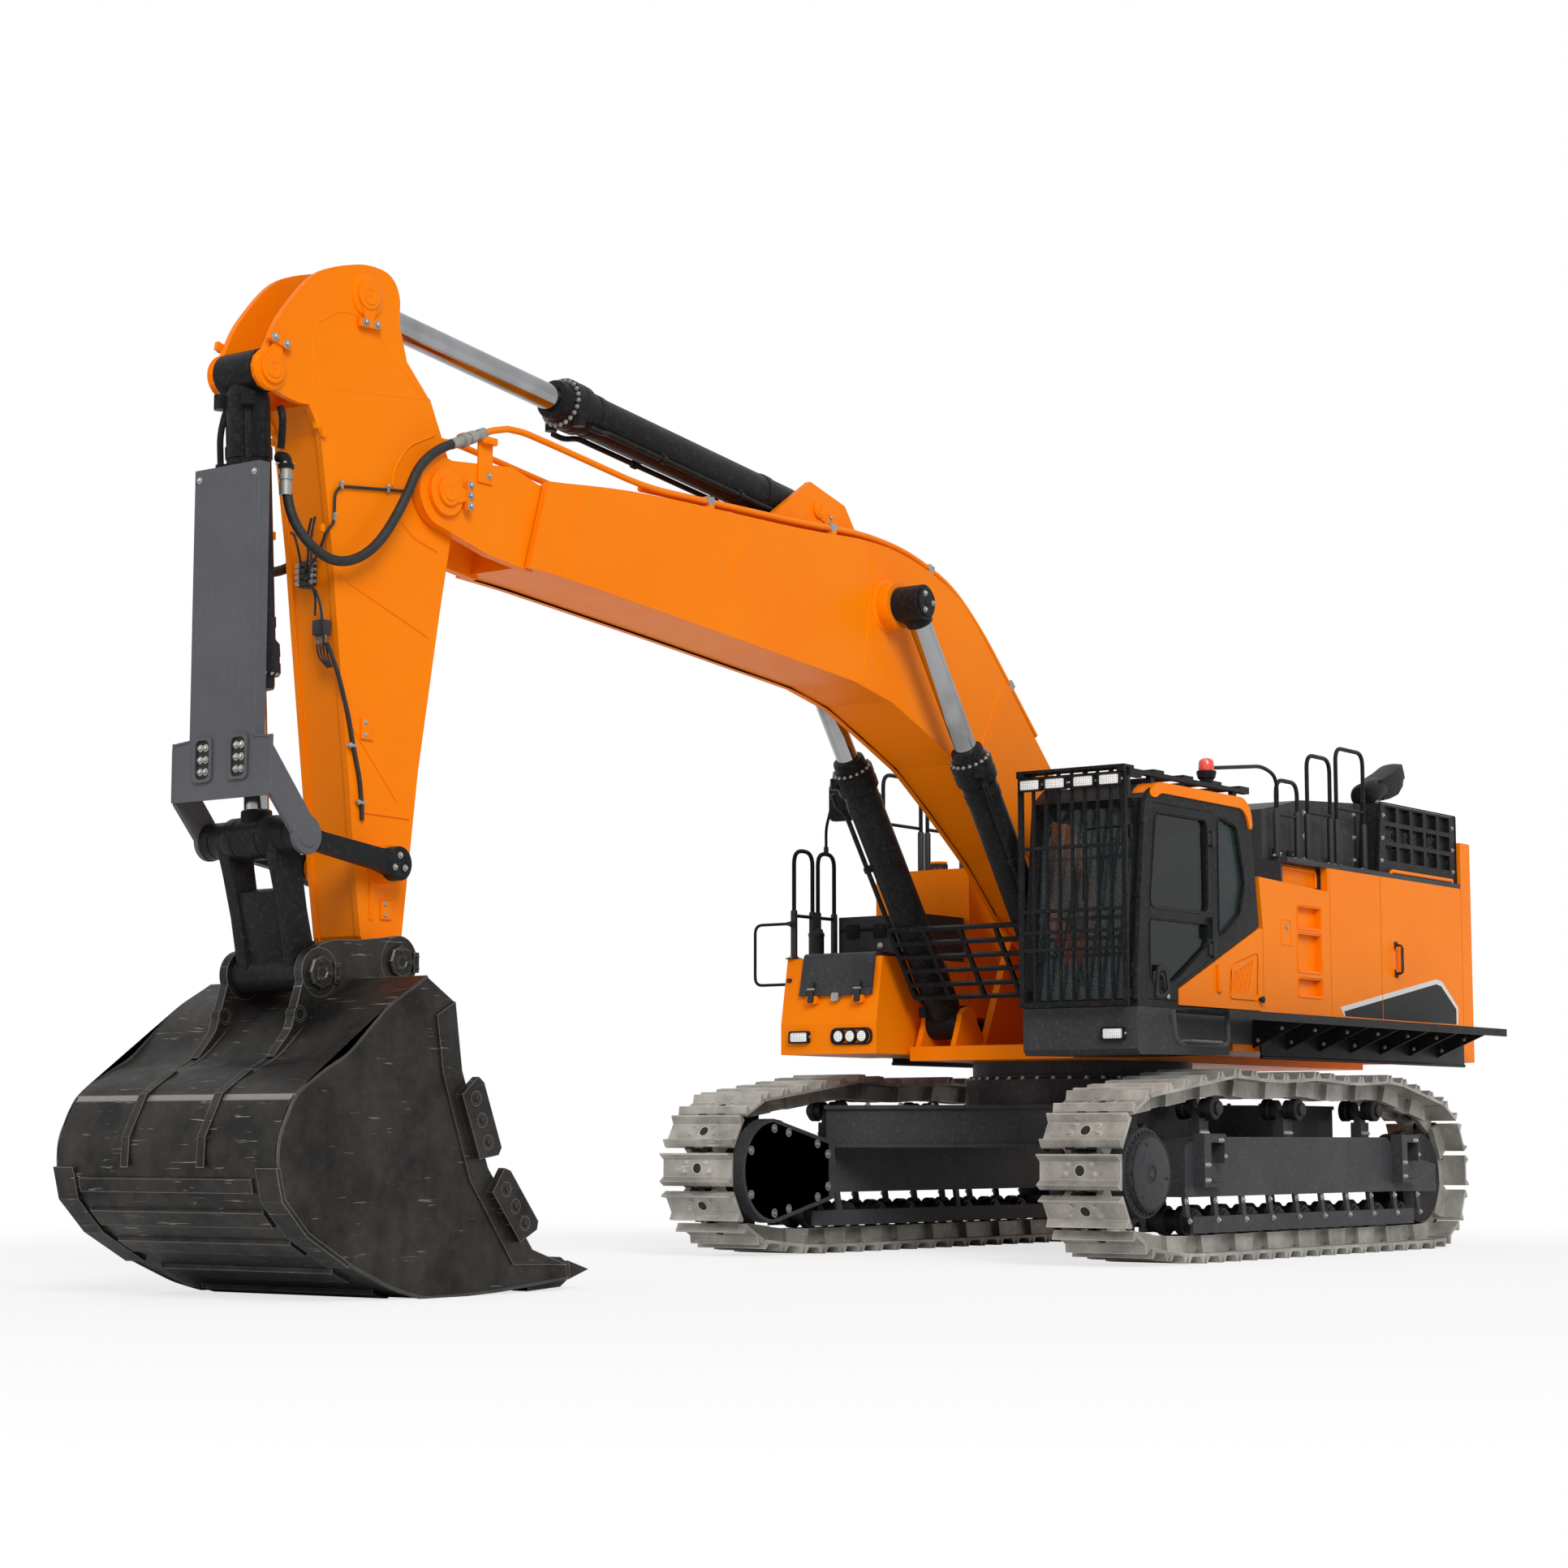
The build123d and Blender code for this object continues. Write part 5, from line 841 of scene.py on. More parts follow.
def toward(start: Flat, end: Flat, along: float, across: float = 0.0) -> Flat:
    """Give the (x, z) point along and to the left of the line between two pins.

    Args:
        start: First pin.
        end: Second pin.
        along: Distance from the first pin.
        across: Distance to the left of the line.

    Returns:
        The point's x and z.
    """
    angle = math.atan2(end[1] - start[1], end[0] - start[0])
    return (
        start[0] + along * math.cos(angle) - across * math.sin(angle),
        start[1] + along * math.sin(angle) + across * math.cos(angle),
    )


def span(start: Flat, end: Flat) -> float:
    """Give the distance between two (x, z) pins."""
    return math.hypot(end[0] - start[0], end[1] - start[1])


def rounded(corners: Outline, radius: float, steps: int = 5) -> Outline:
    """Round the corners of a closed outline.

    Args:
        corners: Corners in order.
        radius: Distance from each corner at which its round begins.
        steps: Segments of each round.

    Returns:
        The rounded outline.
    """
    line = []
    for before, here, after in zip(corners[-1:] + corners[:-1], corners, corners[1:] + corners[:1]):
        here_v, before_v, after_v = Vector(here), Vector(before), Vector(after)
        reach = min(radius, 0.48 * (here_v - before_v).length, 0.48 * (after_v - here_v).length)
        near = here_v + reach * (before_v - here_v).normalized()
        far = here_v + reach * (after_v - here_v).normalized()
        for step in range(steps + 1):
            share = step / steps
            line.append(tuple(near.lerp(here_v, share).lerp(here_v.lerp(far, share), share)))
    return line


def grown(corners: Outline, gap: float) -> Outline:
    """Move each corner of an outline away from its middle.

    Args:
        corners: Corners in order.
        gap: Distance that each corner moves along both axes.

    Returns:
        The larger outline, or a smaller one for a gap under 0.
    """
    u0 = sum(u for u, _ in corners) / len(corners)
    v0 = sum(v for _, v in corners) / len(corners)
    return [(u + math.copysign(gap, u - u0), v + math.copysign(gap, v - v0)) for u, v in corners]


# ---------------------------------------------------------------- undercarriage
@dataclass
class Undercarriage:
    """Tracks, final drives, rollers and swing bearing, with sizes in millimetres."""

    body: str = "undercarriage"
    track_y: float = 1675.0
    frame_out: float = 1900.0
    frame_in: float = 1450.0
    drive: Flat = (2345.0, 645.0)
    hub_r: float = 315.0
    guard_r: float = 395.0
    roller_rear: float = -1900.0
    roller_step: float = 430.0
    roller_z: float = 298.0
    roller_r: float = 107.0
    carriers: tuple[float, ...] = (1160.0, -180.0, -1530.0)
    carrier_z: float = 1111.0
    bearing_r: float = 930.0
    shoe_half: float = 20.0
    pad_area: float = 0.05
    shoe_area: float = 0.13
    shoe_pitch: float = 0.2
    shoe_bolts: Route = ((24.0, -118.0), (24.0, 118.0), (-44.0, -92.0), (-44.0, 92.0))

    def shoes(self, name: str, side: int) -> None:
        """Add the bolts of every shoe of one track, with near-black insets as painted shade for its clean-out
        hole and pin slots.

        Args:
            name: CAD node of the track.
            side: 1 for the left track and -1 for the right one.
        """
        bolts, hole_shade = forms(f"{name}_shoe_bolts {name}_shoe_holes")
        for centre, along, outward in self.shoe_places(name):
            middle = centre / MM
            middle.y = side * self.track_y
            cross = Vector((0, 1, 0))
            face = middle + self.shoe_half * outward
            for forward, out in self.shoe_bolts:
                bolts.bolt(face + (forward - 10) * along + out * cross, outward, 30)
            hole = face - 10 * along
            bolts.ring(hole, hole + 3 * outward, 47, 38, 20)
            # near-black insets paint the shade inside the clean-out hole and the pin slots; nothing is cut
            hole_shade.lathe(hole, hole + outward, [(-2, 38), (1.2, 38)], 20)
            for out in (-88, 88):
                low = face + 112 * along + out * cross
                ring = [low + u * along + v * cross for u, v in ((-26, -36), (22, -36), (22, 36), (-26, 36))]
                hole_shade.skin(
                    [[point - 22 * outward for point in ring], [point + 1.2 * outward for point in ring]]
                )
        finish_all(self.body, {bolts: SHOES, hole_shade: HOLLOW_SHADE})

    def shoe_places(self, name: str) -> list[tuple[Vector, Vector, Vector]]:
        """Find every shoe of a track from the widest faces of its CAD node.

        Args:
            name: CAD node of the track.

        Returns:
            Middle of each shoe's inner face in metres, its direction along the track and its outward one.
        """
        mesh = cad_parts[name].data
        groups: dict[tuple[int, ...], list[bpy.types.MeshPolygon]] = {}
        for face in mesh.polygons:
            if abs(face.normal.y) > 0.01 or face.area < self.pad_area:
                continue
            # faces of one shoe lie in one plane
            plane = (face.normal.x, face.normal.z, face.center.dot(face.normal))
            key = tuple(round(500 * value) for value in plane)
            groups.setdefault(key, []).append(face)
        places = []
        for faces in groups.values():
            if sum(face.area for face in faces) < self.shoe_area:
                continue
            spots = {index for face in faces for index in face.vertices}
            points = [mesh.vertices[index].co for index in spots]
            normal = faces[0].normal.normalized()
            along = Vector((normal.z, 0, -normal.x))
            stations = sorted({round(point.dot(along), 3) for point in points})
            for low, high in zip(stations, stations[1:]):
                if high - low > self.shoe_pitch:
                    base = sum(points, Vector()) / len(points)
                    middle = base + ((low + high) / 2 - base.dot(along)) * along
                    middle.y = 0
                    places.append((middle, -along, -normal))
        return places

    def drive_covers(self, side: int) -> None:
        """Add the round cover of a final drive with its toothed ring, casting marks and filler plug.

        Args:
            side: 1 for the left track and -1 for the right one.
        """
        x, z = self.drive
        y = side * self.frame_out
        out = Vector((0, side, 0))
        base, tip = Vector((x, y, z)), Vector((x, y, z)) + out
        cover = Form(f"final_drive_cover_{hand(side)}")
        cover.lathe(
            base, tip,
            [
                (-180, self.hub_r + 1), (-3, self.hub_r + 1), (1, self.hub_r - 4), (1, 272), (30, 272),
                (44, 264), (50.5, 246), (50.5, 60), (46, 56), (46, 34), (51, 30),
            ],
            72,
        )
        cover.ring(base + 50 * out, base + 54 * out, 74, 60, 48)
        for angle in (35, 48, 150, 215, 330):
            turn = math.radians(angle)
            spot = base + 50 * out + 170 * spoke(turn)
            cover.rod(spot - 34 * spoke(turn + 0.6), spot, 5, 8, 1)
        cover.done(self.body, GREY)
        ring = Form(f"final_drive_bolts_{hand(side)}")
        ring.bolt_circle(base, out, 293, 36, 19, socket=True)
        ring.bolt_circle(base + 50 * out, out, 215, 3, 18, first=20)
        ring.done(self.body, DARK_CAST)

    def guard_bolts(self) -> None:
        """Add rims and sunk bolts to the travel motor guards, and bolts to the covers of the car body."""
        x, z = self.drive
        rim, bolts = forms("motor_guard_rims undercarriage_bolts")
        for side in SIDES:
            y = side * (self.frame_in - 105)
            inward = Vector((0, -side, 0))
            arc = [
                (x + self.guard_r * math.cos(math.radians(a)), z + self.guard_r * math.sin(math.radians(a)))
                for a in range(-90, 91, 6)
            ]
            tail = [(1545, z + 0.55 * self.guard_r), (1545, z - 0.55 * self.guard_r)]
            outer = arc + tail
            inner = [
                (x + 0.93 * (px - x) + (14 if px < 1600 else 0), z + 0.93 * (pz - z)) for px, pz in outer
            ]
            rings = [
                [Vector((px, y + inward.y * high, pz)) for px, pz in line]
                for line, high in ((outer, -104), (outer, 9), (inner, 9), (inner, 0))
            ]
            rim.skin(rings)
            for px, pz in (
                (2345, 965), (2160, 935), (1780, 850), (1640, 770), (2640, 800), (2640, 470), (2345, 325),
                (2160, 355), (1780, 440), (1640, 520),
            ):
                seat = Vector((px, y + inward.y * 9, pz))
                bolts.ring(seat, seat + 6 * inward, 34, 24, 20)
                bolts.bolt(seat - 4 * inward, inward, 24, True)
            for x_side in SIDES:
                for along in range(4):
                    spot = Vector((x_side * (760 + 180 * along), side * (620 + 190 * along), 1150))
                    bolts.bolt(spot, (0, 0, 1), 30)
        finish_all(self.body, {rim: GREY, bolts: BOLT_STEEL})

    def swing_ring(self) -> None:
        """Replace the swing bearing with round rings and their two rows of bolts."""
        ring = Form("swing_ring")
        ring.ring((0, 0, 1270), (0, 0, 1350), self.bearing_r - 8, 700, 96)
        ring.ring((0, 0, 1350), (0, 0, 1489), self.bearing_r - 55, 700, 96)
        ring.lathe(
            (0, 0, 1362), (0, 0, 1400),
            [(0, 800), (0, self.bearing_r - 30), (18, self.bearing_r - 30), (24, 800)],
            96, True,
        )
        ring.done(self.body, GREY, "swing_bearing")
        bolts = Form("swing_ring_bolts")
        bolts.bolt_circle((0, 0, 1350), (0, 0, 1), self.bearing_r - 32, 44, 30)
        bolts.done(self.body, BOLT_STEEL)

    def rollers(self, side: int) -> None:
        """Replace the rollers of one track with turned ones on their end caps.

        Args:
            side: 1 for the left track and -1 for the right one.
        """
        name = hand(side)
        form = Form(f"turned_rollers_{name}")
        y = side * self.track_y
        for index in range(9):
            x = self.roller_rear + index * self.roller_step
            r = self.roller_r
            profile = [
                (0, 62), (20, 66), (22, 84), (44, 84), (46, r - 18), (90, r - 14), (92, r), (150, r),
                (154, r - 30), (246, r - 30), (250, r), (308, r), (310, r - 14), (354, r - 18), (356, 84),
                (378, 84), (380, 66), (400, 62),
            ]
            form.lathe((x, y - 200, self.roller_z), (x, y + 200, self.roller_z), profile, 36)
        for x in self.carriers:
            z = self.carrier_z
            near_side = [(0, 70), (8, 84), (60, 84), (66, 74), (118, 74), (125, 60)]
            form.lathe((x, y - 155, z), (x, y - 30, z), near_side, 36)
            far_side = [(0, 60), (7, 74), (59, 74), (65, 84), (117, 84), (125, 70)]
            form.lathe((x, y + 30, z), (x, y + 155, z), far_side, 36)
            cap = [(-2, 52), (24, 52), (30, 44), (30, 30), (34, 26)]
            form.lathe((x, y + side * 155, z), (x, y + side * 200, z), cap, 32)
        form.done(self.body, DARK_CAST, f"rollers_{name}")
        bolts = Form(f"roller_bolts_{name}")
        out = Vector((0, side, 0))
        for index in range(10):
            x = self.roller_rear + (index - 0.5) * self.roller_step + 5
            bolts.bolt(Vector((x + 12, side * self.frame_out, 440)), out, 26)
            bolts.bolt(Vector((x - 38, side * self.frame_out, 300)), out, 26)
        for x in self.carriers:
            for shift in (-50, -17, 17, 50):
                bolts.bolt(Vector((x + shift, y + side * 47, 930)), out, 22)
        bolts.done(self.body, BOLT_STEEL)

    def idlers(self, side: int) -> None:
        """Replace one idler with a turned wheel.

        Args:
            side: 1 for the left track and -1 for the right one.
        """
        name = hand(side)
        low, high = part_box(f"idler_{name}")
        x, z = (low[0] + high[0]) / 2 / MM, (low[2] + high[2]) / 2 / MM
        rim = (high[2] - low[2]) / 2 / MM
        y = side * self.track_y
        wheel = Form(f"turned_idler_{name}")
        r = rim - 25
        profile = [
            (-200, 60), (-200, 88), (-158, 90), (-155, r - 70), (-150, r), (-46, r), (-42, rim), (42, rim),
            (46, r), (150, r), (155, r - 70), (158, 90), (200, 88), (200, 60),
        ]
        wheel.lathe((x, y, z), (x, y + 1, z), profile, 64)
        wheel.done(self.body, DARK_CAST, f"idler_{name}")

    def steps(self) -> None:
        """Add bolts, treads and inner ribs to the foot brackets beside the tracks."""
        bolts, treads = forms("step_bracket_bolts step_treads")
        for side in SIDES:
            out = Vector((0, side, 0))
            y = side * (self.frame_out + 95)
            for x in (1330, -1960):
                for px, pz in (
                    (265, 700), (305, 700), (265, 590), (305, 590), (60, 875), (100, 875), (15, 760)
                ):
                    bolts.bolt(Vector((x + px, y, pz)), out, 20)
                for index in range(9):
                    low = x + 12 + index * 35
                    treads.box((low, low + 14), limits(y - side * 90, y - side * 5), (570, 574))
                    treads.box((low, low + 14), limits(y - side * 90, y - side * 5), (920, 924))
        finish_all(self.body, {bolts: BOLT_STEEL, treads: GREY})

    def build(self) -> None:
        """Build every fitting of the undercarriage."""
        for side in (1, -1):
            self.shoes(f"track_{hand(side)}", side)
            self.drive_covers(side)
            self.rollers(side)
            self.idlers(side)
        self.guard_bolts()
        self.swing_ring()
        self.steps()


# ---------------------------------------------------------------- hydraulic cylinders
@dataclass(frozen=True)
class Cylinder:
    """One hydraulic cylinder between two pins in the (x, z) plane, with sizes in millimetres."""

    foot: Flat
    top: Flat
    radius: float
    rod_radius: float
    barrel: float
    eye_half: float
    rod_eye_half: float
    rod_eye_radius: float
    barrel_body: str
    rod_body: str
    y: float = 0.0
    flange_bolts: int = 18
    port_side: float = 1.0

    def point(self, along: float, across: float = 0.0, y: float = 0.0) -> Vector:
        """Give a point along the cylinder from its foot pin, across it and off its middle in y."""
        x, z = toward(self.foot, self.top, along, across)
        return Vector((x, self.y + y, z))

    def add_barrel(self, form: Form) -> None:
        """Add the barrel, its foot eye, its collars and its gland.

        Args:
            form: Piece that the barrel belongs to.
        """
        r, end = self.radius, self.barrel
        start, ahead = self.point(0), self.point(1)
        form.lathe(
            start,
            ahead,
            [
                (60, r * 0.72), (120, r * 0.95), (150, r), (430, r), (432, r + 7), (500, r + 7), (502, r),
                (end - 420, r), (end - 416, r + 6), (end - 360, r + 6), (end - 356, r + 1),
                (end - 290, r + 1), (end - 260, r + 24), (end - 192, r + 26), (end - 188, r + 22),
                (end - 150, r + 22), (end - 148, r + 26), (end - 94, r + 26), (end - 90, r + 22),
                (end - 90, r - 8), (end - 20, r - 10), (end - 2, r - 16), (end + 4, self.rod_radius + 14),
                (end + 4, self.rod_radius + 1), (end - 30, self.rod_radius + 1),
            ],
            64,
        )
        form.ring(self.point(0, y=-self.eye_half), self.point(0, y=self.eye_half), r - 1, 48, 48)
        form.lathe(
            self.point(0, y=-self.eye_half - 6), self.point(0, y=self.eye_half + 6),
            [(0, 40), (0, 58), (2 * self.eye_half + 12, 58), (2 * self.eye_half + 12, 40)],
            32,
        )

    def add_bolts(self, form: Form) -> None:
        """Add the ring of gland bolts.

        Args:
            form: Piece that the bolts belong to.
        """
        axis = (self.point(1) - self.point(0)).normalized()
        form.bolt_circle(
            self.point(self.barrel - 90), axis, self.radius + 8, self.flange_bolts, 19, 7, socket=True
        )

    def add_rod(self, form: Form) -> None:
        """Add the polished rod, long enough to stay in its barrel at every pose.

        Args:
            form: Piece that the rod belongs to.
        """
        whole = span(self.foot, self.top)
        start = self.point(whole - self.barrel + 50)
        form.rod(start, self.point(whole - self.rod_eye_radius * 0.75), self.rod_radius, 64)

    def add_eye(self, form: Form) -> None:
        """Add the rod's eye and the wiper collar behind it.

        Args:
            form: Piece that the eye belongs to.
        """
        whole = span(self.foot, self.top)
        half, r = self.rod_eye_half, self.rod_eye_radius
        form.lathe(
            self.point(whole, y=-half), self.point(whole, y=half),
            [(0, 50), (0, r - 6), (6, r), (2 * half - 6, r), (2 * half, r - 6), (2 * half, 50)], 56,
        )
        form.lathe(
            self.point(whole), self.point(whole - 1),
            [(r * 0.55, self.rod_radius + 22), (r + 30, self.rod_radius + 16), (r + 40, self.rod_radius)], 48,
        )

    def add_side_pipe(self, form: Form, side: int) -> None:
        """Add the steel pipe that runs along the barrel from its foot port to its gland port.

        Args:
            form: Piece that the pipe belongs to.
            side: 1 for the pipe on the machine's left of the barrel, -1 for its right.
        """
        out = self.radius + 32
        y = side * out * 0.72
        over = self.port_side * out * 0.7
        stops = [
            (170, 0.55), (230, 0.8), (360, 1.0), (self.barrel - 420, 1.0), (self.barrel - 330, 1.25),
            (self.barrel - 215, 1.25),
        ]
        form.pipe([self.point(along, over * share, y * share) for along, share in stops], 19, 60)
        for along in (self.barrel * 0.3, self.barrel * 0.62):
            low = self.point(along - 22, over * 0.72, y * 0.72)
            form.rod(low, self.point(along + 22, over * 0.72, y * 0.72), 34, 14)
            form.rod(self.point(along - 20, over, y), self.point(along + 20, over, y), 30, 14)
        for along in (170, self.barrel - 150):
            middle = self.point(along, over * 0.95, y * 0.95)
            form.rod(middle - Vector((0, 0, 42)), middle + Vector((0, 0, 42)), 44, 6)


@dataclass
class Hydraulics:
    """The four cylinders that work the boom, arm and bucket."""

    boom: tuple[Cylinder, ...] = tuple(
        Cylinder(
            foot=(1130.0, 1790.0),
            top=BOOM_ROD_PIN,
            radius=132.0,
            rod_radius=82.0,
            barrel=2380.0,
            eye_half=139.0,
            rod_eye_half=110.0,
            rod_eye_radius=130.0,
            barrel_body="boom_barrels",
            rod_body="boom_rods",
            y=y,
            port_side=-1.0,
        )
        for y in (530.0, -530.0)
    )
    arm: Cylinder = Cylinder(
        foot=ARM_BARREL_PIN,
        top=ARM_ROD_PIN,
        radius=142.0,
        rod_radius=86.0,
        barrel=2700.0,
        eye_half=149.0,
        rod_eye_half=149.0,
        rod_eye_radius=140.0,
        barrel_body="arm_barrel",
        rod_body="arm_rod",
        flange_bolts=22,
        port_side=-1.0,
    )
    bucket: Cylinder = Cylinder(
        foot=BUCKET_BARREL_PIN,
        top=LINK_TOP,
        radius=128.0,
        rod_radius=72.0,
        barrel=1830.0,
        eye_half=149.0,
        rod_eye_half=100.0,
        rod_eye_radius=125.0,
        barrel_body="bucket_barrel",
        rod_body="bucket_rod",
    )

    def group(self, name: str, cylinders: tuple[Cylinder, ...], barrel_node: str, rod_node: str) -> None:
        """Build cylinders that share one pair of CAD nodes.

        Args:
            name: Start of the pieces' names.
            cylinders: Cylinders in the group.
            barrel_node: CAD node of the barrels.
            rod_node: CAD node of the rods.
        """
        barrels, bolts, rods, eyes = forms(f"{name}_barrels {name}_gland_bolts {name}_rods {name}_rod_eyes")
        for cylinder in cylinders:
            cylinder.add_barrel(barrels)
            cylinder.add_bolts(bolts)
            cylinder.add_rod(rods)
            cylinder.add_eye(eyes)
            sides = (1, -1) if cylinder.y == 0 else (math.copysign(1, cylinder.y),)
            for side in sides:
                cylinder.add_side_pipe(barrels, int(side))
        first = cylinders[0]
        barrels.done(first.barrel_body, BLACK, barrel_node)
        bolts.done(first.barrel_body, BOLT_STEEL)
        rods.done(first.rod_body, CHROME, rod_node)
        eyes.done(first.rod_body, BLACK)

    def build(self) -> None:
        """Build all four cylinders."""
        self.group("boom_cylinder", self.boom, "boom_cylinder_barrels", "boom_cylinder_rods")
        self.group("arm_cylinder", (self.arm,), "arm_cylinder_barrel", "arm_cylinder_rod")
        self.group("bucket_cylinder", (self.bucket,), "bucket_cylinder_barrel", "bucket_cylinder_rod")


# ---------------------------------------------------------------- boom, arm and bucket
@dataclass
class PinCap:
    """Round cover of a pin with its lock plate, on the outer face of a plate."""

    pin: Flat
    y: float
    radius: float
    lock: float
    bolts: int = 2

    def add(self, cover: Form, bolts: Form) -> None:
        """Add the cover, the lock plate in its direction and the plate's bolts.

        Args:
            cover: Piece that the cover belongs to.
            bolts: Piece that the bolts belong to.
        """
        side = math.copysign(1, self.y)
        out = Vector((0, side, 0))
        base = Vector((self.pin[0], self.y, self.pin[1]))
        r = self.radius
        cover.lathe(
            base, base + out,
            [
                (-4, r), (16, r), (20, r - 5), (20, r * 0.68), (26, r * 0.64), (26, r * 0.4), (22, r * 0.36),
                (22, 8), (26, 6),
            ],
            48,
        )
        turn = math.radians(self.lock)
        along = spoke(turn)
        across = Vector((-along.z, 0, along.x))
        neck = [(0.55 * r, 0.75 * r), (1.75 * r, 0.38 * r), (1.75 * r, -0.38 * r), (0.55 * r, -0.75 * r)]
        bar = rect(1.7 * r, 2.25 * r, r, -r)
        for corners, low, high in ((neck, -2, 12), (bar, -2, 26)):
            cover.skin(
                [[base + u * along + v * across + height * out for u, v in corners] for height in (low, high)]
            )
        for index in range(self.bolts):
            shift = (index - (self.bolts - 1) / 2) * 1.1 * r * (2 / self.bolts)
            bolts.bolt(base + 1.97 * r * along + shift * across + 26 * out, out, 0.34 * r)


@dataclass
class Boom:
    """Boss rings, pin covers, welds, pipes and clamps of the boom, with sizes in millimetres."""

    body: str = "boom_structure"
    foot: Flat = BOOM_FOOT
    tip: Flat = BOOM_TIP
    cylinder_pin: Flat = BOOM_ROD_PIN
    arm_cylinder_pin: Flat = ARM_BARREL_PIN
    half: float = 308.0
    length: float = BOOM_LENGTH
    pipe_ys: Flat = (228.0, 280.0)
    pipe_r: float = 21.0
    clamp_shares: tuple[float, ...] = (0.22, 0.377, 0.53, 0.7)
    top_line: Route = (
        (0.16, 1142), (0.28, 1610), (0.339, 1765), (0.415, 1760), (0.485, 1640), (0.582, 1365), (0.782, 840),
    )
    seams: tuple[Route, ...] = (
        ((0.235, 1380), (0.262, 520)),
        ((0.47, 1640), (0.452, 640)),
        ((0.655, 1155), (0.66, 310)),
        ((0.86, 590), (0.862, -30)),
    )

    def at(self, share: float, across: float) -> Flat:
        """Give the (x, z) point at a share of the boom's length, over its pin line."""
        return toward(self.foot, self.tip, share * self.length, across)

    def top_at(self, share: float) -> Flat:
        """Give the boom's top at a share of its length.

        Args:
            share: Share of the boom's length, within the top line.

        Returns:
            Height over the pin line and slope above the ground in radians.
        """
        angle = math.atan2(self.tip[1] - self.foot[1], self.tip[0] - self.foot[0])
        pairs = zip(self.top_line, self.top_line[1:])
        (low, low_h), (high, high_h) = next(pair for pair in pairs if pair[0][0] <= share < pair[1][0])
        height = low_h + (high_h - low_h) * (share - low) / (high - low)
        return (height, math.atan2(high_h - low_h, (high - low) * self.length) + angle)

    def bosses(self) -> None:
        """Cover the boom's faceted bosses with turned ones and add the pins' covers."""
        rings, covers, bolts = forms("boom_bosses boom_pin_covers boom_pin_bolts")
        for side in SIDES:
            x, z = self.foot
            rings.lathe(
                (x, side * 200, z), (x, side * 309, z), [(0, 231), (106, 231), (109, 228), (109, 60)], 64
            )
            x, z = self.tip
            rings.ring((x, side * 197.5, z), (x, side * 260.5, z), 216, 70, 72)
            rings.lathe(
                (x, side * 255, z), (x, side * 300, z), [(0, 146), (33, 146), (36, 143), (36, 60)], 56
            )
            x, z = self.cylinder_pin
            rings.lathe(
                (x, side * 300, z), (x, side * 420, z),
                [(0, 196), (14, 192), (26, 172), (112, 171), (119.5, 166), (119.5, 60)],
                64,
            )
            x, z = self.arm_cylinder_pin
            rings.ring((x, side * 149.5, z), (x, side * 195.5, z), 151, 50, 56)
            PinCap(self.tip, side * 291, 88, 180, 3).add(covers, bolts)
            PinCap(self.arm_cylinder_pin, side * 195, 62, 215, 2).add(covers, bolts)
        finish_all(self.body, {rings: ORANGE, covers: ORANGE, bolts: BOLT_STEEL})
        caps, cap_bolts = forms("boom_cylinder_pin_covers boom_cylinder_pin_bolts")
        for side in SIDES:
            x, z = self.cylinder_pin
            base, out = Vector((x, side * 640, z)), Vector((0, side, 0))
            caps.lathe(base, base + out, [(-4, 104), (14, 104), (20, 98), (20, 30), (26, 26)], 48)
            cap_bolts.bolt_circle(base + 20 * out, out, 68, 3, 24, 30)
        finish_all("boom_rods", {caps: BLACK, cap_bolts: BOLT_STEEL})

    def welds(self) -> None:
        """Add the weld beads over the boom's side plates."""
        beads = Form("boom_weld_beads")
        for side in SIDES:
            y = side * (self.half + 1)
            for line in self.seams:
                beads.pipe([(x, y, z) for x, z in (self.at(*p) for p in line)], 7, sides=8)
            edge = [self.at(share, height - 16) for share, height in self.top_line]
            beads.pipe([(x, side * 262, z) for x, z in edge], 9, 200, 8)
        beads.done(self.body, ORANGE)

    def pipes(self) -> None:
        """Replace the square CAD pipes with round ones, and add their clamps, couplings and bolts."""
        pipes, clamps, steel, bolts = forms(
            "boom_oil_pipes boom_pipe_clamps boom_pipe_couplings boom_pipe_bolts"
        )
        for side in SIDES:
            for y in self.pipe_ys:
                route = [self.at(share, height + 52) for share, height in self.top_line]
                if y == self.pipe_ys[1]:
                    route += [(6880, 5230), (7180, 5262), (7330, 5255)]
                pipes.pipe([(x, side * y, z) for x, z in route], self.pipe_r, 260, 16)
            start, ahead = Vector((7850, side * 288, 5062)), Vector((8095, side * 288, 4960))
            back = (start - ahead).normalized()
            pipes.pipe(
                [Vector((7330, side * 280, 5255)), start + 400 * back, start + 330 * back],
                self.pipe_r, 50, 16,
            )
            steel.lathe(
                start + 260 * back, start,
                [
                    (-60, 26), (-60, 36), (0, 36), (4, 28), (40, 28), (44, 40), (92, 40), (96, 30), (120, 30),
                    (124, 46), (160, 46), (164, 33), (259, 33),
                ],
                28,
            )
            steel.bolt_circle(start + 118 * back, -back, 40, 4, 15, 45)
            clamps.box((7455, 7585), limits(side * 260.5, side * 274), (4880, 5160), 3)
            clamps.box((7455, 7585), limits(side * 262, side * 316), (5120, 5165), 6)
            bolts.bolt((7490, side * 275, 4930), (0, side, 0), 24)
            for share in self.clamp_shares:
                height, slope = self.top_at(share)
                x, z = self.at(share, height)
                along = spoke(slope)
                rise = Vector((-along.z, 0, along.x))
                base = Vector((x, 0, z))
                for low, high, half, form in ((0, 26, 30, clamps), (27, 80, 34, steel)):
                    ring = [
                        base + u * along + low * rise + Vector((0, side * v, 0))
                        for u, v in ((-half, 196), (half, 196), (half, 306), (-half, 306))
                    ]
                    form.skin([ring, [point + (high - low) * rise for point in ring]])
                bolts.bolt(base + 80 * rise + Vector((0, side * 254, 0)) - 14 * along, rise, 16)
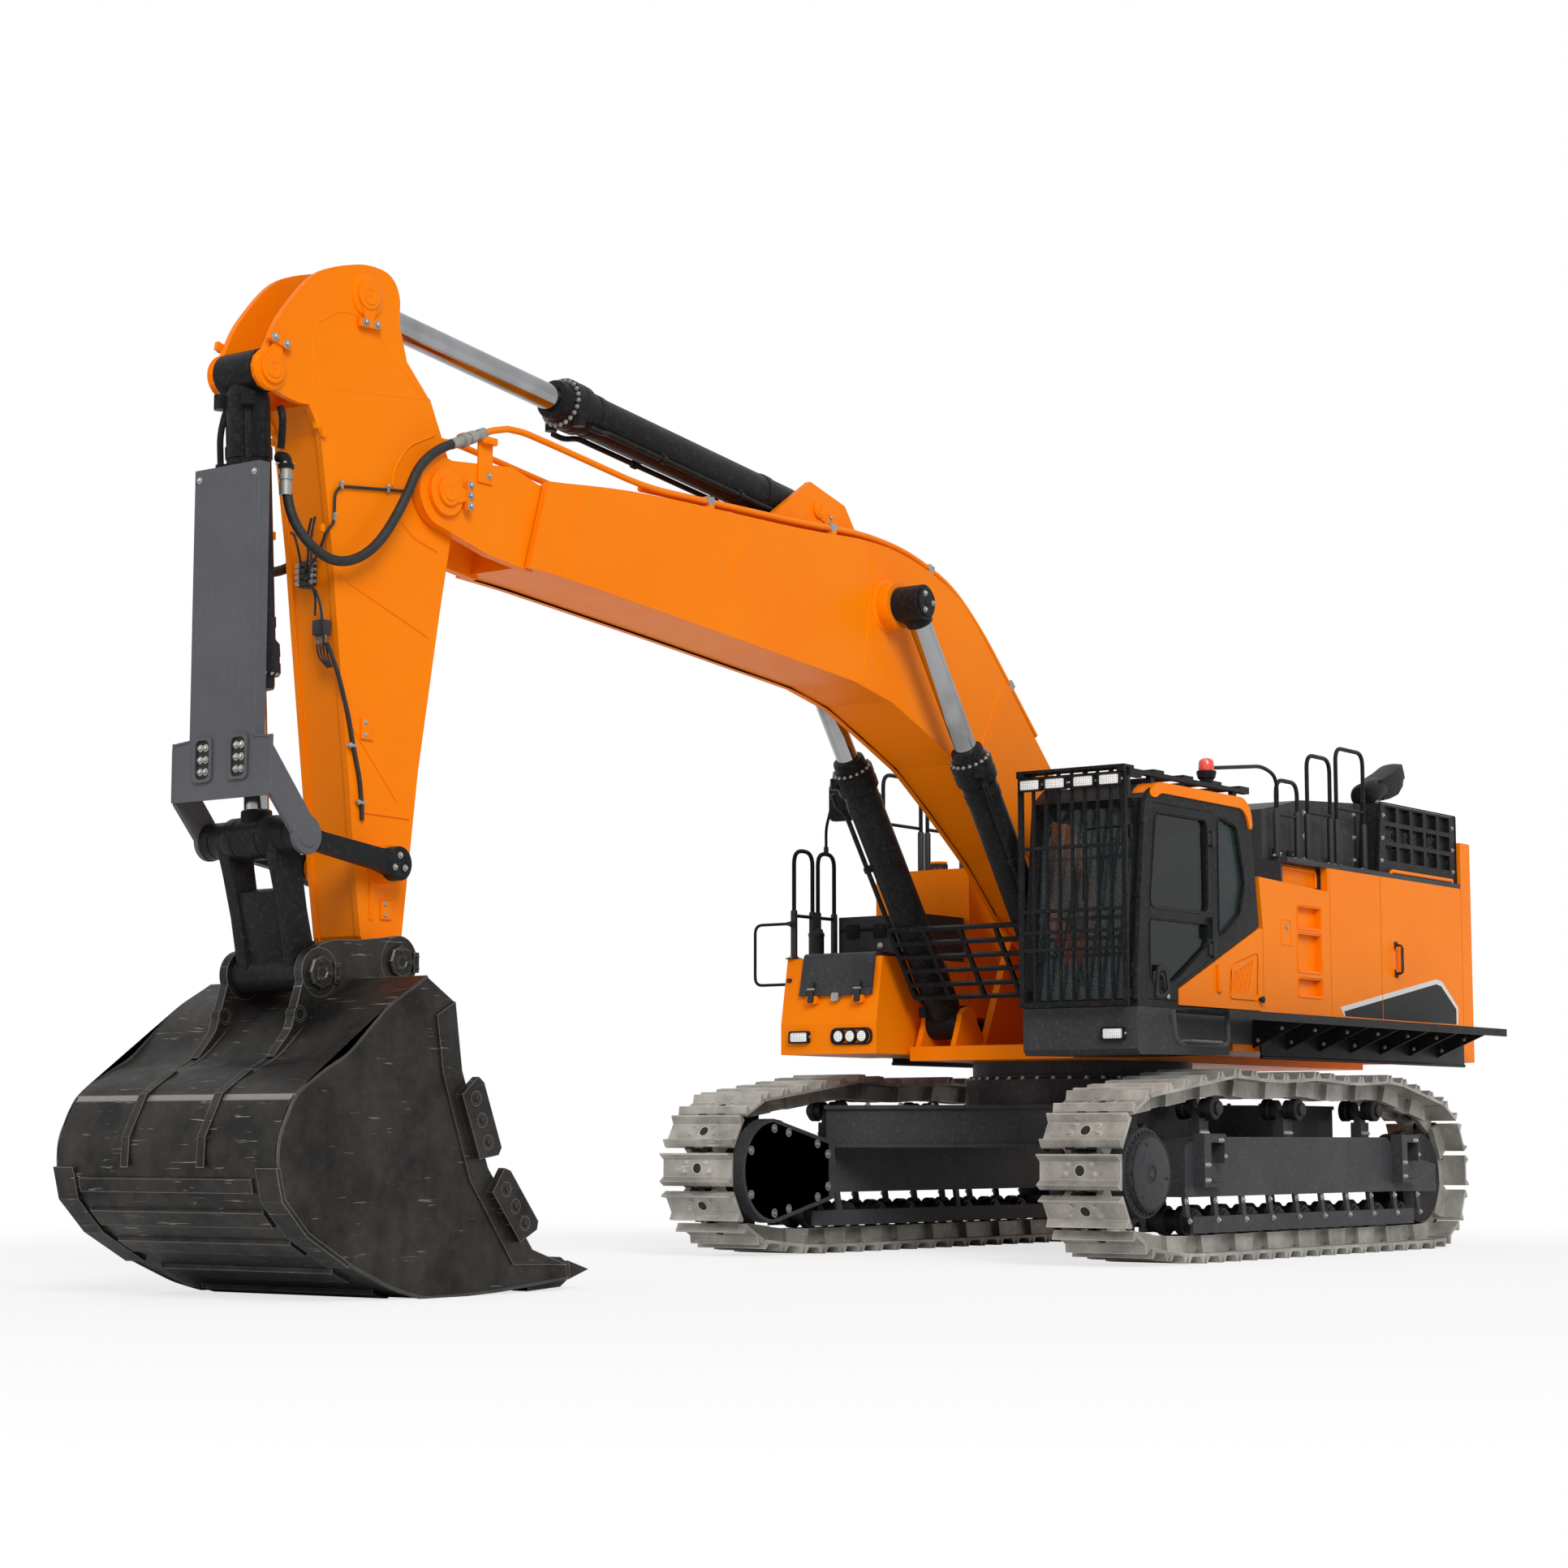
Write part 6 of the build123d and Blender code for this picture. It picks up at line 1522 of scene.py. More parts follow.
        pipes.done(self.body, ORANGE, "boom_pipes")
        finish_all(self.body, {clamps: ORANGE, steel: BOLT_STEEL, bolts: BOLT_STEEL})

    def build(self) -> None:
        """Build every fitting of the boom."""
        self.bosses()
        self.welds()
        self.pipes()


@dataclass
class Arm:
    """Bosses, pin covers, rims, welds and small lines of the arm, with sizes in millimetres."""

    body: str = "arm_structure"
    boom_pin: Flat = BOOM_TIP
    bucket_pin: Flat = BUCKET_PIN
    rod_pin: Flat = ARM_ROD_PIN
    base_pin: Flat = BUCKET_BARREL_PIN
    rocker_pin: Flat = ROCKER_PIN
    half: float = 190.0
    rim: Route = (
        (8876, 4985), (8925, 5240), (8936, 5480), (8890, 5615), (8721, 5722), (8548, 5724), (8412, 5650),
        (8220, 5500), (8060, 5385), (7975, 5335),
    )
    pivot_seam: Route = (
        (7900, 5120), (8126, 5014), (8240, 4853), (8259, 4746), (8192, 4558), (8074, 4465), (7860, 4412),
    )

    def at(self, along: float, across: float, y: float) -> Point:
        """Give the point along the arm from the boom pin, in front of its pin line."""
        x, z = toward(self.boom_pin, self.bucket_pin, along, across)
        return (x, y, z)

    def bosses(self) -> None:
        """Cover the arm's faceted bosses with turned ones and add the pins' covers."""
        rings, covers, bolts, ends = forms("arm_bosses arm_pin_covers arm_pin_bolts arm_tip_hubs")
        for side in SIDES:
            low, high = self.half - 4, 203
            deep = high - low
            for (x, z), radius in ((self.rod_pin, 131), (self.base_pin, 121)):
                foot = [(0, radius + 8), (4, radius + 6), (9, radius)]
                face = [(deep - 2, radius), (deep, radius - 3), (deep, 50)]
                rings.lathe((x, side * low, z), (x, side * high, z), foot + face, 56)
            x, z = self.rocker_pin
            ends.lathe(
                (x, side * 188, z), (x, side * 299, z), [(0, 120), (6, 112), (112, 112), (112, 40)], 48
            )
            x, z = self.bucket_pin
            ends.lathe(
                (x, side * 184, z), (x, side * 269.5, z), [(0, 152), (8, 142), (84, 142), (85, 60)], 56
            )
            PinCap(self.rod_pin, side * 202, 88, -92, 2).add(covers, bolts)
            PinCap(self.base_pin, side * 202, 88, 104, 2).add(covers, bolts)
        finish_all(self.body, {rings: ORANGE, covers: ORANGE, ends: ORANGE, bolts: BOLT_STEEL})

    def rims(self) -> None:
        """Add the raised rim of the head plate and the weld beads over the sides."""
        rims, beads = forms("arm_head_rims arm_weld_beads")
        for side in SIDES:
            y = side * (self.half + 1)
            for line, radius, bend in (
                (self.pivot_seam[:4], 7, 70),
                (self.pivot_seam[4:], 7, 70),
                (((8690, 4136), (7930, 3878)), 6, 60),
                (((8560, 3260), (8180, 2860)), 6, 60),
            ):
                beads.pipe([(x, y, z) for x, z in line], radius, bend, 10)
            for line, radius in ((self.rim[3:], 15), (self.rim[:4], 24)):
                rims.pipe([(x, side * (self.half + 5 - radius), z) for x, z in line], radius, 90, 10)
            for line, inward in (
                (((730, -138), (1705, -106), (2700, -126), (2900, -120)), 6),
                (((2760, 182), (2375, 302), (1980, 402), (975, 682), (585, 787), (-45, 985)), 46),
            ):
                beads.pipe([self.at(*p, side * (self.half - inward)) for p in line], 9, 100, 8)
            for z in (4960, 4400):
                rims.box((8835, 8868), limits(side * 186, side * 214), (z - 28, z + 20), 4)
        finish_all(self.body, {rims: ORANGE, beads: ORANGE})

    def lines(self) -> None:
        """Add the grease lines over the arm's side and front with their clips and manifolds."""
        lines, clips, block = forms("arm_grease_lines arm_line_clips arm_grease_blocks")
        plates = Form("arm_small_plates")
        across = [
            (8060, 203, 4742), (8310, 203, 4714), (8700, 203, 4668), (8752, 205, 4620), (8756, 206, 4440),
            (8800, 190, 4392),
        ]
        lines.pipe(
            across + [(8806, 168, 4330), (8800, 120, 4250), (8795, 40, 4190), (8790, 10, 4170)], 9, 60, 10
        )
        loops = (
            [(8835, 100, 4470), (8830, 60, 4350), (8830, 80, 4240), (8810, 20, 4150)],
            [(8835, 130, 4475), (8840, 100, 4340), (8835, 110, 4230), (8812, 60, 4120), (8790, 10, 4130)],
            [(8840, -60, 4400), (8850, -20, 4380), (8850, 10, 4300), (8815, 0, 4215)],
            [(8800, 10, 4100), (8812, 90, 4080), (8800, 110, 4010), (8792, 100, 3900)],
            [(8800, 0, 4075), (8815, 120, 4060), (8800, 150, 3960), (8780, 165, 3800), (8770, 150, 3720)],
        )
        for loop in loops:
            lines.pipe(loop, 8, 60, 10)
        lines.pipe(
            [
                (8760, 170, 3740), (8690, 196, 3560), (8610, 203, 3330), (8565, 203, 3154), (8508, 203, 2970),
                (8488, 203, 2827), (8482, 203, 2725),
            ],
            14, 60, 10,
        )
        for x, z in ((8565, 3154), (8488, 2827)):
            clips.box((x - 20, x + 46), (190, 222), (z - 9, z + 9), 4)
            clips.bolt((x + 34, 218, z), (0, 1, 0), 17)
        for x, z, half in ((8449, 3265, 52), (8266, 2213, 46)):
            plates.box((x - half, x + half), (188, 206), (z - 1.2 * half, z + 1.2 * half), 4)
            for shift in (-0.5, 0.5):
                clips.bolt((x + half * 0.4, 205, z + shift * 1.4 * half), (0, 1, 0), 17)
        for side in SIDES:
            plates.pipe([(8480, side * 191, 2776), (8075, side * 191, 2770)], 9, sides=8)
            plates.box((8376, 8402), limits(side * 188, side * 200), (2150, 2385), 4)
        for offset in (-36, -12, 12, 36):
            lines.pipe(
                [(8742, 104 + offset, 3745), (8740, 120 + offset, 3660), (8724, 160 + 0.5 * offset, 3600)],
                6, 60, 8,
            )
        for x, y, z in ((8310, 190, 4714), (8700, 190, 4668), (8756, 190, 4470)):
            clips.box((x - 9, x + 9), (y, y + 26), (z - 16, z + 30), 3)
            clips.bolt((x, y + 24, z + 20), (0, 1, 0), 15)
        clips.lathe(
            (8060, 203, 4742), (7990, 205, 4750), [(-10, 9), (-10, 14), (24, 14), (26, 10), (60, 9)], 12
        )
        for z in (4215, 4180, 4145, 4110):
            block.rod((8770, -50, z), (8770, 40, z), 15, 14)
            for start, end in ((36, 80), (-46, -80)):
                clips.lathe(
                    (8770, start, z), (8770, end, z), [(0, 11), (0, 17), (18, 17), (20, 10), (40, 9)], 6
                )
        block.box((8740, 8768), (-70, 60), (4085, 4240), 5)
        block.box((8706, 8772), (55, 150), (3790, 3880), 8)
        for y in (70, 92, 114, 136):
            clips.lathe((8745, y, 3792), (8745, y, 3740), [(0, 7), (0, 11), (22, 11), (24, 7), (50, 6)], 6)
        clips.lathe((8740, 104, 3878), (8742, 104, 3960), [(0, 9), (0, 15), (30, 15), (34, 9), (80, 9)], 6)
        finish_all(self.body, {lines: RUBBER, clips: BOLT_STEEL, block: GREY, plates: ORANGE})

    def build(self) -> None:
        """Build every fitting of the arm."""
        self.bosses()
        self.rims()
        self.lines()


@dataclass
class ArmHose:
    """One of the two hydraulic hoses from the boom's couplings to the bucket cylinder's ports, in metres."""

    side: int
    radius: float = 0.030
    length: float = 2.05
    groove: float = 0.0014
    route: tuple[Point, ...] = (
        (7.850, 0.288, 5.062),
        (8.095, 0.288, 4.960),
        (8.275, 0.296, 4.610),
        (8.520, 0.300, 4.295),
        (8.815, 0.292, 4.170),
        (9.060, 0.262, 4.285),
        (9.160, 0.215, 4.500),
        (9.160, 0.215, 4.700),
    )

    def middle_line(self) -> Points:
        """Read the points of the hose's middle line from the NURBS spline of its route.

        Returns:
            Points about 5 mm apart, in metres.
        """
        data = bpy.data.curves.new("hose_route", "CURVE")
        data.dimensions = "3D"
        data.resolution_u = 56
        spline = data.splines.new("NURBS")
        spline.points.add(len(self.route) - 1)
        for point, (x, y, z) in zip(spline.points, self.route):
            point.co = (x, self.side * y, z, 1.0)
        spline.order_u = 3
        spline.use_endpoint_u = True
        guide = bpy.data.objects.new("hose_route", data)
        bpy.context.scene.collection.objects.link(guide)
        bpy.context.view_layer.update()
        line = bpy.data.meshes.new_from_object(guide.evaluated_get(bpy.context.evaluated_depsgraph_get()))
        points = [vertex.co.copy() for vertex in line.vertices]
        bpy.data.objects.remove(guide)
        bpy.data.meshes.remove(line)
        return points

    def build(self) -> None:
        points = self.middle_line()
        form = Form(f"arm_hose_{hand(self.side)}")
        # every third ring is a groove between two ribs
        radii = [self.radius - (0 if index % 3 else self.groove) for index in range(len(points))]
        form.skin([[point / MM for point in ring] for ring in tube_rings(points, radii, 18)])
        hose = form.mesh_object(RUBBER)
        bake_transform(hose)
        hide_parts("arm_hoses")
        log.info("%s: ribbed hose, %.2f m", hose.name, self.length)


@dataclass
class Hoses:
    """Both hoses of the bucket cylinder with the ferrules and elbows at their far ends."""

    port: Flat = (9160.0, 4700.0)
    y: float = 215.0

    def build(self) -> None:
        """Build the hoses, then the fittings on the cylinder's port blocks."""
        fittings, blocks, bolts = forms(
            "bucket_cylinder_hose_ferrules bucket_cylinder_port_elbows bucket_cylinder_port_bolts"
        )
        x, z = self.port
        for side in SIDES:
            ArmHose(side).build()
            y = side * self.y
            fittings.lathe(
                (x, y, z - 165), (x, y, z),
                [(0, 31), (0, 37), (70, 38), (72, 34), (88, 34), (90, 41), (118, 41), (120, 36), (164, 36)],
                24,
            )
            blocks.pipe([(x, y, z - 4), (x, y, z + 50), (x - 4, side * 150, z + 66)], 34, 50, 18)
            blocks.lathe((x, y, z - 12), (x, y, z + 16), [(0, 30), (0, 46), (26, 46), (28, 40)], 24)
            for shift in (-34, 34):
                bolts.bolt((x + shift, y - side * 34, z + 14), (0, 0, 1), 15)
                bolts.bolt((x + shift, y + side * 26, z + 14), (0, 0, 1), 15)
            blocks.pipe(
                [
                    (x - 10, side * 150, 5060), (x - 6, side * 176, 5000), (x - 2, side * 176, 4880),
                    (x - 2, side * 168, 4812),
                ],
                22, 60, 14,
            )
        fittings.done("arm_structure", BOLT_STEEL)
        finish_all("bucket_barrel", {blocks: BLACK, bolts: BOLT_STEEL})


@dataclass
class Linkage:
    """Rod guard, rocker links and bucket link, with sizes in millimetres."""

    top: Flat = LINK_TOP
    foot: Flat = LINK_FOOT
    rocker_pin: Flat = ROCKER_PIN
    guard_x: float = 9412.0

    def guard(self) -> None:
        """Add the rod guard's rolled edge, bolts and ear bosses, and near-black plates as painted shade for
        its slots.
        """
        hubs, bolts, slots = forms("rod_guard_trim rod_guard_bolts rod_guard_slots")
        x = self.guard_x
        for side in SIDES:
            hubs.pipe([(x - 6, side * 254, 3124), (x - 6, side * 254, 4686)], 9, sides=10)
            hubs.lathe(
                (self.top[0], side * 400, self.top[1]),
                (self.top[0], side * 420, self.top[1]),
                [(-26, 112), (0, 112), (4, 108), (4, 74), (10, 70), (10, 20)],
                48,
            )
            bolts.bolt((x, side * 222, 4630), (1, 0, 0), 22)
            y, z = side * 143, 3010
            outer = rect(y - 58, y + 58, z - 112, z + 112)
            rim, hole = rounded(outer, 44, 6), rounded(grown(outer, -16), 32, 6)
            hubs.border(rim, hole, Facing.X, x - 2, x + 16)
            # a near-black plate in each slot paints the shade inside it; the guard is not cut
            slots.plate(hole, Facing.X, x - 4, x + 3)
            for row in (-68, 0, 68):
                for column in (-21, 21):
                    bolts.bolt((x + 2, y + column, z + row), (1, 0, 0), 24)
            hubs.pipe(
                [(x - 2, side * 392, 2790), (x - 2, side * 392, 3110), (x - 2, side * 262, 3122)], 9, 30, 10
            )
        finish_all("bucket_rod", {hubs: GUARD_GREY, bolts: BOLT_STEEL, slots: HOLLOW_SHADE})

    def rockers(self) -> None:
        """Replace the faceted rocker links with forged ones."""
        arms, bolts = forms("rocker_link_forgings rocker_link_bolts")
        long = span(self.rocker_pin, self.top)
        for side in SIDES:
            low, high = side * 301, side * 371
            for (x, z), radius in ((self.rocker_pin, 101), (self.top, 106)):
                arms.lathe(
                    (x, low, z), (x, high, z),
                    [
                        (0, radius - 3), (3, radius), (67, radius), (70, radius - 3), (70, 0.55 * radius),
                        (66, 0.5 * radius),
                    ],
                    48,
                )
            shape = [
                (0, 88), (150, 60), (long - 170, 52), (long, 74), (long, -74), (long - 170, -60), (150, -66),
                (0, -88),
            ]
            outline = [toward(self.rocker_pin, self.top, *p) for p in shape]
            arms.plate(outline, Facing.Y, *limits(side * 304, side * 368), 6)
            x, z = self.rocker_pin
            bolts.bolt_circle((x, side * 370, z), (0, side, 0), 48, 3, 22)
        arms.done("rockers", BLACK, "rocker_links")
        bolts.done("rockers", BOLT_STEEL)

    def link(self) -> None:
        """Replace the H-shaped bucket link."""
        link = Form("bucket_link_casting")
        foot, top = self.foot, self.top
        long = span(foot, top)
        fx, fz = foot
        link.lathe(
            (fx, -269, fz), (fx, 269, fz),
            [(0, 98), (4, 106), (90, 106), (110, 100), (428, 100), (448, 106), (534, 106), (538, 98)],
            48,
        )
        for side in SIDES:
            tx, tz = top
            link.lathe(
                (tx, side * 101, tz), (tx, side * 299, tz),
                [(0, 118), (5, 124), (70, 124), (100, 108), (192, 106), (198, 98)],
                48,
            )
            shape = [
                (30, 92), (long * 0.45, 78), (long * 0.75, 88), (long, 112), (long, -112), (long * 0.75, -88),
                (long * 0.45, -78), (30, -92),
            ]
            outline = [toward(foot, top, *p) for p in shape]
            link.plate(outline, Facing.Y, *limits(side * 150, side * 229), 8)
        web = [(40, 62), (0.62 * long, 70), (0.62 * long, -70), (40, -62)]
        link.plate([toward(foot, top, *p) for p in web], Facing.Y, -160, 160, 6)
        link.done("link", BLACK, "bucket_link")

    def build(self) -> None:
        """Build the guard and the links."""
        self.guard()
        self.rockers()
        self.link()


@dataclass
class Bucket:
    """Pin covers, weld beads, cutter bolts and edges of the bucket, with sizes in millimetres."""

    body: str = "bucket_body"
    pin: Flat = BUCKET_PIN
    link_pin: Flat = LINK_FOOT
    half: float = 870.0
    lowest: float = -9.0
    shell: Route = (
        (343, -120), (649, -292), (963, -568), (1148, -659), (1359, -792), (1476, -1020), (1482, -1178),
        (1437, -1349), (1254, -1530), (941, -1700), (600, -1840), (359, -1903), (92, -1915), (-321, -1885),
        (-896, -1836),
    )
    cutters: tuple[tuple[Flat, Flat], ...] = (
        ((35, -700), (-150, -1140)),
        ((-205, -1235), (-500, -1585)),
    )

    def near(self, x: float, z: float) -> Flat:
        """Give an (x, z) point from the bucket pin."""
        return (self.pin[0] + x, self.pin[1] + z)

    def build(self) -> None:
        """Build every fitting of the bucket."""
        rings, caps, bolts, beads = forms("bucket_ear_bosses bucket_pin_caps bucket_bolts bucket_weld_beads")
        for side in SIDES:
            for (x, z), radius in ((self.pin, 151), (self.link_pin, 141)):
                rings.ring((x, side * 269.8, z), (x, side * 331, z), radius, 60, 56)
                caps.lathe(
                    (x, side * 328, z), (x, side * 362, z),
                    [(0, 96), (22, 96), (30, 88), (30, 40), (24, 34)],
                    8,
                )
                bolts.bolt_circle((x, side * 357, z), (0, side, 0), 58, 3, 22, 20)
                caps.box((x - 150, x - 104), limits(side * 329, side * 350), (z - 60, z + 60), 5)
                for shift in (-34, 34):
                    bolts.bolt((x - 127, side * 350, z + shift), (0, side, 0), 20)
            line = [
                (x, side * (self.half - 3), max(z, self.lowest + 12))
                for x, z in (self.near(*p) for p in self.shell)
            ]
            beads.pipe(line, 11, 70, 8)
            for offset in (-9, 69):
                y = side * (270 + offset)
                strap = [self.near(*p) for p in ((343, -120), (649, -292), (963, -568), (1148, -659))]
                beads.pipe([(x, y, z) for x, z in strap], 9, 60, 8)
            for start, end in self.cutters:
                long = span(start, end)
                for share in (0.22, 0.5, 0.78):
                    x, z = self.near(*toward(start, end, share * long, 0))
                    rings.ring((x, side * (self.half + 62), z), (x, side * (self.half + 67), z), 44, 26, 24)
                    bolts.bolt((x, side * (self.half + 62), z), (0, side, 0), 34)
            x, z = self.near(800, -330)
            rings.ring((x, side * 266, z), (x, side * 334, z), 48, 31, 32)
        rings.done(self.body, BUCKET_STEEL)
        caps.done(self.body, BUCKET_STEEL, smooth=20)
        finish_all(self.body, {bolts: DARK_CAST, beads: BUCKET_STEEL})


# ---------------------------------------------------------------- cab
@dataclass(frozen=True)
class LedLens(Finish):
    """Clear lens over a grid of small bright chips."""

    chip_mm: float = 16.0

    def shade(self, pattern: Pattern) -> None:
        """Build the lens.

        Args:
            pattern: Patterns and shader of the material.
        """
        settings = {"in": {"Scale": 1 / (self.chip_mm * MM), "Randomness": 0.0}}
        cell = add_node(pattern.tree, "TexVoronoi", settings, {"Vector": pattern.place}).outputs["Distance"]
        chip = pattern.ramp(cell, 0.50, 0.30)
        colour = pattern.blend(chip, linear("#b9bcbd"), linear("#fdfdf8"))
        normal = pattern.bump(chip, 2.0)
        pattern.feed(Base_Color=colour, Roughness=0.16, Normal=normal, Coat_Weight=0.6)
        pattern.feed(Emission_Color=colour, Emission_Strength=0.18)


@dataclass(frozen=True)
class Fabric(Finish):
    """Woven seat cloth: a fine twill with soft sheen."""

    colour: str = "#26282b"
    thread: str = "#3a3d42"

    def shade(self, pattern: Pattern) -> None:
        """Build the cloth.

        Args:
            pattern: Patterns and shader of the material.
        """
        settings = {
            "wave_type": "BANDS", "bands_direction": "DIAGONAL", "in": {"Scale": 1 / 0.008, "Distortion": 1.5}
        }
        twill = add_node(pattern.tree, "TexWave", settings, {"Vector": pattern.place}).outputs["Fac"]
        colour = pattern.blend(twill, linear(self.colour), linear(self.thread))
        normal = pattern.bump(twill, 0.4)
        pattern.feed(Base_Color=colour, Roughness=0.9, Normal=normal, Sheen_Weight=0.3)


@dataclass(frozen=True)
class ColourGlass(Finish):
    """Moulded coloured lens, ribbed upright and glossy."""

    colour: str = "#e0241c"

    def shade(self, pattern: Pattern) -> None:
        """Build the lens.

        Args:
            pattern: Patterns and shader of the material.
        """
        depth = pattern.ramp(pattern.noise(40, 3), 0.3, 0.7)
        colour = pattern.blend(depth, linear(self.colour), linear("#ff5a4a"))
        settings = {"wave_type": "RINGS", "rings_direction": "Z", "in": {"Scale": 1 / 0.02}}
        ribs = add_node(pattern.tree, "TexWave", settings, {"Vector": pattern.place}).outputs["Fac"]
        pattern.feed(Base_Color=colour, Roughness=0.12, Normal=pattern.bump(ribs, 0.8), Coat_Weight=0.8)


LENS = LedLens("led_lamp_lens", "work_lamps")
SEAT_CLOTH = Fabric("woven_seat_cloth", "operator_seat")
RED_BELT = Fabric("red_belt_webbing", "operator_seat", "#b3141c", "#d8262e")
RED_LENS = ColourGlass("red_beacon_lens", "work_lamps")
PALE = Enamel("pale_grey_film", "side_panel", colour="#d5d3d0", faded="#dddbd8", dust=0.05, rubbed=0.1)
TRIM = Rubber("moulded_black_trim", "cab_door", "#121314", "#1d1f20")


@dataclass
class Lamps:
    """Lamp housings, lenses, the beacon and their brackets, with sizes in millimetres."""

    body: str = "upper_structure"
    square: tuple[Point, ...] = (
        (2180.3, 890, 3465), (2180.3, 1105, 3465), (2180.3, 1345, 3465), (2180.3, 1560, 3465),
        (2085.3, 1510, 1638), (1760.3, -1510, 1678),
    )

    def build(self) -> None:
        """Build every lamp of the upper structure."""
        shells, lenses, red, bolts = forms("lamp_housings lamp_lenses beacon_lens lamp_bolts")
        for x, y, z in self.square:
            outline = rounded(rect(y - 95, y + 95, z - 48, z + 48), 16)
            inner = rounded(rect(y - 80, y + 80, z - 35, z + 35), 12)
            shells.plate(outline, Facing.X, x, x + 26)
            shells.border(outline, inner, Facing.X, x + 24, x + 34)
            lenses.plate(inner, Facing.X, x + 25, x + 30, 2)
            if z > 3000:
                for row in range(6):
                    shells.box((x - 34, x + 2), (y - 88 + row * 32, y - 78 + row * 32), (z - 40, z + 40), 1)
                shells.pipe([(x - 20, y, z + 30), (x - 20, y, z + 84)], 12)
            for side in SIDES:
                bolts.bolt((x + 10, y + side * 95, z), (0, side, 0), 13)
        for y in (-1130, -1020, -910):
            shells.lathe(
                (1760.3, y, 1678), (1795, y, 1678), [(0, 54), (26, 54), (34, 50), (34, 44), (28, 42)], 32
            )
            lenses.lathe((1786, y, 1678), (1794, y, 1678), [(0, 43), (4, 42), (7, 20)], 32)
        rim = rounded(rect(-1215, -825, 1612, 1744), 62)
        hole = rounded(rect(-1200, -840, 1626, 1730), 50)
        shells.border(rim, hole, Facing.X, 1760, 1774)
        # rear lamp on its stem
        shells.plate(rounded(rect(1392, 1518, 3552, 3648), 16), Facing.X, -3640, -3610, 4)
        lenses.plate(rounded(rect(1402, 1508, 3562, 3638), 12), Facing.X, -3652, -3638, 3)
        shells.pipe([(-3612, 1455, 3600), (-3580, 1455, 3560), (-3551, 1455, 3560)], 12, 20)
        # beacon with its ribbed lens
        x, y = 795, 1590
        shells.lathe(
            (x, y, 3572.4), (x, y, 3760),
            [(0, 40), (0, 52), (20, 54), (30, 66), (70, 76), (84, 74), (86, 60)],
            32,
        )
        red.lathe((x, y, 3650), (x, y, 3760), [(0, 60), (4, 62), (70, 58), (90, 50), (103, 30), (106, 6)], 36)
        shells.done(self.body, BLACK, "work_lamps")
        finish_all(self.body, {lenses: LENS, red: RED_LENS, bolts: BOLT_STEEL})


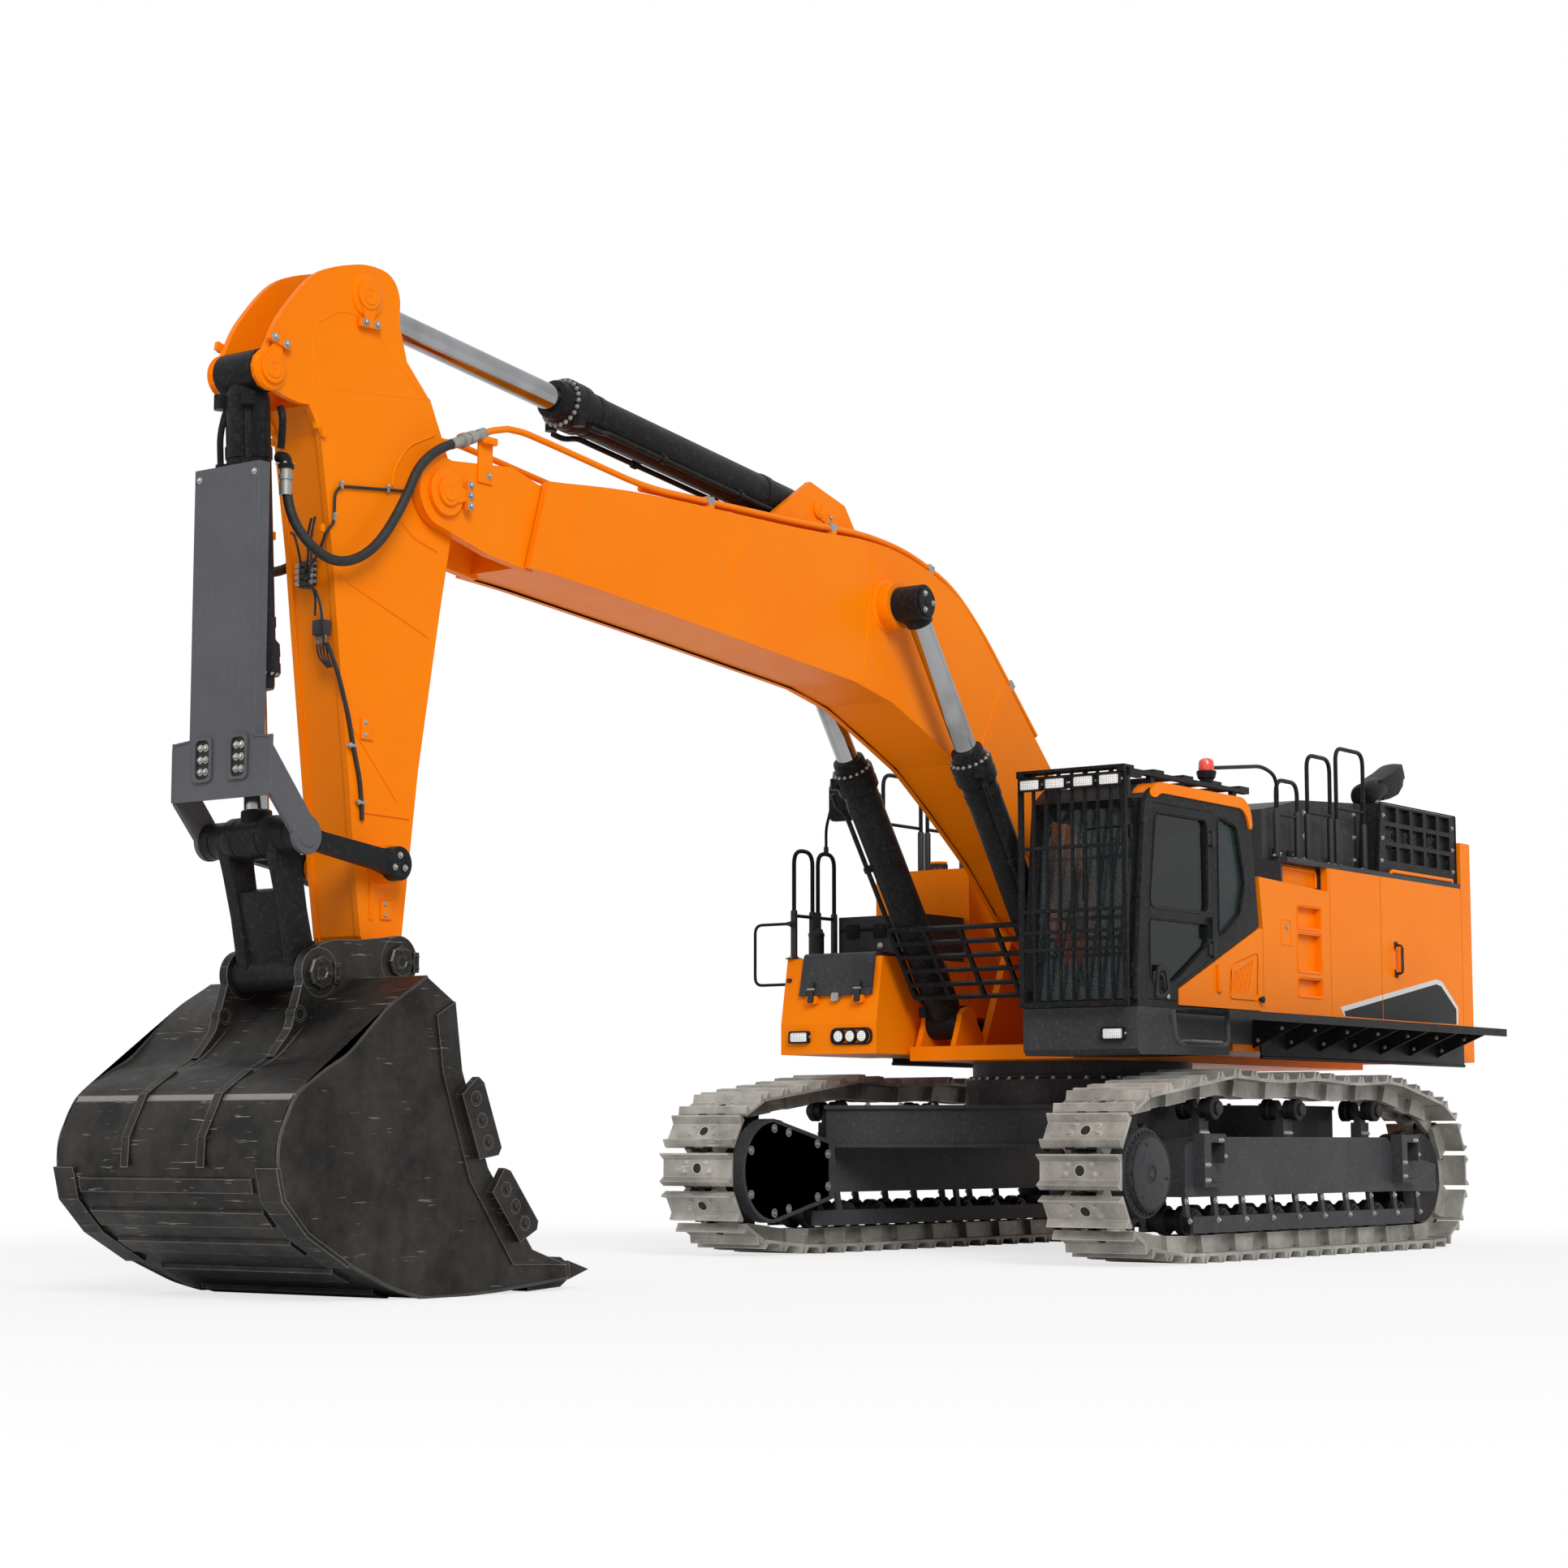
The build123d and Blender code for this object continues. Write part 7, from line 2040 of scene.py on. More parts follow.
@dataclass
class OperatorSeat:
    """Operator's seat with its cushions, belt, consoles and levers, with sizes in millimetres."""

    body: str = "upper_structure"
    y: float = CAB_Y
    console: Route = (
        (565, 2080), (900, 2120), (1135, 2330), (1135, 2420), (1040, 2460), (700, 2470), (565, 2440),
    )

    def cushion(self, name: str, rows: list[tuple[Point, Vector, Vector]], grid: int) -> bpy.types.Object:
        """Build a crowned cushion with sewn channels as a closed form.

        Args:
            name: Name of the piece.
            rows: Middle point, half-width direction and half-thickness direction of each cross-section.
            grid: Points across each cross-section's face.

        Returns:
            The cushion, which still rides on nothing.
        """
        form = Form(name)
        rings = []
        for middle, wide, thick in rows:
            ring = []
            for face in (1, -1):
                for step in range(grid):
                    u = (1 - 2 * step / (grid - 1)) * face
                    crown = 0.62 + 0.38 * (1 - abs(u) ** 3)
                    seam = 0.82 if 0.50 < abs(u) < 0.60 else 1.0
                    ring.append(Vector(middle) + u * wide + face * crown * seam * thick)
            rings.append(ring)
        form.skin(rings)
        bmesh.ops.subdivide_edges(form.mesh, edges=form.mesh.edges[:], cuts=1, use_grid_fill=True, smooth=0.6)
        return form.mesh_object(SEAT_CLOTH, 60)

    def cushions(self) -> None:
        """Build the padded cushion and backrest over the CAD seat."""
        y = self.y
        base, back = [], []
        for share in (0.0, 0.03, 0.08, 0.2, 0.35, 0.5, 0.52, 0.54, 0.7, 0.85, 0.94, 0.98, 1.0):
            pull = 0.55 if share in (0.0, 1.0) else 0.9 if share in (0.03, 0.98, 0.52) else 1.0
            wide = Vector((0, 250 * (0.94 + 0.06 * pull), 0))
            base.append(((505 + 530 * share, y, 2294), wide, Vector((0, 0, 68 * pull))))
        for share in (0.0, 0.03, 0.08, 0.2, 0.4, 0.42, 0.44, 0.6, 0.62, 0.64, 0.8, 0.93, 0.98, 1.0):
            pull = 0.55 if share in (0.0, 1.0) else 0.85 if share in (0.03, 0.98, 0.42, 0.62) else 1.0
            narrow = 1.0 if share < 0.6 else 1.0 - 0.35 * (share - 0.6) / 0.4
            middle = (498 - 50 * share, y, 2338 + 625 * share)
            back.append((middle, Vector((0, -245 * narrow, 0)), Vector((56 * pull, 0, 5))))
        for name, rows in (("seat_cushion", base), ("seat_backrest", back)):
            piece = self.cushion(name, rows, 19)
            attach(piece, self.body)
            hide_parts("operator_seat")

    def consoles(self) -> None:
        """Build the seat's base, the two consoles with their levers, and the belt."""
        y = self.y
        stand, belt = forms("seat_base_and_consoles seat_belt")
        stand.box((570, 1000), (y - 190, y + 190), (1892, 1960), 12)
        for step in range(5):
            rear = 580 + 6 * (step % 2)
            ring = rounded([(rear, y - 180), (990, y - 180), (990, y + 180), (580, y + 180)], 40)
            stand.plate(ring, Facing.Z, 1962 + 44 * step, 2000 + 44 * step, 6)
        for side in SIDES:
            low, high = limits(y + side * 277, y + side * 368)
            stand.plate(rounded(list(self.console), 40), Facing.Y, low, high, 10)
            stand.box((600, 900), (low + 8, high - 8), (2472, 2526), 16)
            stand.pipe(
                [(1070, y + side * 322, 2440), (1082, y + side * 322, 2500), (1100, y + side * 322, 2526)],
                13, 20,
            )
            belt.pipe(
                [(560, y + side * 235, 2360), (700, y + side * 246, 2390), (860, y + side * 215, 2385)],
                14, 60, 8,
            )
        belt.plate([(650, 2380), (700, 2380), (560, 2960), (520, 2960)], Facing.Y, y + 246, y + 251, 1)
        finish_all(self.body, {stand: TRIM, belt: RED_BELT})

    def build(self) -> None:
        """Build the seat and what stands beside it."""
        self.cushions()
        self.consoles()


@dataclass
class Cab:
    """Window seals, door handle, roof edge, wiper, guard brackets and steering column, in millimetres."""

    body: str = "upper_structure"
    door: str = "cab_door_leaf"
    side_y: float = SIDE_Y
    upper_window: Route = ((1020, 2570), (1870, 2570), (1760, 3250), (1020, 3250))
    lower_window: Route = ((1550, 2030), (1870, 2030), (1870, 2470), (1020, 2470), (1020, 2310))
    rear_window: Route = ((820, 2390), (820, 3300), (550, 3240), (430, 2830), (510, 2590))

    def seals(self) -> None:
        """Add rounded rubber seals that hide the windows' square corners."""
        door, shell = forms("door_window_seals rear_window_seal")
        y = self.side_y
        for form, window, radius in (
            (door, self.upper_window, 90), (door, self.lower_window, 80), (shell, self.rear_window, 90)
        ):
            corners = list(window)
            outer = rounded(grown(corners, 22), radius + 10, 6)
            inner = rounded(grown(corners, -14), radius, 6)
            form.border(outer, inner, Facing.Y, y - 22, y + 7)
        door.done(self.door, TRIM)
        shell.done(self.body, TRIM)

    def fairing(self) -> None:
        """Add the orange edge of the roof over the door and the black pillar roll before it."""
        edge, roll = forms("cab_roof_fairing cab_pillar_rolls")
        line = [
            (1905, 3380), (1780, 3478), (430, 3478), (322, 3392), (300, 3250), (345, 3236), (380, 3330),
            (460, 3392), (1720, 3400), (1800, 3352),
        ]
        edge.plate(rounded(line, 60), Facing.Y, 1560, 1716, 8)
        roll.pipe(
            [
                (2092, 1688, 1880), (2096, 1688, 1990), (1950, 1688, 3320), (1860, 1688, 3400),
                (1760, 1690, 3430),
            ],
            24, 120, 18,
        )
        for z, x in ((2080, 2095), (2640, 2034), (3180, 1973)):
            roll.box((x - 34, x + 30), (1676, 1716), (z - 24, z + 24), 8)
        finish_all(self.body, {edge: ORANGE, roll: BLACK})

    def fittings(self) -> None:
        """Add the handle, hinges, lock, wiper and guard brackets."""
        handle, steel, brackets, glass = forms("cab_door_handle cab_door_lock cab_guard_brackets cab_wiper")
        y = self.side_y
        handle.border(
            rounded([(1600, 1930), (1740, 1900), (1830, 1900), (1800, 2120), (1740, 2150), (1640, 2130)], 30),
            rounded([(1650, 1960), (1730, 1930), (1790, 1935), (1768, 2090), (1730, 2105), (1680, 2095)], 24),
            Facing.Y, y - 4, y + 12,
        )
        handle.pipe(
            [(1768, y + 6, 2080), (1740, y + 22, 2060), (1716, y + 22, 1990), (1700, y + 6, 1960)], 11, 16
        )
        for z in (2290, 3120):
            handle.rod((932, y + 10, z - 60), (932, y + 10, z + 60), 20, 18)
            handle.box((940, 1010), (y, y + 12), (z - 45, z + 45), 5)
        steel.lathe(
            (1640, y, 1915), (1640, y + 20, 1915), [(0, 20), (10, 20), (14, 15), (14, 5), (10, 3)], 20
        )
        for z in (2090, 3090):
            brackets.box((2090, 2152), (1640, 1668), (z - 26, z + 26), 5)
            brackets.rod((2110, 1676, z - 50), (2110, 1676, z + 50), 17, 16)
        brackets.pipe([(2060, 1640, 3130), (2120, 1500, 3130), (2126, 1300, 3120), (2126, 1290, 2600)], 9, 50)
        brackets.box((2100, 2176), (1622, 1680), (3330, 3560), 10)
        brackets.box((2154, 2182), (772, 1678), (1838, 1872), 4)
        for z_low in (1960, 2330):
            brackets.pipe(
                [
                    (2092, 1600, z_low), (2118, 1660, z_low + 20), (2128, 1660, z_low + 170),
                    (2100, 1620, z_low + 190),
                ],
                8, 30,
            )
        glass.pipe([(2070, 1240, 1990), (2066, 1200, 2120), (1990, 1130, 2760)], 7, 30)
        glass.pipe([(2072, 1060, 2140), (1998, 1150, 2860)], 10)
        finish_all(self.door, {handle: TRIM, steel: BOLT_STEEL})
        finish_all(self.body, {brackets: BLACK, glass: TRIM})

    def column(self) -> None:
        """Add the steering column with its wheel, and the display beside it."""
        wheel = Form("steering_column")
        wheel.pipe([(1640, CAB_Y, 1895), (1600, CAB_Y, 2200), (1500, CAB_Y, 2480)], 38, 60, 14)
        hub, turn = Vector((1495, CAB_Y, 2500)), Vector((-0.5, 0, 0.87)).normalized()
        across, other = Vector((0, 1, 0)), turn.cross(Vector((0, 1, 0)))
        turns = [math.tau * k / 8 for k in range(8)]
        rings = []
        for index in range(28):
            angle = math.tau * index / 28
            out = math.cos(angle) * across + math.sin(angle) * other
            rings.append([hub + 175 * out + 14 * (math.cos(b) * out + math.sin(b) * turn) for b in turns])
        wheel.skin(rings, True)
        for angle in (0.5, 2.6, 4.7):
            wheel.pipe([hub, hub + 172 * (math.cos(angle) * across + math.sin(angle) * other)], 11, sides=8)
        wheel.box((1560, 1640), (1500, 1600), (2300, 2560), 10)
        wheel.done(self.body, TRIM)

    def build(self) -> None:
        """Build every fitting of the cab."""
        self.seals()
        self.fairing()
        self.fittings()
        self.column()


# ---------------------------------------------------------------- house, rails and right front
@dataclass(frozen=True)
class RailLoop:
    """One bent-tube loop of a handrail: its plane, ends and heights in millimetres."""

    y: float
    front: float
    rear: float
    foot: float
    top: float
    middle: float

    def add(self, tubes: Form, sockets: Form, bolts: Form) -> None:
        """Add the loop, its middle bar and its two sockets.

        Args:
            tubes: Piece of the bent tubes.
            sockets: Piece of the thick lower sockets.
            bolts: Piece of the bolts.
        """
        y = self.y
        tubes.pipe(
            [
                (self.front, y, self.foot), (self.front, y, self.top), (self.rear, y, self.top),
                (self.rear, y, self.foot),
            ],
            17, 110, 16,
        )
        tubes.rod((self.rear, y, self.middle + 8), (self.front, y, self.middle + 8), 14, 14)
        for x in (self.front, self.rear):
            sockets.lathe(
                (x, y, self.foot), (x, y, self.foot + 400), [(0, 24), (0, 27), (380, 27), (392, 22)], 18
            )
            sockets.box((x - 62, x + 62), (y - 38, y + 38), (self.foot, self.foot + 12), 3)
            for shift in (-46, 46):
                bolts.bolt((x + shift, y, self.foot + 12), (0, 0, 1), 20)


@dataclass
class Rails:
    """Handrails of both sides, the beacon's rail and the small rail of the grille."""

    body: str = "upper_structure"
    left: tuple[RailLoop, ...] = (
        RailLoop(1590, -340, -700, 3080, 3700, 3420),
        RailLoop(1590, -880, -1285, 3080, 3950, 3480),
        RailLoop(1590, -1400, -1900, 3080, 4060, 3560),
    )
    right: tuple[RailLoop, ...] = (
        RailLoop(-1660, 1640, 1390, 2300, 3170, 2640),
        RailLoop(-1660, 1315, 1090, 2300, 3170, 2640),
        RailLoop(-1660, 380, -180, 3070, 3900, 3480),
        RailLoop(-1660, -280, -820, 3070, 3900, 3480),
    )

    def build(self) -> None:
        """Build all the rails."""
        for name, loops in (("left", self.left), ("right", self.right)):
            tubes, sockets, bolts = forms(
                f"handrail_tubes_{name} handrail_sockets_{name} handrail_bolts_{name}"
            )
            for loop in loops:
                loop.add(tubes, sockets, bolts)
            tubes.done(self.body, BLACK, f"handrails_{name}")
            finish_all(self.body, {sockets: TRIM, bolts: BOLT_STEEL})
        extra, small, ends = forms("beacon_rail grille_rail grille_rail_feet")
        extra.pipe(
            [(700, 1600, 3690), (-95, 1600, 3780), (-340, 1600, 3720), (-345, 1595, 3400)], 15, 130, 14
        )
        small.pipe(
            [(-2180, 1668, 3050), (-2180, 1700, 3100), (-3390, 1700, 3100), (-3390, 1668, 3050)], 15, 60, 14
        )
        for x in (-2180, -3390):
            ends.lathe((x, 1664, 3048), (x, 1676, 3048), [(0, 34), (6, 34), (10, 28)], 24)
            ends.bolt((x, 1674, 3066), (0, 1, 0), 15)
            ends.bolt((x, 1674, 3030), (0, 1, 0), 15)
        finish_all(self.body, {extra: BLACK, small: ORANGE, ends: BOLT_STEEL})


@dataclass
class House:
    """Stripe, doors' fittings, grille, hood, exhaust and catwalk trim, with sizes in millimetres."""

    body: str = "upper_structure"
    rear_leaf: str = "rear_door_leaf"
    side_y: float = SIDE_Y
    seam_x: float = -1960.0
    stripe_front: Flat = (-1175, 1935)
    stripe_peak: Flat = (-3010, 2235)

    def stripe_point(self, x: float, gap: float) -> Flat:
        """Give the point of the stripe's upper edge at an x, a gap under that edge."""
        (front, low), (peak, high) = self.stripe_front, self.stripe_peak
        return (x, low + (x - front) * ((high - low) / (peak - front)) - gap)

    def stripe(self, name: str, gap: float) -> Outline:
        """Give the outline of one half of the stripe.

        Args:
            name: "rear" for the half on the rear door and "front" for the one before it.
            gap: Distance inside the stripe's edge.

        Returns:
            (x, z) corners.
        """
        if name == "front":
            first, seam = self.stripe_front[0] - (70 if gap else 0), self.seam_x + 8
            foot = (-1262 if gap else -1245, 1866)
            return [self.stripe_point(first, gap), self.stripe_point(seam, gap), (seam, 1864), foot]
        seam = self.seam_x - 6
        tail = [(-3125 + gap * 0.4, 2220 - gap), (-3445 + gap, 2010 - gap * 0.4), (-3435 + gap * 0.8, 1864)]
        peak = self.stripe_point(self.stripe_peak[0], gap)
        return [self.stripe_point(seam, gap), peak, *tail, (seam, 1864)]

    def stripes(self) -> None:
        """Lay the dark wedge stripe with its pale border over the rear door and the panel before it."""
        for name, leaf in (("rear", self.rear_leaf), ("front", self.body)):
            for coat, part, gap, depth in ((PALE, "border", 0, 1.0), (TRIM, "field", 42, 2.0)):
                form = Form(f"stripe_{part}_{name}")
                form.plate(self.stripe(name, gap), Facing.Y, self.side_y - 1, self.side_y + depth)
                form.done(leaf, coat)

    def doors(self) -> None:
        """Add handles, keyhole plate, knob, louvre frame, hinge and pocket rims."""
        handle, rims, steel, dark = forms(
            "rear_door_handle stair_pocket_rims panel_locks service_door_handle"
        )
        louvre, knob = forms("wedge_louvre_frame wedge_door_knob")
        y = self.side_y
        for form, side in ((handle, 1), (dark, -1)):
            form.pipe(
                [
                    (-2222, side * (y - 2), 2480), (-2222, side * (y + 58), 2476),
                    (-2222, side * (y + 58), 2254), (-2222, side * (y - 2), 2250),
                ],
                15, 36, 14,
            )
            for z in (2250, 2480):
                form.box((-2250, -2196), limits(side * y, side * (y + 12)), (z - 34, z + 34), 6)
        for low, high in ((2005, 2135), (2200, 2485), (2540, 2700)):
            corners = rect(-855, -455, low - 5, high + 5)
            rims.border(
                rounded(grown(corners, 14), 30, 5), rounded(grown(corners, -8), 26, 5), Facing.Y, y - 12,
                y + 6,
            )
        plate = rect(-330, -190, 2400, 2580)
        rims.border(rounded(plate, 16, 4), rounded(grown(plate, -16), 14, 4), Facing.Y, y - 2, y + 5)
        rims.done(self.body, ORANGE)
        steel.lathe((-262, y, 2530), (-262, y + 12, 2530), [(0, 20), (8, 20), (12, 15), (12, 4), (8, 3)], 20)
        steel.done(self.body, BOLT_STEEL)
        corners = [(268, 1950), (672, 1950), (640, 2180), (240, 2290)]
        louvre.border(
            rounded(grown(corners, 14), 46, 6), rounded(grown(corners, -14), 36, 6), Facing.Y, y - 2, y + 9
        )
        louvre.box((838, 892), (y, y + 26), (1975, 2185), 10)
        louvre.done("wedge_door_leaf", ORANGE)
        knob.lathe((205, y, 1945), (205, y + 40, 1945), [(0, 16), (22, 16), (24, 26), (36, 26), (40, 20)], 24)
        knob.done("wedge_door_leaf", TRIM)
        handle.done(self.rear_leaf, TRIM)
        dark.done("service_door_leaf", TRIM)

    def hood(self) -> None:
        """Add the grille's rim, fan rings, hood seams and bolts."""
        rim, fans, bolts, boxes = forms("grille_rim grille_fans hood_bolts hood_latches")
        low, high = 3085, 3658
        y = 1670
        outline = [(-3528, low), (-2002, low), (-2070, high), (-3528, high)]
        rim.border(
            rounded(grown(outline, 8), 24, 4), rounded(grown(outline, -14), 20, 4), Facing.Y, y - 20, y + 6
        )
        for x in (-3150, -2680, -2330):
            for radius in (118, 84, 40):
                fans.ring((x, y - 38, 3400), (x, y - 30, 3400), radius, radius - 9, 40)
            for angle in range(0, 360, 45):
                turn = math.radians(angle)
                fans.pipe(
                    [
                        (x + 34 * math.cos(turn), y - 34, 3400 + 34 * math.sin(turn)),
                        (x + 114 * math.cos(turn + 0.4), y - 34, 3400 + 114 * math.sin(turn + 0.4)),
                    ],
                    9, sides=8,
                )
        for x in (-3490, -2110):
            for z in (3180, 3370, 3560):
                bolts.bolt((x + (26 if x < -3000 else 66 - (z - 3085) * 0.12), y + 1, z), (0, 1, 0), 22)
        for z in (3180, 3370, 3560):
            bolts.bolt((-1935, 1481, z), (0, 1, 0), 26)
            bolts.bolt((-1030, 1481, z - 60), (0, 1, 0), 26)
        for x in (-520, -760, -1500):
            boxes.box((x - 50, x + 50), (1480, 1520), (3090, 3170), 8)
            bolts.bolt((x, 1520, 3130), (0, 1, 0), 22)
        boxes.plate([(-1960, 3082), (-1975, 3652), (-1955, 3652), (-1940, 3082)], Facing.Y, 1478, 1484, 1)
        finish_all(self.body, {rim: BLACK, fans: GREY, boxes: TRIM, bolts: BOLT_STEEL})

    def exhaust(self) -> None:
        """Replace the exhaust with a round stack and a hooded outlet."""
        pipe, strap = forms("exhaust_stack exhaust_clamp")
        x, y = -2900, 1150
        pipe.box((x - 200, x + 200), (y - 130, y + 130), (3661, 3720), 10)
        pipe.lathe((x, y, 3715), (x, y, 3900), [(0, 104), (16, 96), (24, 82), (185, 82)], 40)
        start, end = Vector((x + 130, y, 3800)), Vector((x - 560, y, 4028))
        pipe.lathe(start, end, [(0, 40), (12, 92), (40, 109), (330, 109), (350, 100)], 44)
        rows = []
        for share, half, low, high in (
            (0, 96, -96, 96), (0.2, 109, -108, 108), (0.6, 109, -112, 116), (0.86, 108, -60, 132),
            (1.0, 100, 40, 136),
        ):
            middle = start.lerp(end, 0.36) + share * Vector((-440, 0, 146))
            ring = []
            for k in range(16):
                angle = math.tau * k / 16
                c, s = math.cos(angle), math.sin(angle)
                reach = max(abs(c), abs(s)) ** 0.75
                across, rise = half * c / reach, s / reach
                height = high * rise if rise > 0 else -low * rise
                ring.append(middle + Vector((0, across, 0)) + Vector((0.31, 0, 0.95)) * height)
            rows.append(ring)
        pipe.skin(rows)
        strap.ring((x, y, 3762), (x, y, 3786), 92, 80, 40)
        strap.bolt((x, y + 92, 3774), (0, 1, 0), 18)
        pipe.done(self.body, BLACK, "exhaust")
        strap.done(self.body, BOLT_STEEL)

    def catwalks(self) -> None:
        """Add the catwalks' rolled edge, bracket bolts and the step loop before the cab."""
        edge, bolts, step = forms("catwalk_edges catwalk_bolts cab_step_loop")
        tread, studs = forms("cab_step_tread cab_step_studs")
        for side, front in ((1, 1545), (-1, 330)):
            edge.pipe([(-3410, side * 2141, 1806), (front, side * 2141, 1806)], 8, sides=8)
            edge.pipe([(-3410, side * 2144, 1757), (front, side * 2144, 1757)], 6, sides=8)
            for index in range(7):
                x = -3000 + index * (320 + 3000) / 6
                for y, z in ((1745, 1630), (1950, 1720), (2080, 1775)):
                    bolts.bolt((x + 14, side * y, z), (1, 0, 0), 19)
                    bolts.bolt((x, side * y, z), (-1, 0, 0), 19)
        step.pipe(
            [
                (1440, 2080, 1800), (1440, 2080, 1590), (1480, 2080, 1560), (1990, 1990, 1560),
                (2030, 1980, 1600), (2030, 1960, 1800),
            ],
            17, 60, 16,
        )
        tread.box((1500, 1960), (1960, 2090), (1566, 1580), 3)
        for index in range(14):
            studs.rod((1520 + 32 * index, 1975, 1582), (1520 + 32 * index, 2078, 1582), 5, 8)
        finish_all(self.body, {edge: BLACK, bolts: BOLT_STEEL, step: GREY, tread: GREY, studs: BOLT_STEEL})

    def build(self) -> None:
        """Build every fitting of the house."""
        self.stripes()
        self.doors()
        self.hood()
        self.exhaust()
        self.catwalks()


@dataclass
class RightFront:
    """Toolbox lid's window, latches and key plate, tank cap and mirrors, with sizes in millimetres."""

    body: str = "upper_structure"
    lid: str = "toolbox_lid_leaf"

    def front(self, z: float, off: float = 0.0) -> float:
        """Give x of the lid's leaning front face at a height, plus an offset."""
        return 1705.6 + (2300 - z) * 90 / 524 + off

    def leaning(self, form: Form, outline: Outline, low: float, high: float) -> None:
        """Add a plate to the leaning front face.

        Args:
            form: Piece that the plate belongs to.
            outline: (y, z) corners.
            low: Lower height off the face.
            high: Upper height off the face.
        """
        form.skin([[Vector((self.front(z, off), y, z)) for y, z in outline] for off in (low, high)])

    def lid_fittings(self) -> None:
        """Add the toolbox lid's window, latches and key plate."""
        window, latches, pins, brackets = forms("lid_window lid_latches lid_latch_pins lid_latch_brackets")
        self.leaning(window, rounded(rect(-1010, -840, 2060, 2250), 16, 3), -2, 4)
        for y in (-1400, -960):
            self.leaning(brackets, rounded(rect(y - 48, y + 48, 1935, 1998), 10, 3), -30, 10)
            self.leaning(
                latches,
                rounded([(y - 26, 1945), (y + 26, 1945), (y + 20, 2110), (y - 20, 2110)], 12, 3),
                4, 26,
            )
            pins.rod((self.front(2050, 26), y - 34, 2050), (self.front(2050, 26), y + 34, 2050), 9, 12)
        self.leaning(pins, rounded(rect(-1215, -1150, 1955, 2020), 10, 3), -30, 4)
        finish_all(self.lid, {window: TRIM, latches: TRIM, pins: BOLT_STEEL})
        brackets.done(self.body, ORANGE)

    def tank_and_box(self) -> None:
        """Add the tank's cap and the battery box's hinge and button."""
        cap, hinge, button = forms("tank_cap battery_box_hinge battery_box_button")
        cap.lathe(
            (170, -1250, 3068), (170, -1250, 3170),
            [(0, 86), (20, 86), (24, 68), (70, 70), (86, 66), (92, 50), (92, 10)],
            32,
        )
        for angle in range(0, 360, 30):
            turn = math.radians(angle)
            cap.rod(
                (170 + 69 * math.cos(turn), -1250 + 69 * math.sin(turn), 3094),
                (170 + 69 * math.cos(turn), -1250 + 69 * math.sin(turn), 3140),
                6, 8,
            )
        hinge.rod((1054, -1630, 2560), (1054, -840, 2560), 13, 14)
        for y in (-1500, -1235, -970):
            hinge.box((1048, 1066), (y - 60, y + 60), (2490, 2600), 5)
        button.lathe((1050, -1235, 2420), (1075, -1235, 2420), [(0, 30), (8, 30), (14, 24), (20, 10)], 24)
        finish_all(self.body, {cap: TRIM, hinge: BLACK, button: BOLT_STEEL})

    def mirrors(self) -> None:
        """Replace the mirrors with rounded ones on bent tubes, and add the grease canister."""
        tubes, glass, clamps = forms("mirror_tubes mirror_face mirror_clamps")
        tubes.pipe(
            [(1700, -1655, 2580), (1700, -2000, 2580), (1700, -2000, 2100), (1700, -1702, 2100)], 12, 70, 14
        )
        tubes.pipe(
            [(1200, -1660, 3188), (1200, -1660, 3380), (1300, -1530, 3560), (1420, -1370, 3640)], 12, 60, 14
        )
        tubes.plate(rounded(rect(-1458, -1222, 3402, 3718), 44, 6), Facing.X, 1400, 1444, 14)
        glass.plate(rounded(rect(-1446, -1234, 3414, 3706), 38, 6), Facing.X, 1396, 1402)
        for z in (2580, 2130):
            clamps.rod((1660, -1660, z - 22), (1660, -1660, z + 22), 26, 18)
            clamps.box((1640, 1716), (-1680, -1640), (z - 16, z + 16), 6)
        clamps.rod((1200, -1660, 3172), (1200, -1660, 3230), 20, 18)
        tubes.done(self.body, BLACK, "mirrors")
        finish_all(self.body, {glass: CHROME, clamps: TRIM})
        canister = Form("grease_canister")
        canister.lathe(
            (1350, -1650, 2304), (1350, -1650, 2620),
            [(0, 40), (0, 62), (190, 62), (196, 66), (216, 66), (222, 58), (250, 50), (262, 20)],
            32,
        )
        canister.done(self.body, TRIM)

    def build(self) -> None:
        """Build every fitting of the right front corner."""
        self.lid_fittings()
        self.tank_and_box()
        self.mirrors()


# ---------------------------------------------------------------- smooth skins
def smooth_line(points: Outline, steps: int = 6, low: float = -1e6) -> Outline:
    """Run a smooth curve through an outline's corners.

    Args:
        points: Corners, from end to end.
        steps: Segments between two corners.
        low: Height that the curve never goes under.

    Returns:
        Points of the curve.
    """
    stops = [Vector(p) for p in points]
    stops = [2 * stops[0] - stops[1], *stops, 2 * stops[-1] - stops[-2]]
    line = []
    for before, here, after, beyond in zip(stops, stops[1:], stops[2:], stops[3:]):
        for step in range(steps):
            t = step / steps
            point = 0.5 * (
                2 * here
                + (after - before) * t
                + (2 * before - 5 * here + 4 * after - beyond) * t**2
                + (3 * here - before - 3 * after + beyond) * t**3
            )
            line.append((point.x, max(point.y, low)))
    return line + [tuple(stops[-2])]


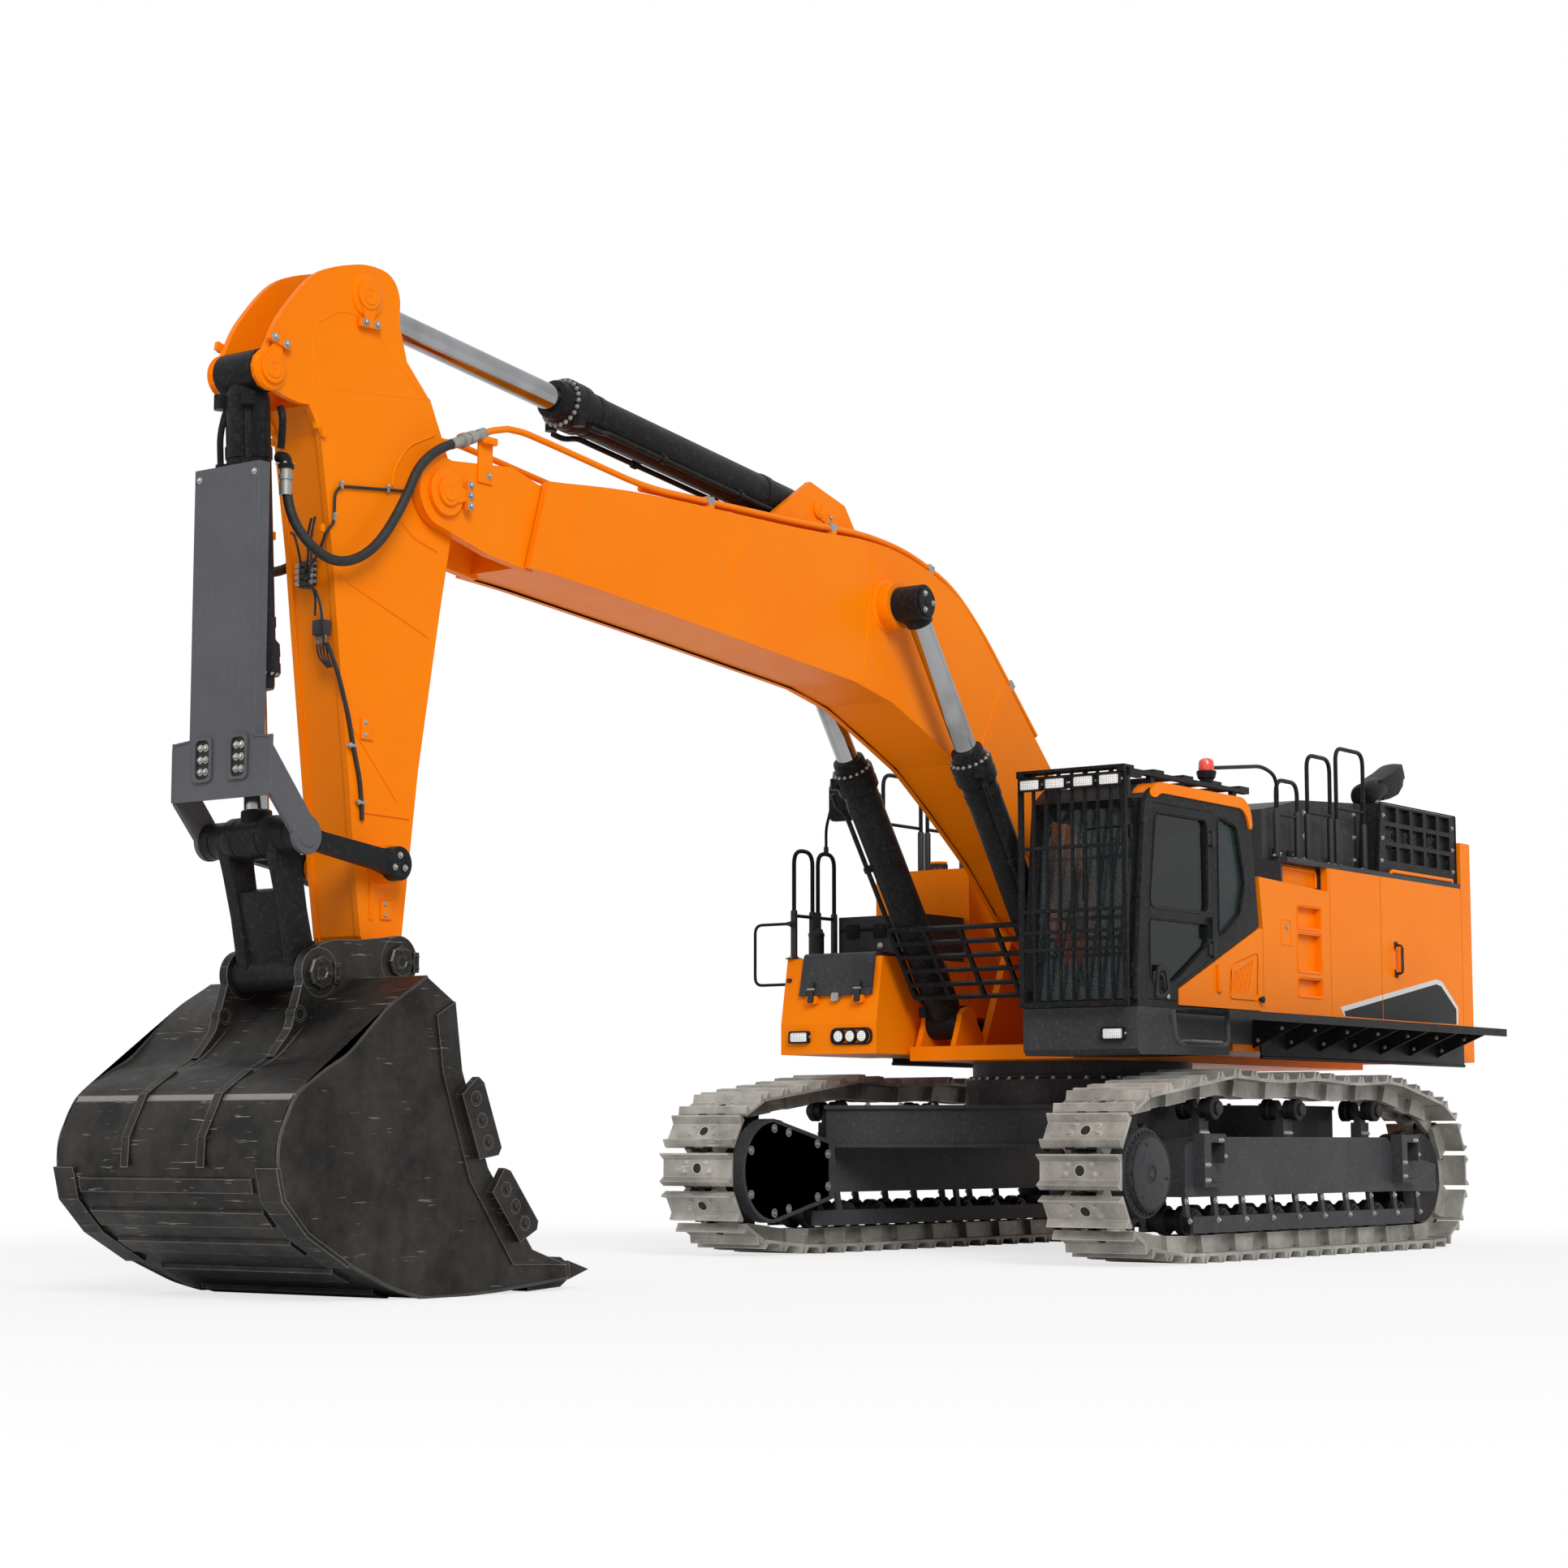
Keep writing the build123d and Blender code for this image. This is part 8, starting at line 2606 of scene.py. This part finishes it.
@dataclass
class SmoothPlates:
    """Plates cut to smooth curves over the faceted sides of boom, arm and bucket, in millimetres."""

    boom_foot: Flat = BOOM_FOOT
    boom_tip: Flat = BOOM_TIP
    boom_length: float = BOOM_LENGTH
    bucket_pin: Flat = BUCKET_PIN
    boom_top: Route = (
        (0.127, 1005), (0.280, 1610), (0.339, 1765), (0.415, 1760), (0.485, 1640), (0.582, 1365),
        (0.782, 840), (0.899, 470),
    )
    boom_low: Route = (
        (0.899, -130), (0.847, -30), (0.651, 300), (0.546, 470), (0.462, 605), (0.403, 645), (0.345, 605),
        (0.281, 550), (0.215, 400), (0.139, 200), (0.075, -40),
    )
    arm_head: Route = (
        (-550, 145), (-715, 375), (-910, 470), (-1080, 500), (-1175, 580), (-1190, 710), (-1135, 910),
        (-965, 1200), (-645, 1420), (-430, 1500), (-290, 1540), (-215, 1485), (-170, 1345), (-185, 1125),
        (-325, 995),
    )
    bucket_front: Route = (
        (-880, -1760), (-566, -1662), (-172, -1191), (57, -640), (119, -250),
    )
    ear_top: Route = (
        (0, 150), (330, 112), (560, 96), (700, 30), (780, -140), (860, -400), (1000, -570),
    )
    ear_low: Route = ((940, -600), (640, -310), (343, -150), (0, -150))

    def boom_line(self, stations: Route) -> Outline:
        """Give the smooth (x, z) curve through stations of the boom."""
        return smooth_line(
            [toward(self.boom_foot, self.boom_tip, share * self.boom_length, h) for share, h in stations]
        )

    def near(self, points: Route) -> Outline:
        """Give (x, z) points from points measured from the bucket pin."""
        return [(self.bucket_pin[0] + x, self.bucket_pin[1] + z) for x, z in points]

    def build(self) -> None:
        """Build the plates of every member."""
        boom, arm = forms("boom_side_plates arm_head_plates")
        sides, shell, ears = forms("bucket_side_plates bucket_shell_skin bucket_ears")
        boom_line = self.boom_line(self.boom_top) + self.boom_line(self.boom_low)
        head = smooth_line([toward(self.boom_tip, self.bucket_pin, *p) for p in self.arm_head])
        back = smooth_line(self.near(Bucket().shell), 6, self.bucket_pin[1] - 1915)
        inner = [(x - 10 * (x - 8700) / 1100, z + 10) for x, z in back]
        ear = smooth_line(self.near(self.ear_top)) + self.near(self.ear_low)
        for side in SIDES:
            for form, outline, low, high in (
                (boom, boom_line, 268, 309.5),
                (arm, head, 151, 191.2),
                (sides, back + self.near(self.bucket_front), 848, 871.5),
                (ears, ear, 269.9, 330.6),
            ):
                form.plate(outline, Facing.Y, *limits(side * low, side * high))
        shell.plate(back + inner[::-1], Facing.Y, -868, 868)
        boom.done("boom_structure", ORANGE)
        arm.done("arm_structure", ORANGE)
        for form in (sides, shell, ears):
            form.done("bucket_body", BUCKET_STEEL)


@dataclass
class DeckTrim:
    """Dark skirts under the catwalks and the orange infill behind the stair panel, in millimetres."""

    body: str = "upper_structure"
    front: float = 196.0

    def build(self) -> None:
        """Build the skirts and the infill."""
        skirt, infill = forms("deck_side_skirts stair_panel_infill")
        for side in (1, -1):
            low, high = limits(side * 1690, side * 1704)
            skirt.plate(
                rounded([(-3540, 1500), (self.front, 1494), (self.front, 1852), (-3540, 1852)], 10, 2),
                Facing.Y, low, high, 3,
            )
            skirt.pipe([(-3540, side * 1700, 1512), (self.front, side * 1700, 1506)], 14, sides=10)
        infill.plate([(-985, 2850), (-332, 2890), (-332, 3036), (-985, 3036)], Facing.Y, 1560, 1600, 3)
        infill.pipe([(-960, 1606, 2880), (-960, 1606, 3010), (-360, 1606, 3010)], 14, 40)
        finish_all(self.body, {skirt: BLACK, infill: ORANGE})


# ---------------------------------------------------------------- studio
@dataclass
class Studio:
    """Pale floor, soft light and the camera."""

    camera_at: Point = (21.5416, 12.8055, 0.8665)
    camera_turn: Point = (96.571, 0.0, 126.198)
    focal_mm: float = 71.26
    sky_strength: float = 0.42
    sun_strength: float = 2.05
    sun_spread: float = 28.0
    fill_strength: float = 0.35
    fade_from: float = 7.5
    fade_to: float = 13.0

    def camera(self) -> None:
        """Stand the camera in front of the machine's left corner, low and looking slightly up."""
        data = bpy.data.cameras.new("studio_camera")
        data.lens = self.focal_mm
        data.sensor_width = 36.0
        data.clip_end = 500.0
        eye = bpy.data.objects.new("studio_camera", data)
        eye.location = self.camera_at
        eye.rotation_euler = [math.radians(a) for a in self.camera_turn]
        bpy.context.scene.collection.objects.link(eye)
        bpy.context.scene.camera = eye

    def floor(self) -> None:
        """Lay a pale floor that fades into the white background away from the machine."""
        mesh = bpy.data.meshes.new("studio_floor")
        reach = 120.0
        mesh.from_pydata(
            [(-reach, -reach, 0.0), (reach, -reach, 0.0), (reach, reach, 0.0), (-reach, reach, 0.0)],
            [],
            [(0, 1, 2, 3)],
        )
        floor = bpy.data.objects.new("studio_floor", mesh)
        floor.location = (4.0, 0.0, -0.002)
        bpy.context.scene.collection.objects.link(floor)
        paint = bpy.data.materials.new("pale_floor")
        paint.use_nodes = True
        tree = paint.node_tree
        tree.nodes.clear()
        place = add_node(tree, "TexCoord").outputs["Object"]
        away = add_node(tree, "VectorMath", {"operation": "LENGTH"}, {0: place}).outputs["Value"]
        fade = add_node(
            tree, "MapRange",
            {"clamp": True, "in": {FROM_LOW: self.fade_from, FROM_HIGH: self.fade_to, TO_LOW: 0.72}},
            {0: away},
        ).outputs[0]
        matt = add_node(tree, "BsdfDiffuse", {"in": {"Color": linear("#fdfdfd")}}).outputs[0]
        white = add_node(tree, "Emission", {"in": {"Color": (1, 1, 1, 1), "Strength": 1.0}}).outputs[0]
        ray = add_node(tree, "LightPath").outputs
        seen = add_node(
            tree, "Math", {"operation": "MULTIPLY"}, {0: fade, 1: ray["Is Camera Ray"]}
        ).outputs[0]
        mixed = add_node(tree, "MixShader", {}, {0: seen, 1: matt, 2: white}).outputs[0]
        add_node(tree, "OutputMaterial", {}, {0: mixed})
        mesh.materials.append(paint)

    def sky(self) -> None:
        """Give a plain sky that is white where the camera, gloss or glass looks at it."""
        world = bpy.data.worlds.new("studio_sky")
        bpy.context.scene.world = world
        world.use_nodes = True
        tree = world.node_tree
        tree.nodes.clear()
        ray = add_node(tree, "LightPath").outputs
        first = add_node(
            tree, "Math", {"operation": "MAXIMUM"}, {0: ray["Is Camera Ray"], 1: ray["Is Transmission Ray"]}
        ).outputs[0]
        glossy = add_node(
            tree, "Math", {"operation": "MULTIPLY", "in": {1: 0.5}}, {0: ray["Is Glossy Ray"]}
        ).outputs[0]
        seen = add_node(tree, "Math", {"operation": "MAXIMUM"}, {0: first, 1: glossy}).outputs[0]
        settings = {"in": {TO_LOW: self.sky_strength, TO_HIGH: 1.0}}
        strength = add_node(tree, "MapRange", settings, {0: seen}).outputs[0]
        back = add_node(
            tree, "Background", {"in": {"Color": (1, 1, 1, 1)}}, {"Strength": strength}
        ).outputs[0]
        add_node(tree, "OutputWorld", {}, {0: back})

    def lamp(self, name: str, strength: float, spread: float, direction: Point) -> None:
        """Hang one soft sun.

        Args:
            name: Lamp name.
            strength: Strength in watts per square metre.
            spread: Angle that the sun fills, in degrees.
            direction: Direction from the machine to the lamp.
        """
        data = bpy.data.lights.new(name, "SUN")
        data.energy = strength
        data.angle = math.radians(spread)
        lamp = bpy.data.objects.new(name, data)
        lamp.rotation_euler = Vector(direction).to_track_quat("Z", "Y").to_euler()
        bpy.context.scene.collection.objects.link(lamp)

    def build(self) -> None:
        """Set up camera, floor, sky and lamps."""
        bpy.context.scene.view_settings.view_transform = "Standard"
        self.camera()
        self.floor()
        self.sky()
        self.lamp("key_sun", self.sun_strength, self.sun_spread, (0.6, 0.78, 0.62))
        self.lamp("fill_sun", self.fill_strength, 60.0, (0.9, -0.35, 0.5))


ASSEMBLIES = (
    Hoses, Undercarriage, Hydraulics, Boom, Arm, Linkage, Bucket, Lamps, OperatorSeat, Cab, Rails, House,
    RightFront,
    SmoothPlates, DeckTrim,
)


def main() -> None:
    """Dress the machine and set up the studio."""
    logging.basicConfig(level=logging.INFO, format="%(message)s")
    dress_nodes()
    for assembly in ASSEMBLIES:
        assembly().build()
    Studio().build()
    bpy.context.view_layer.update()


if __name__ == "__main__":
    main()
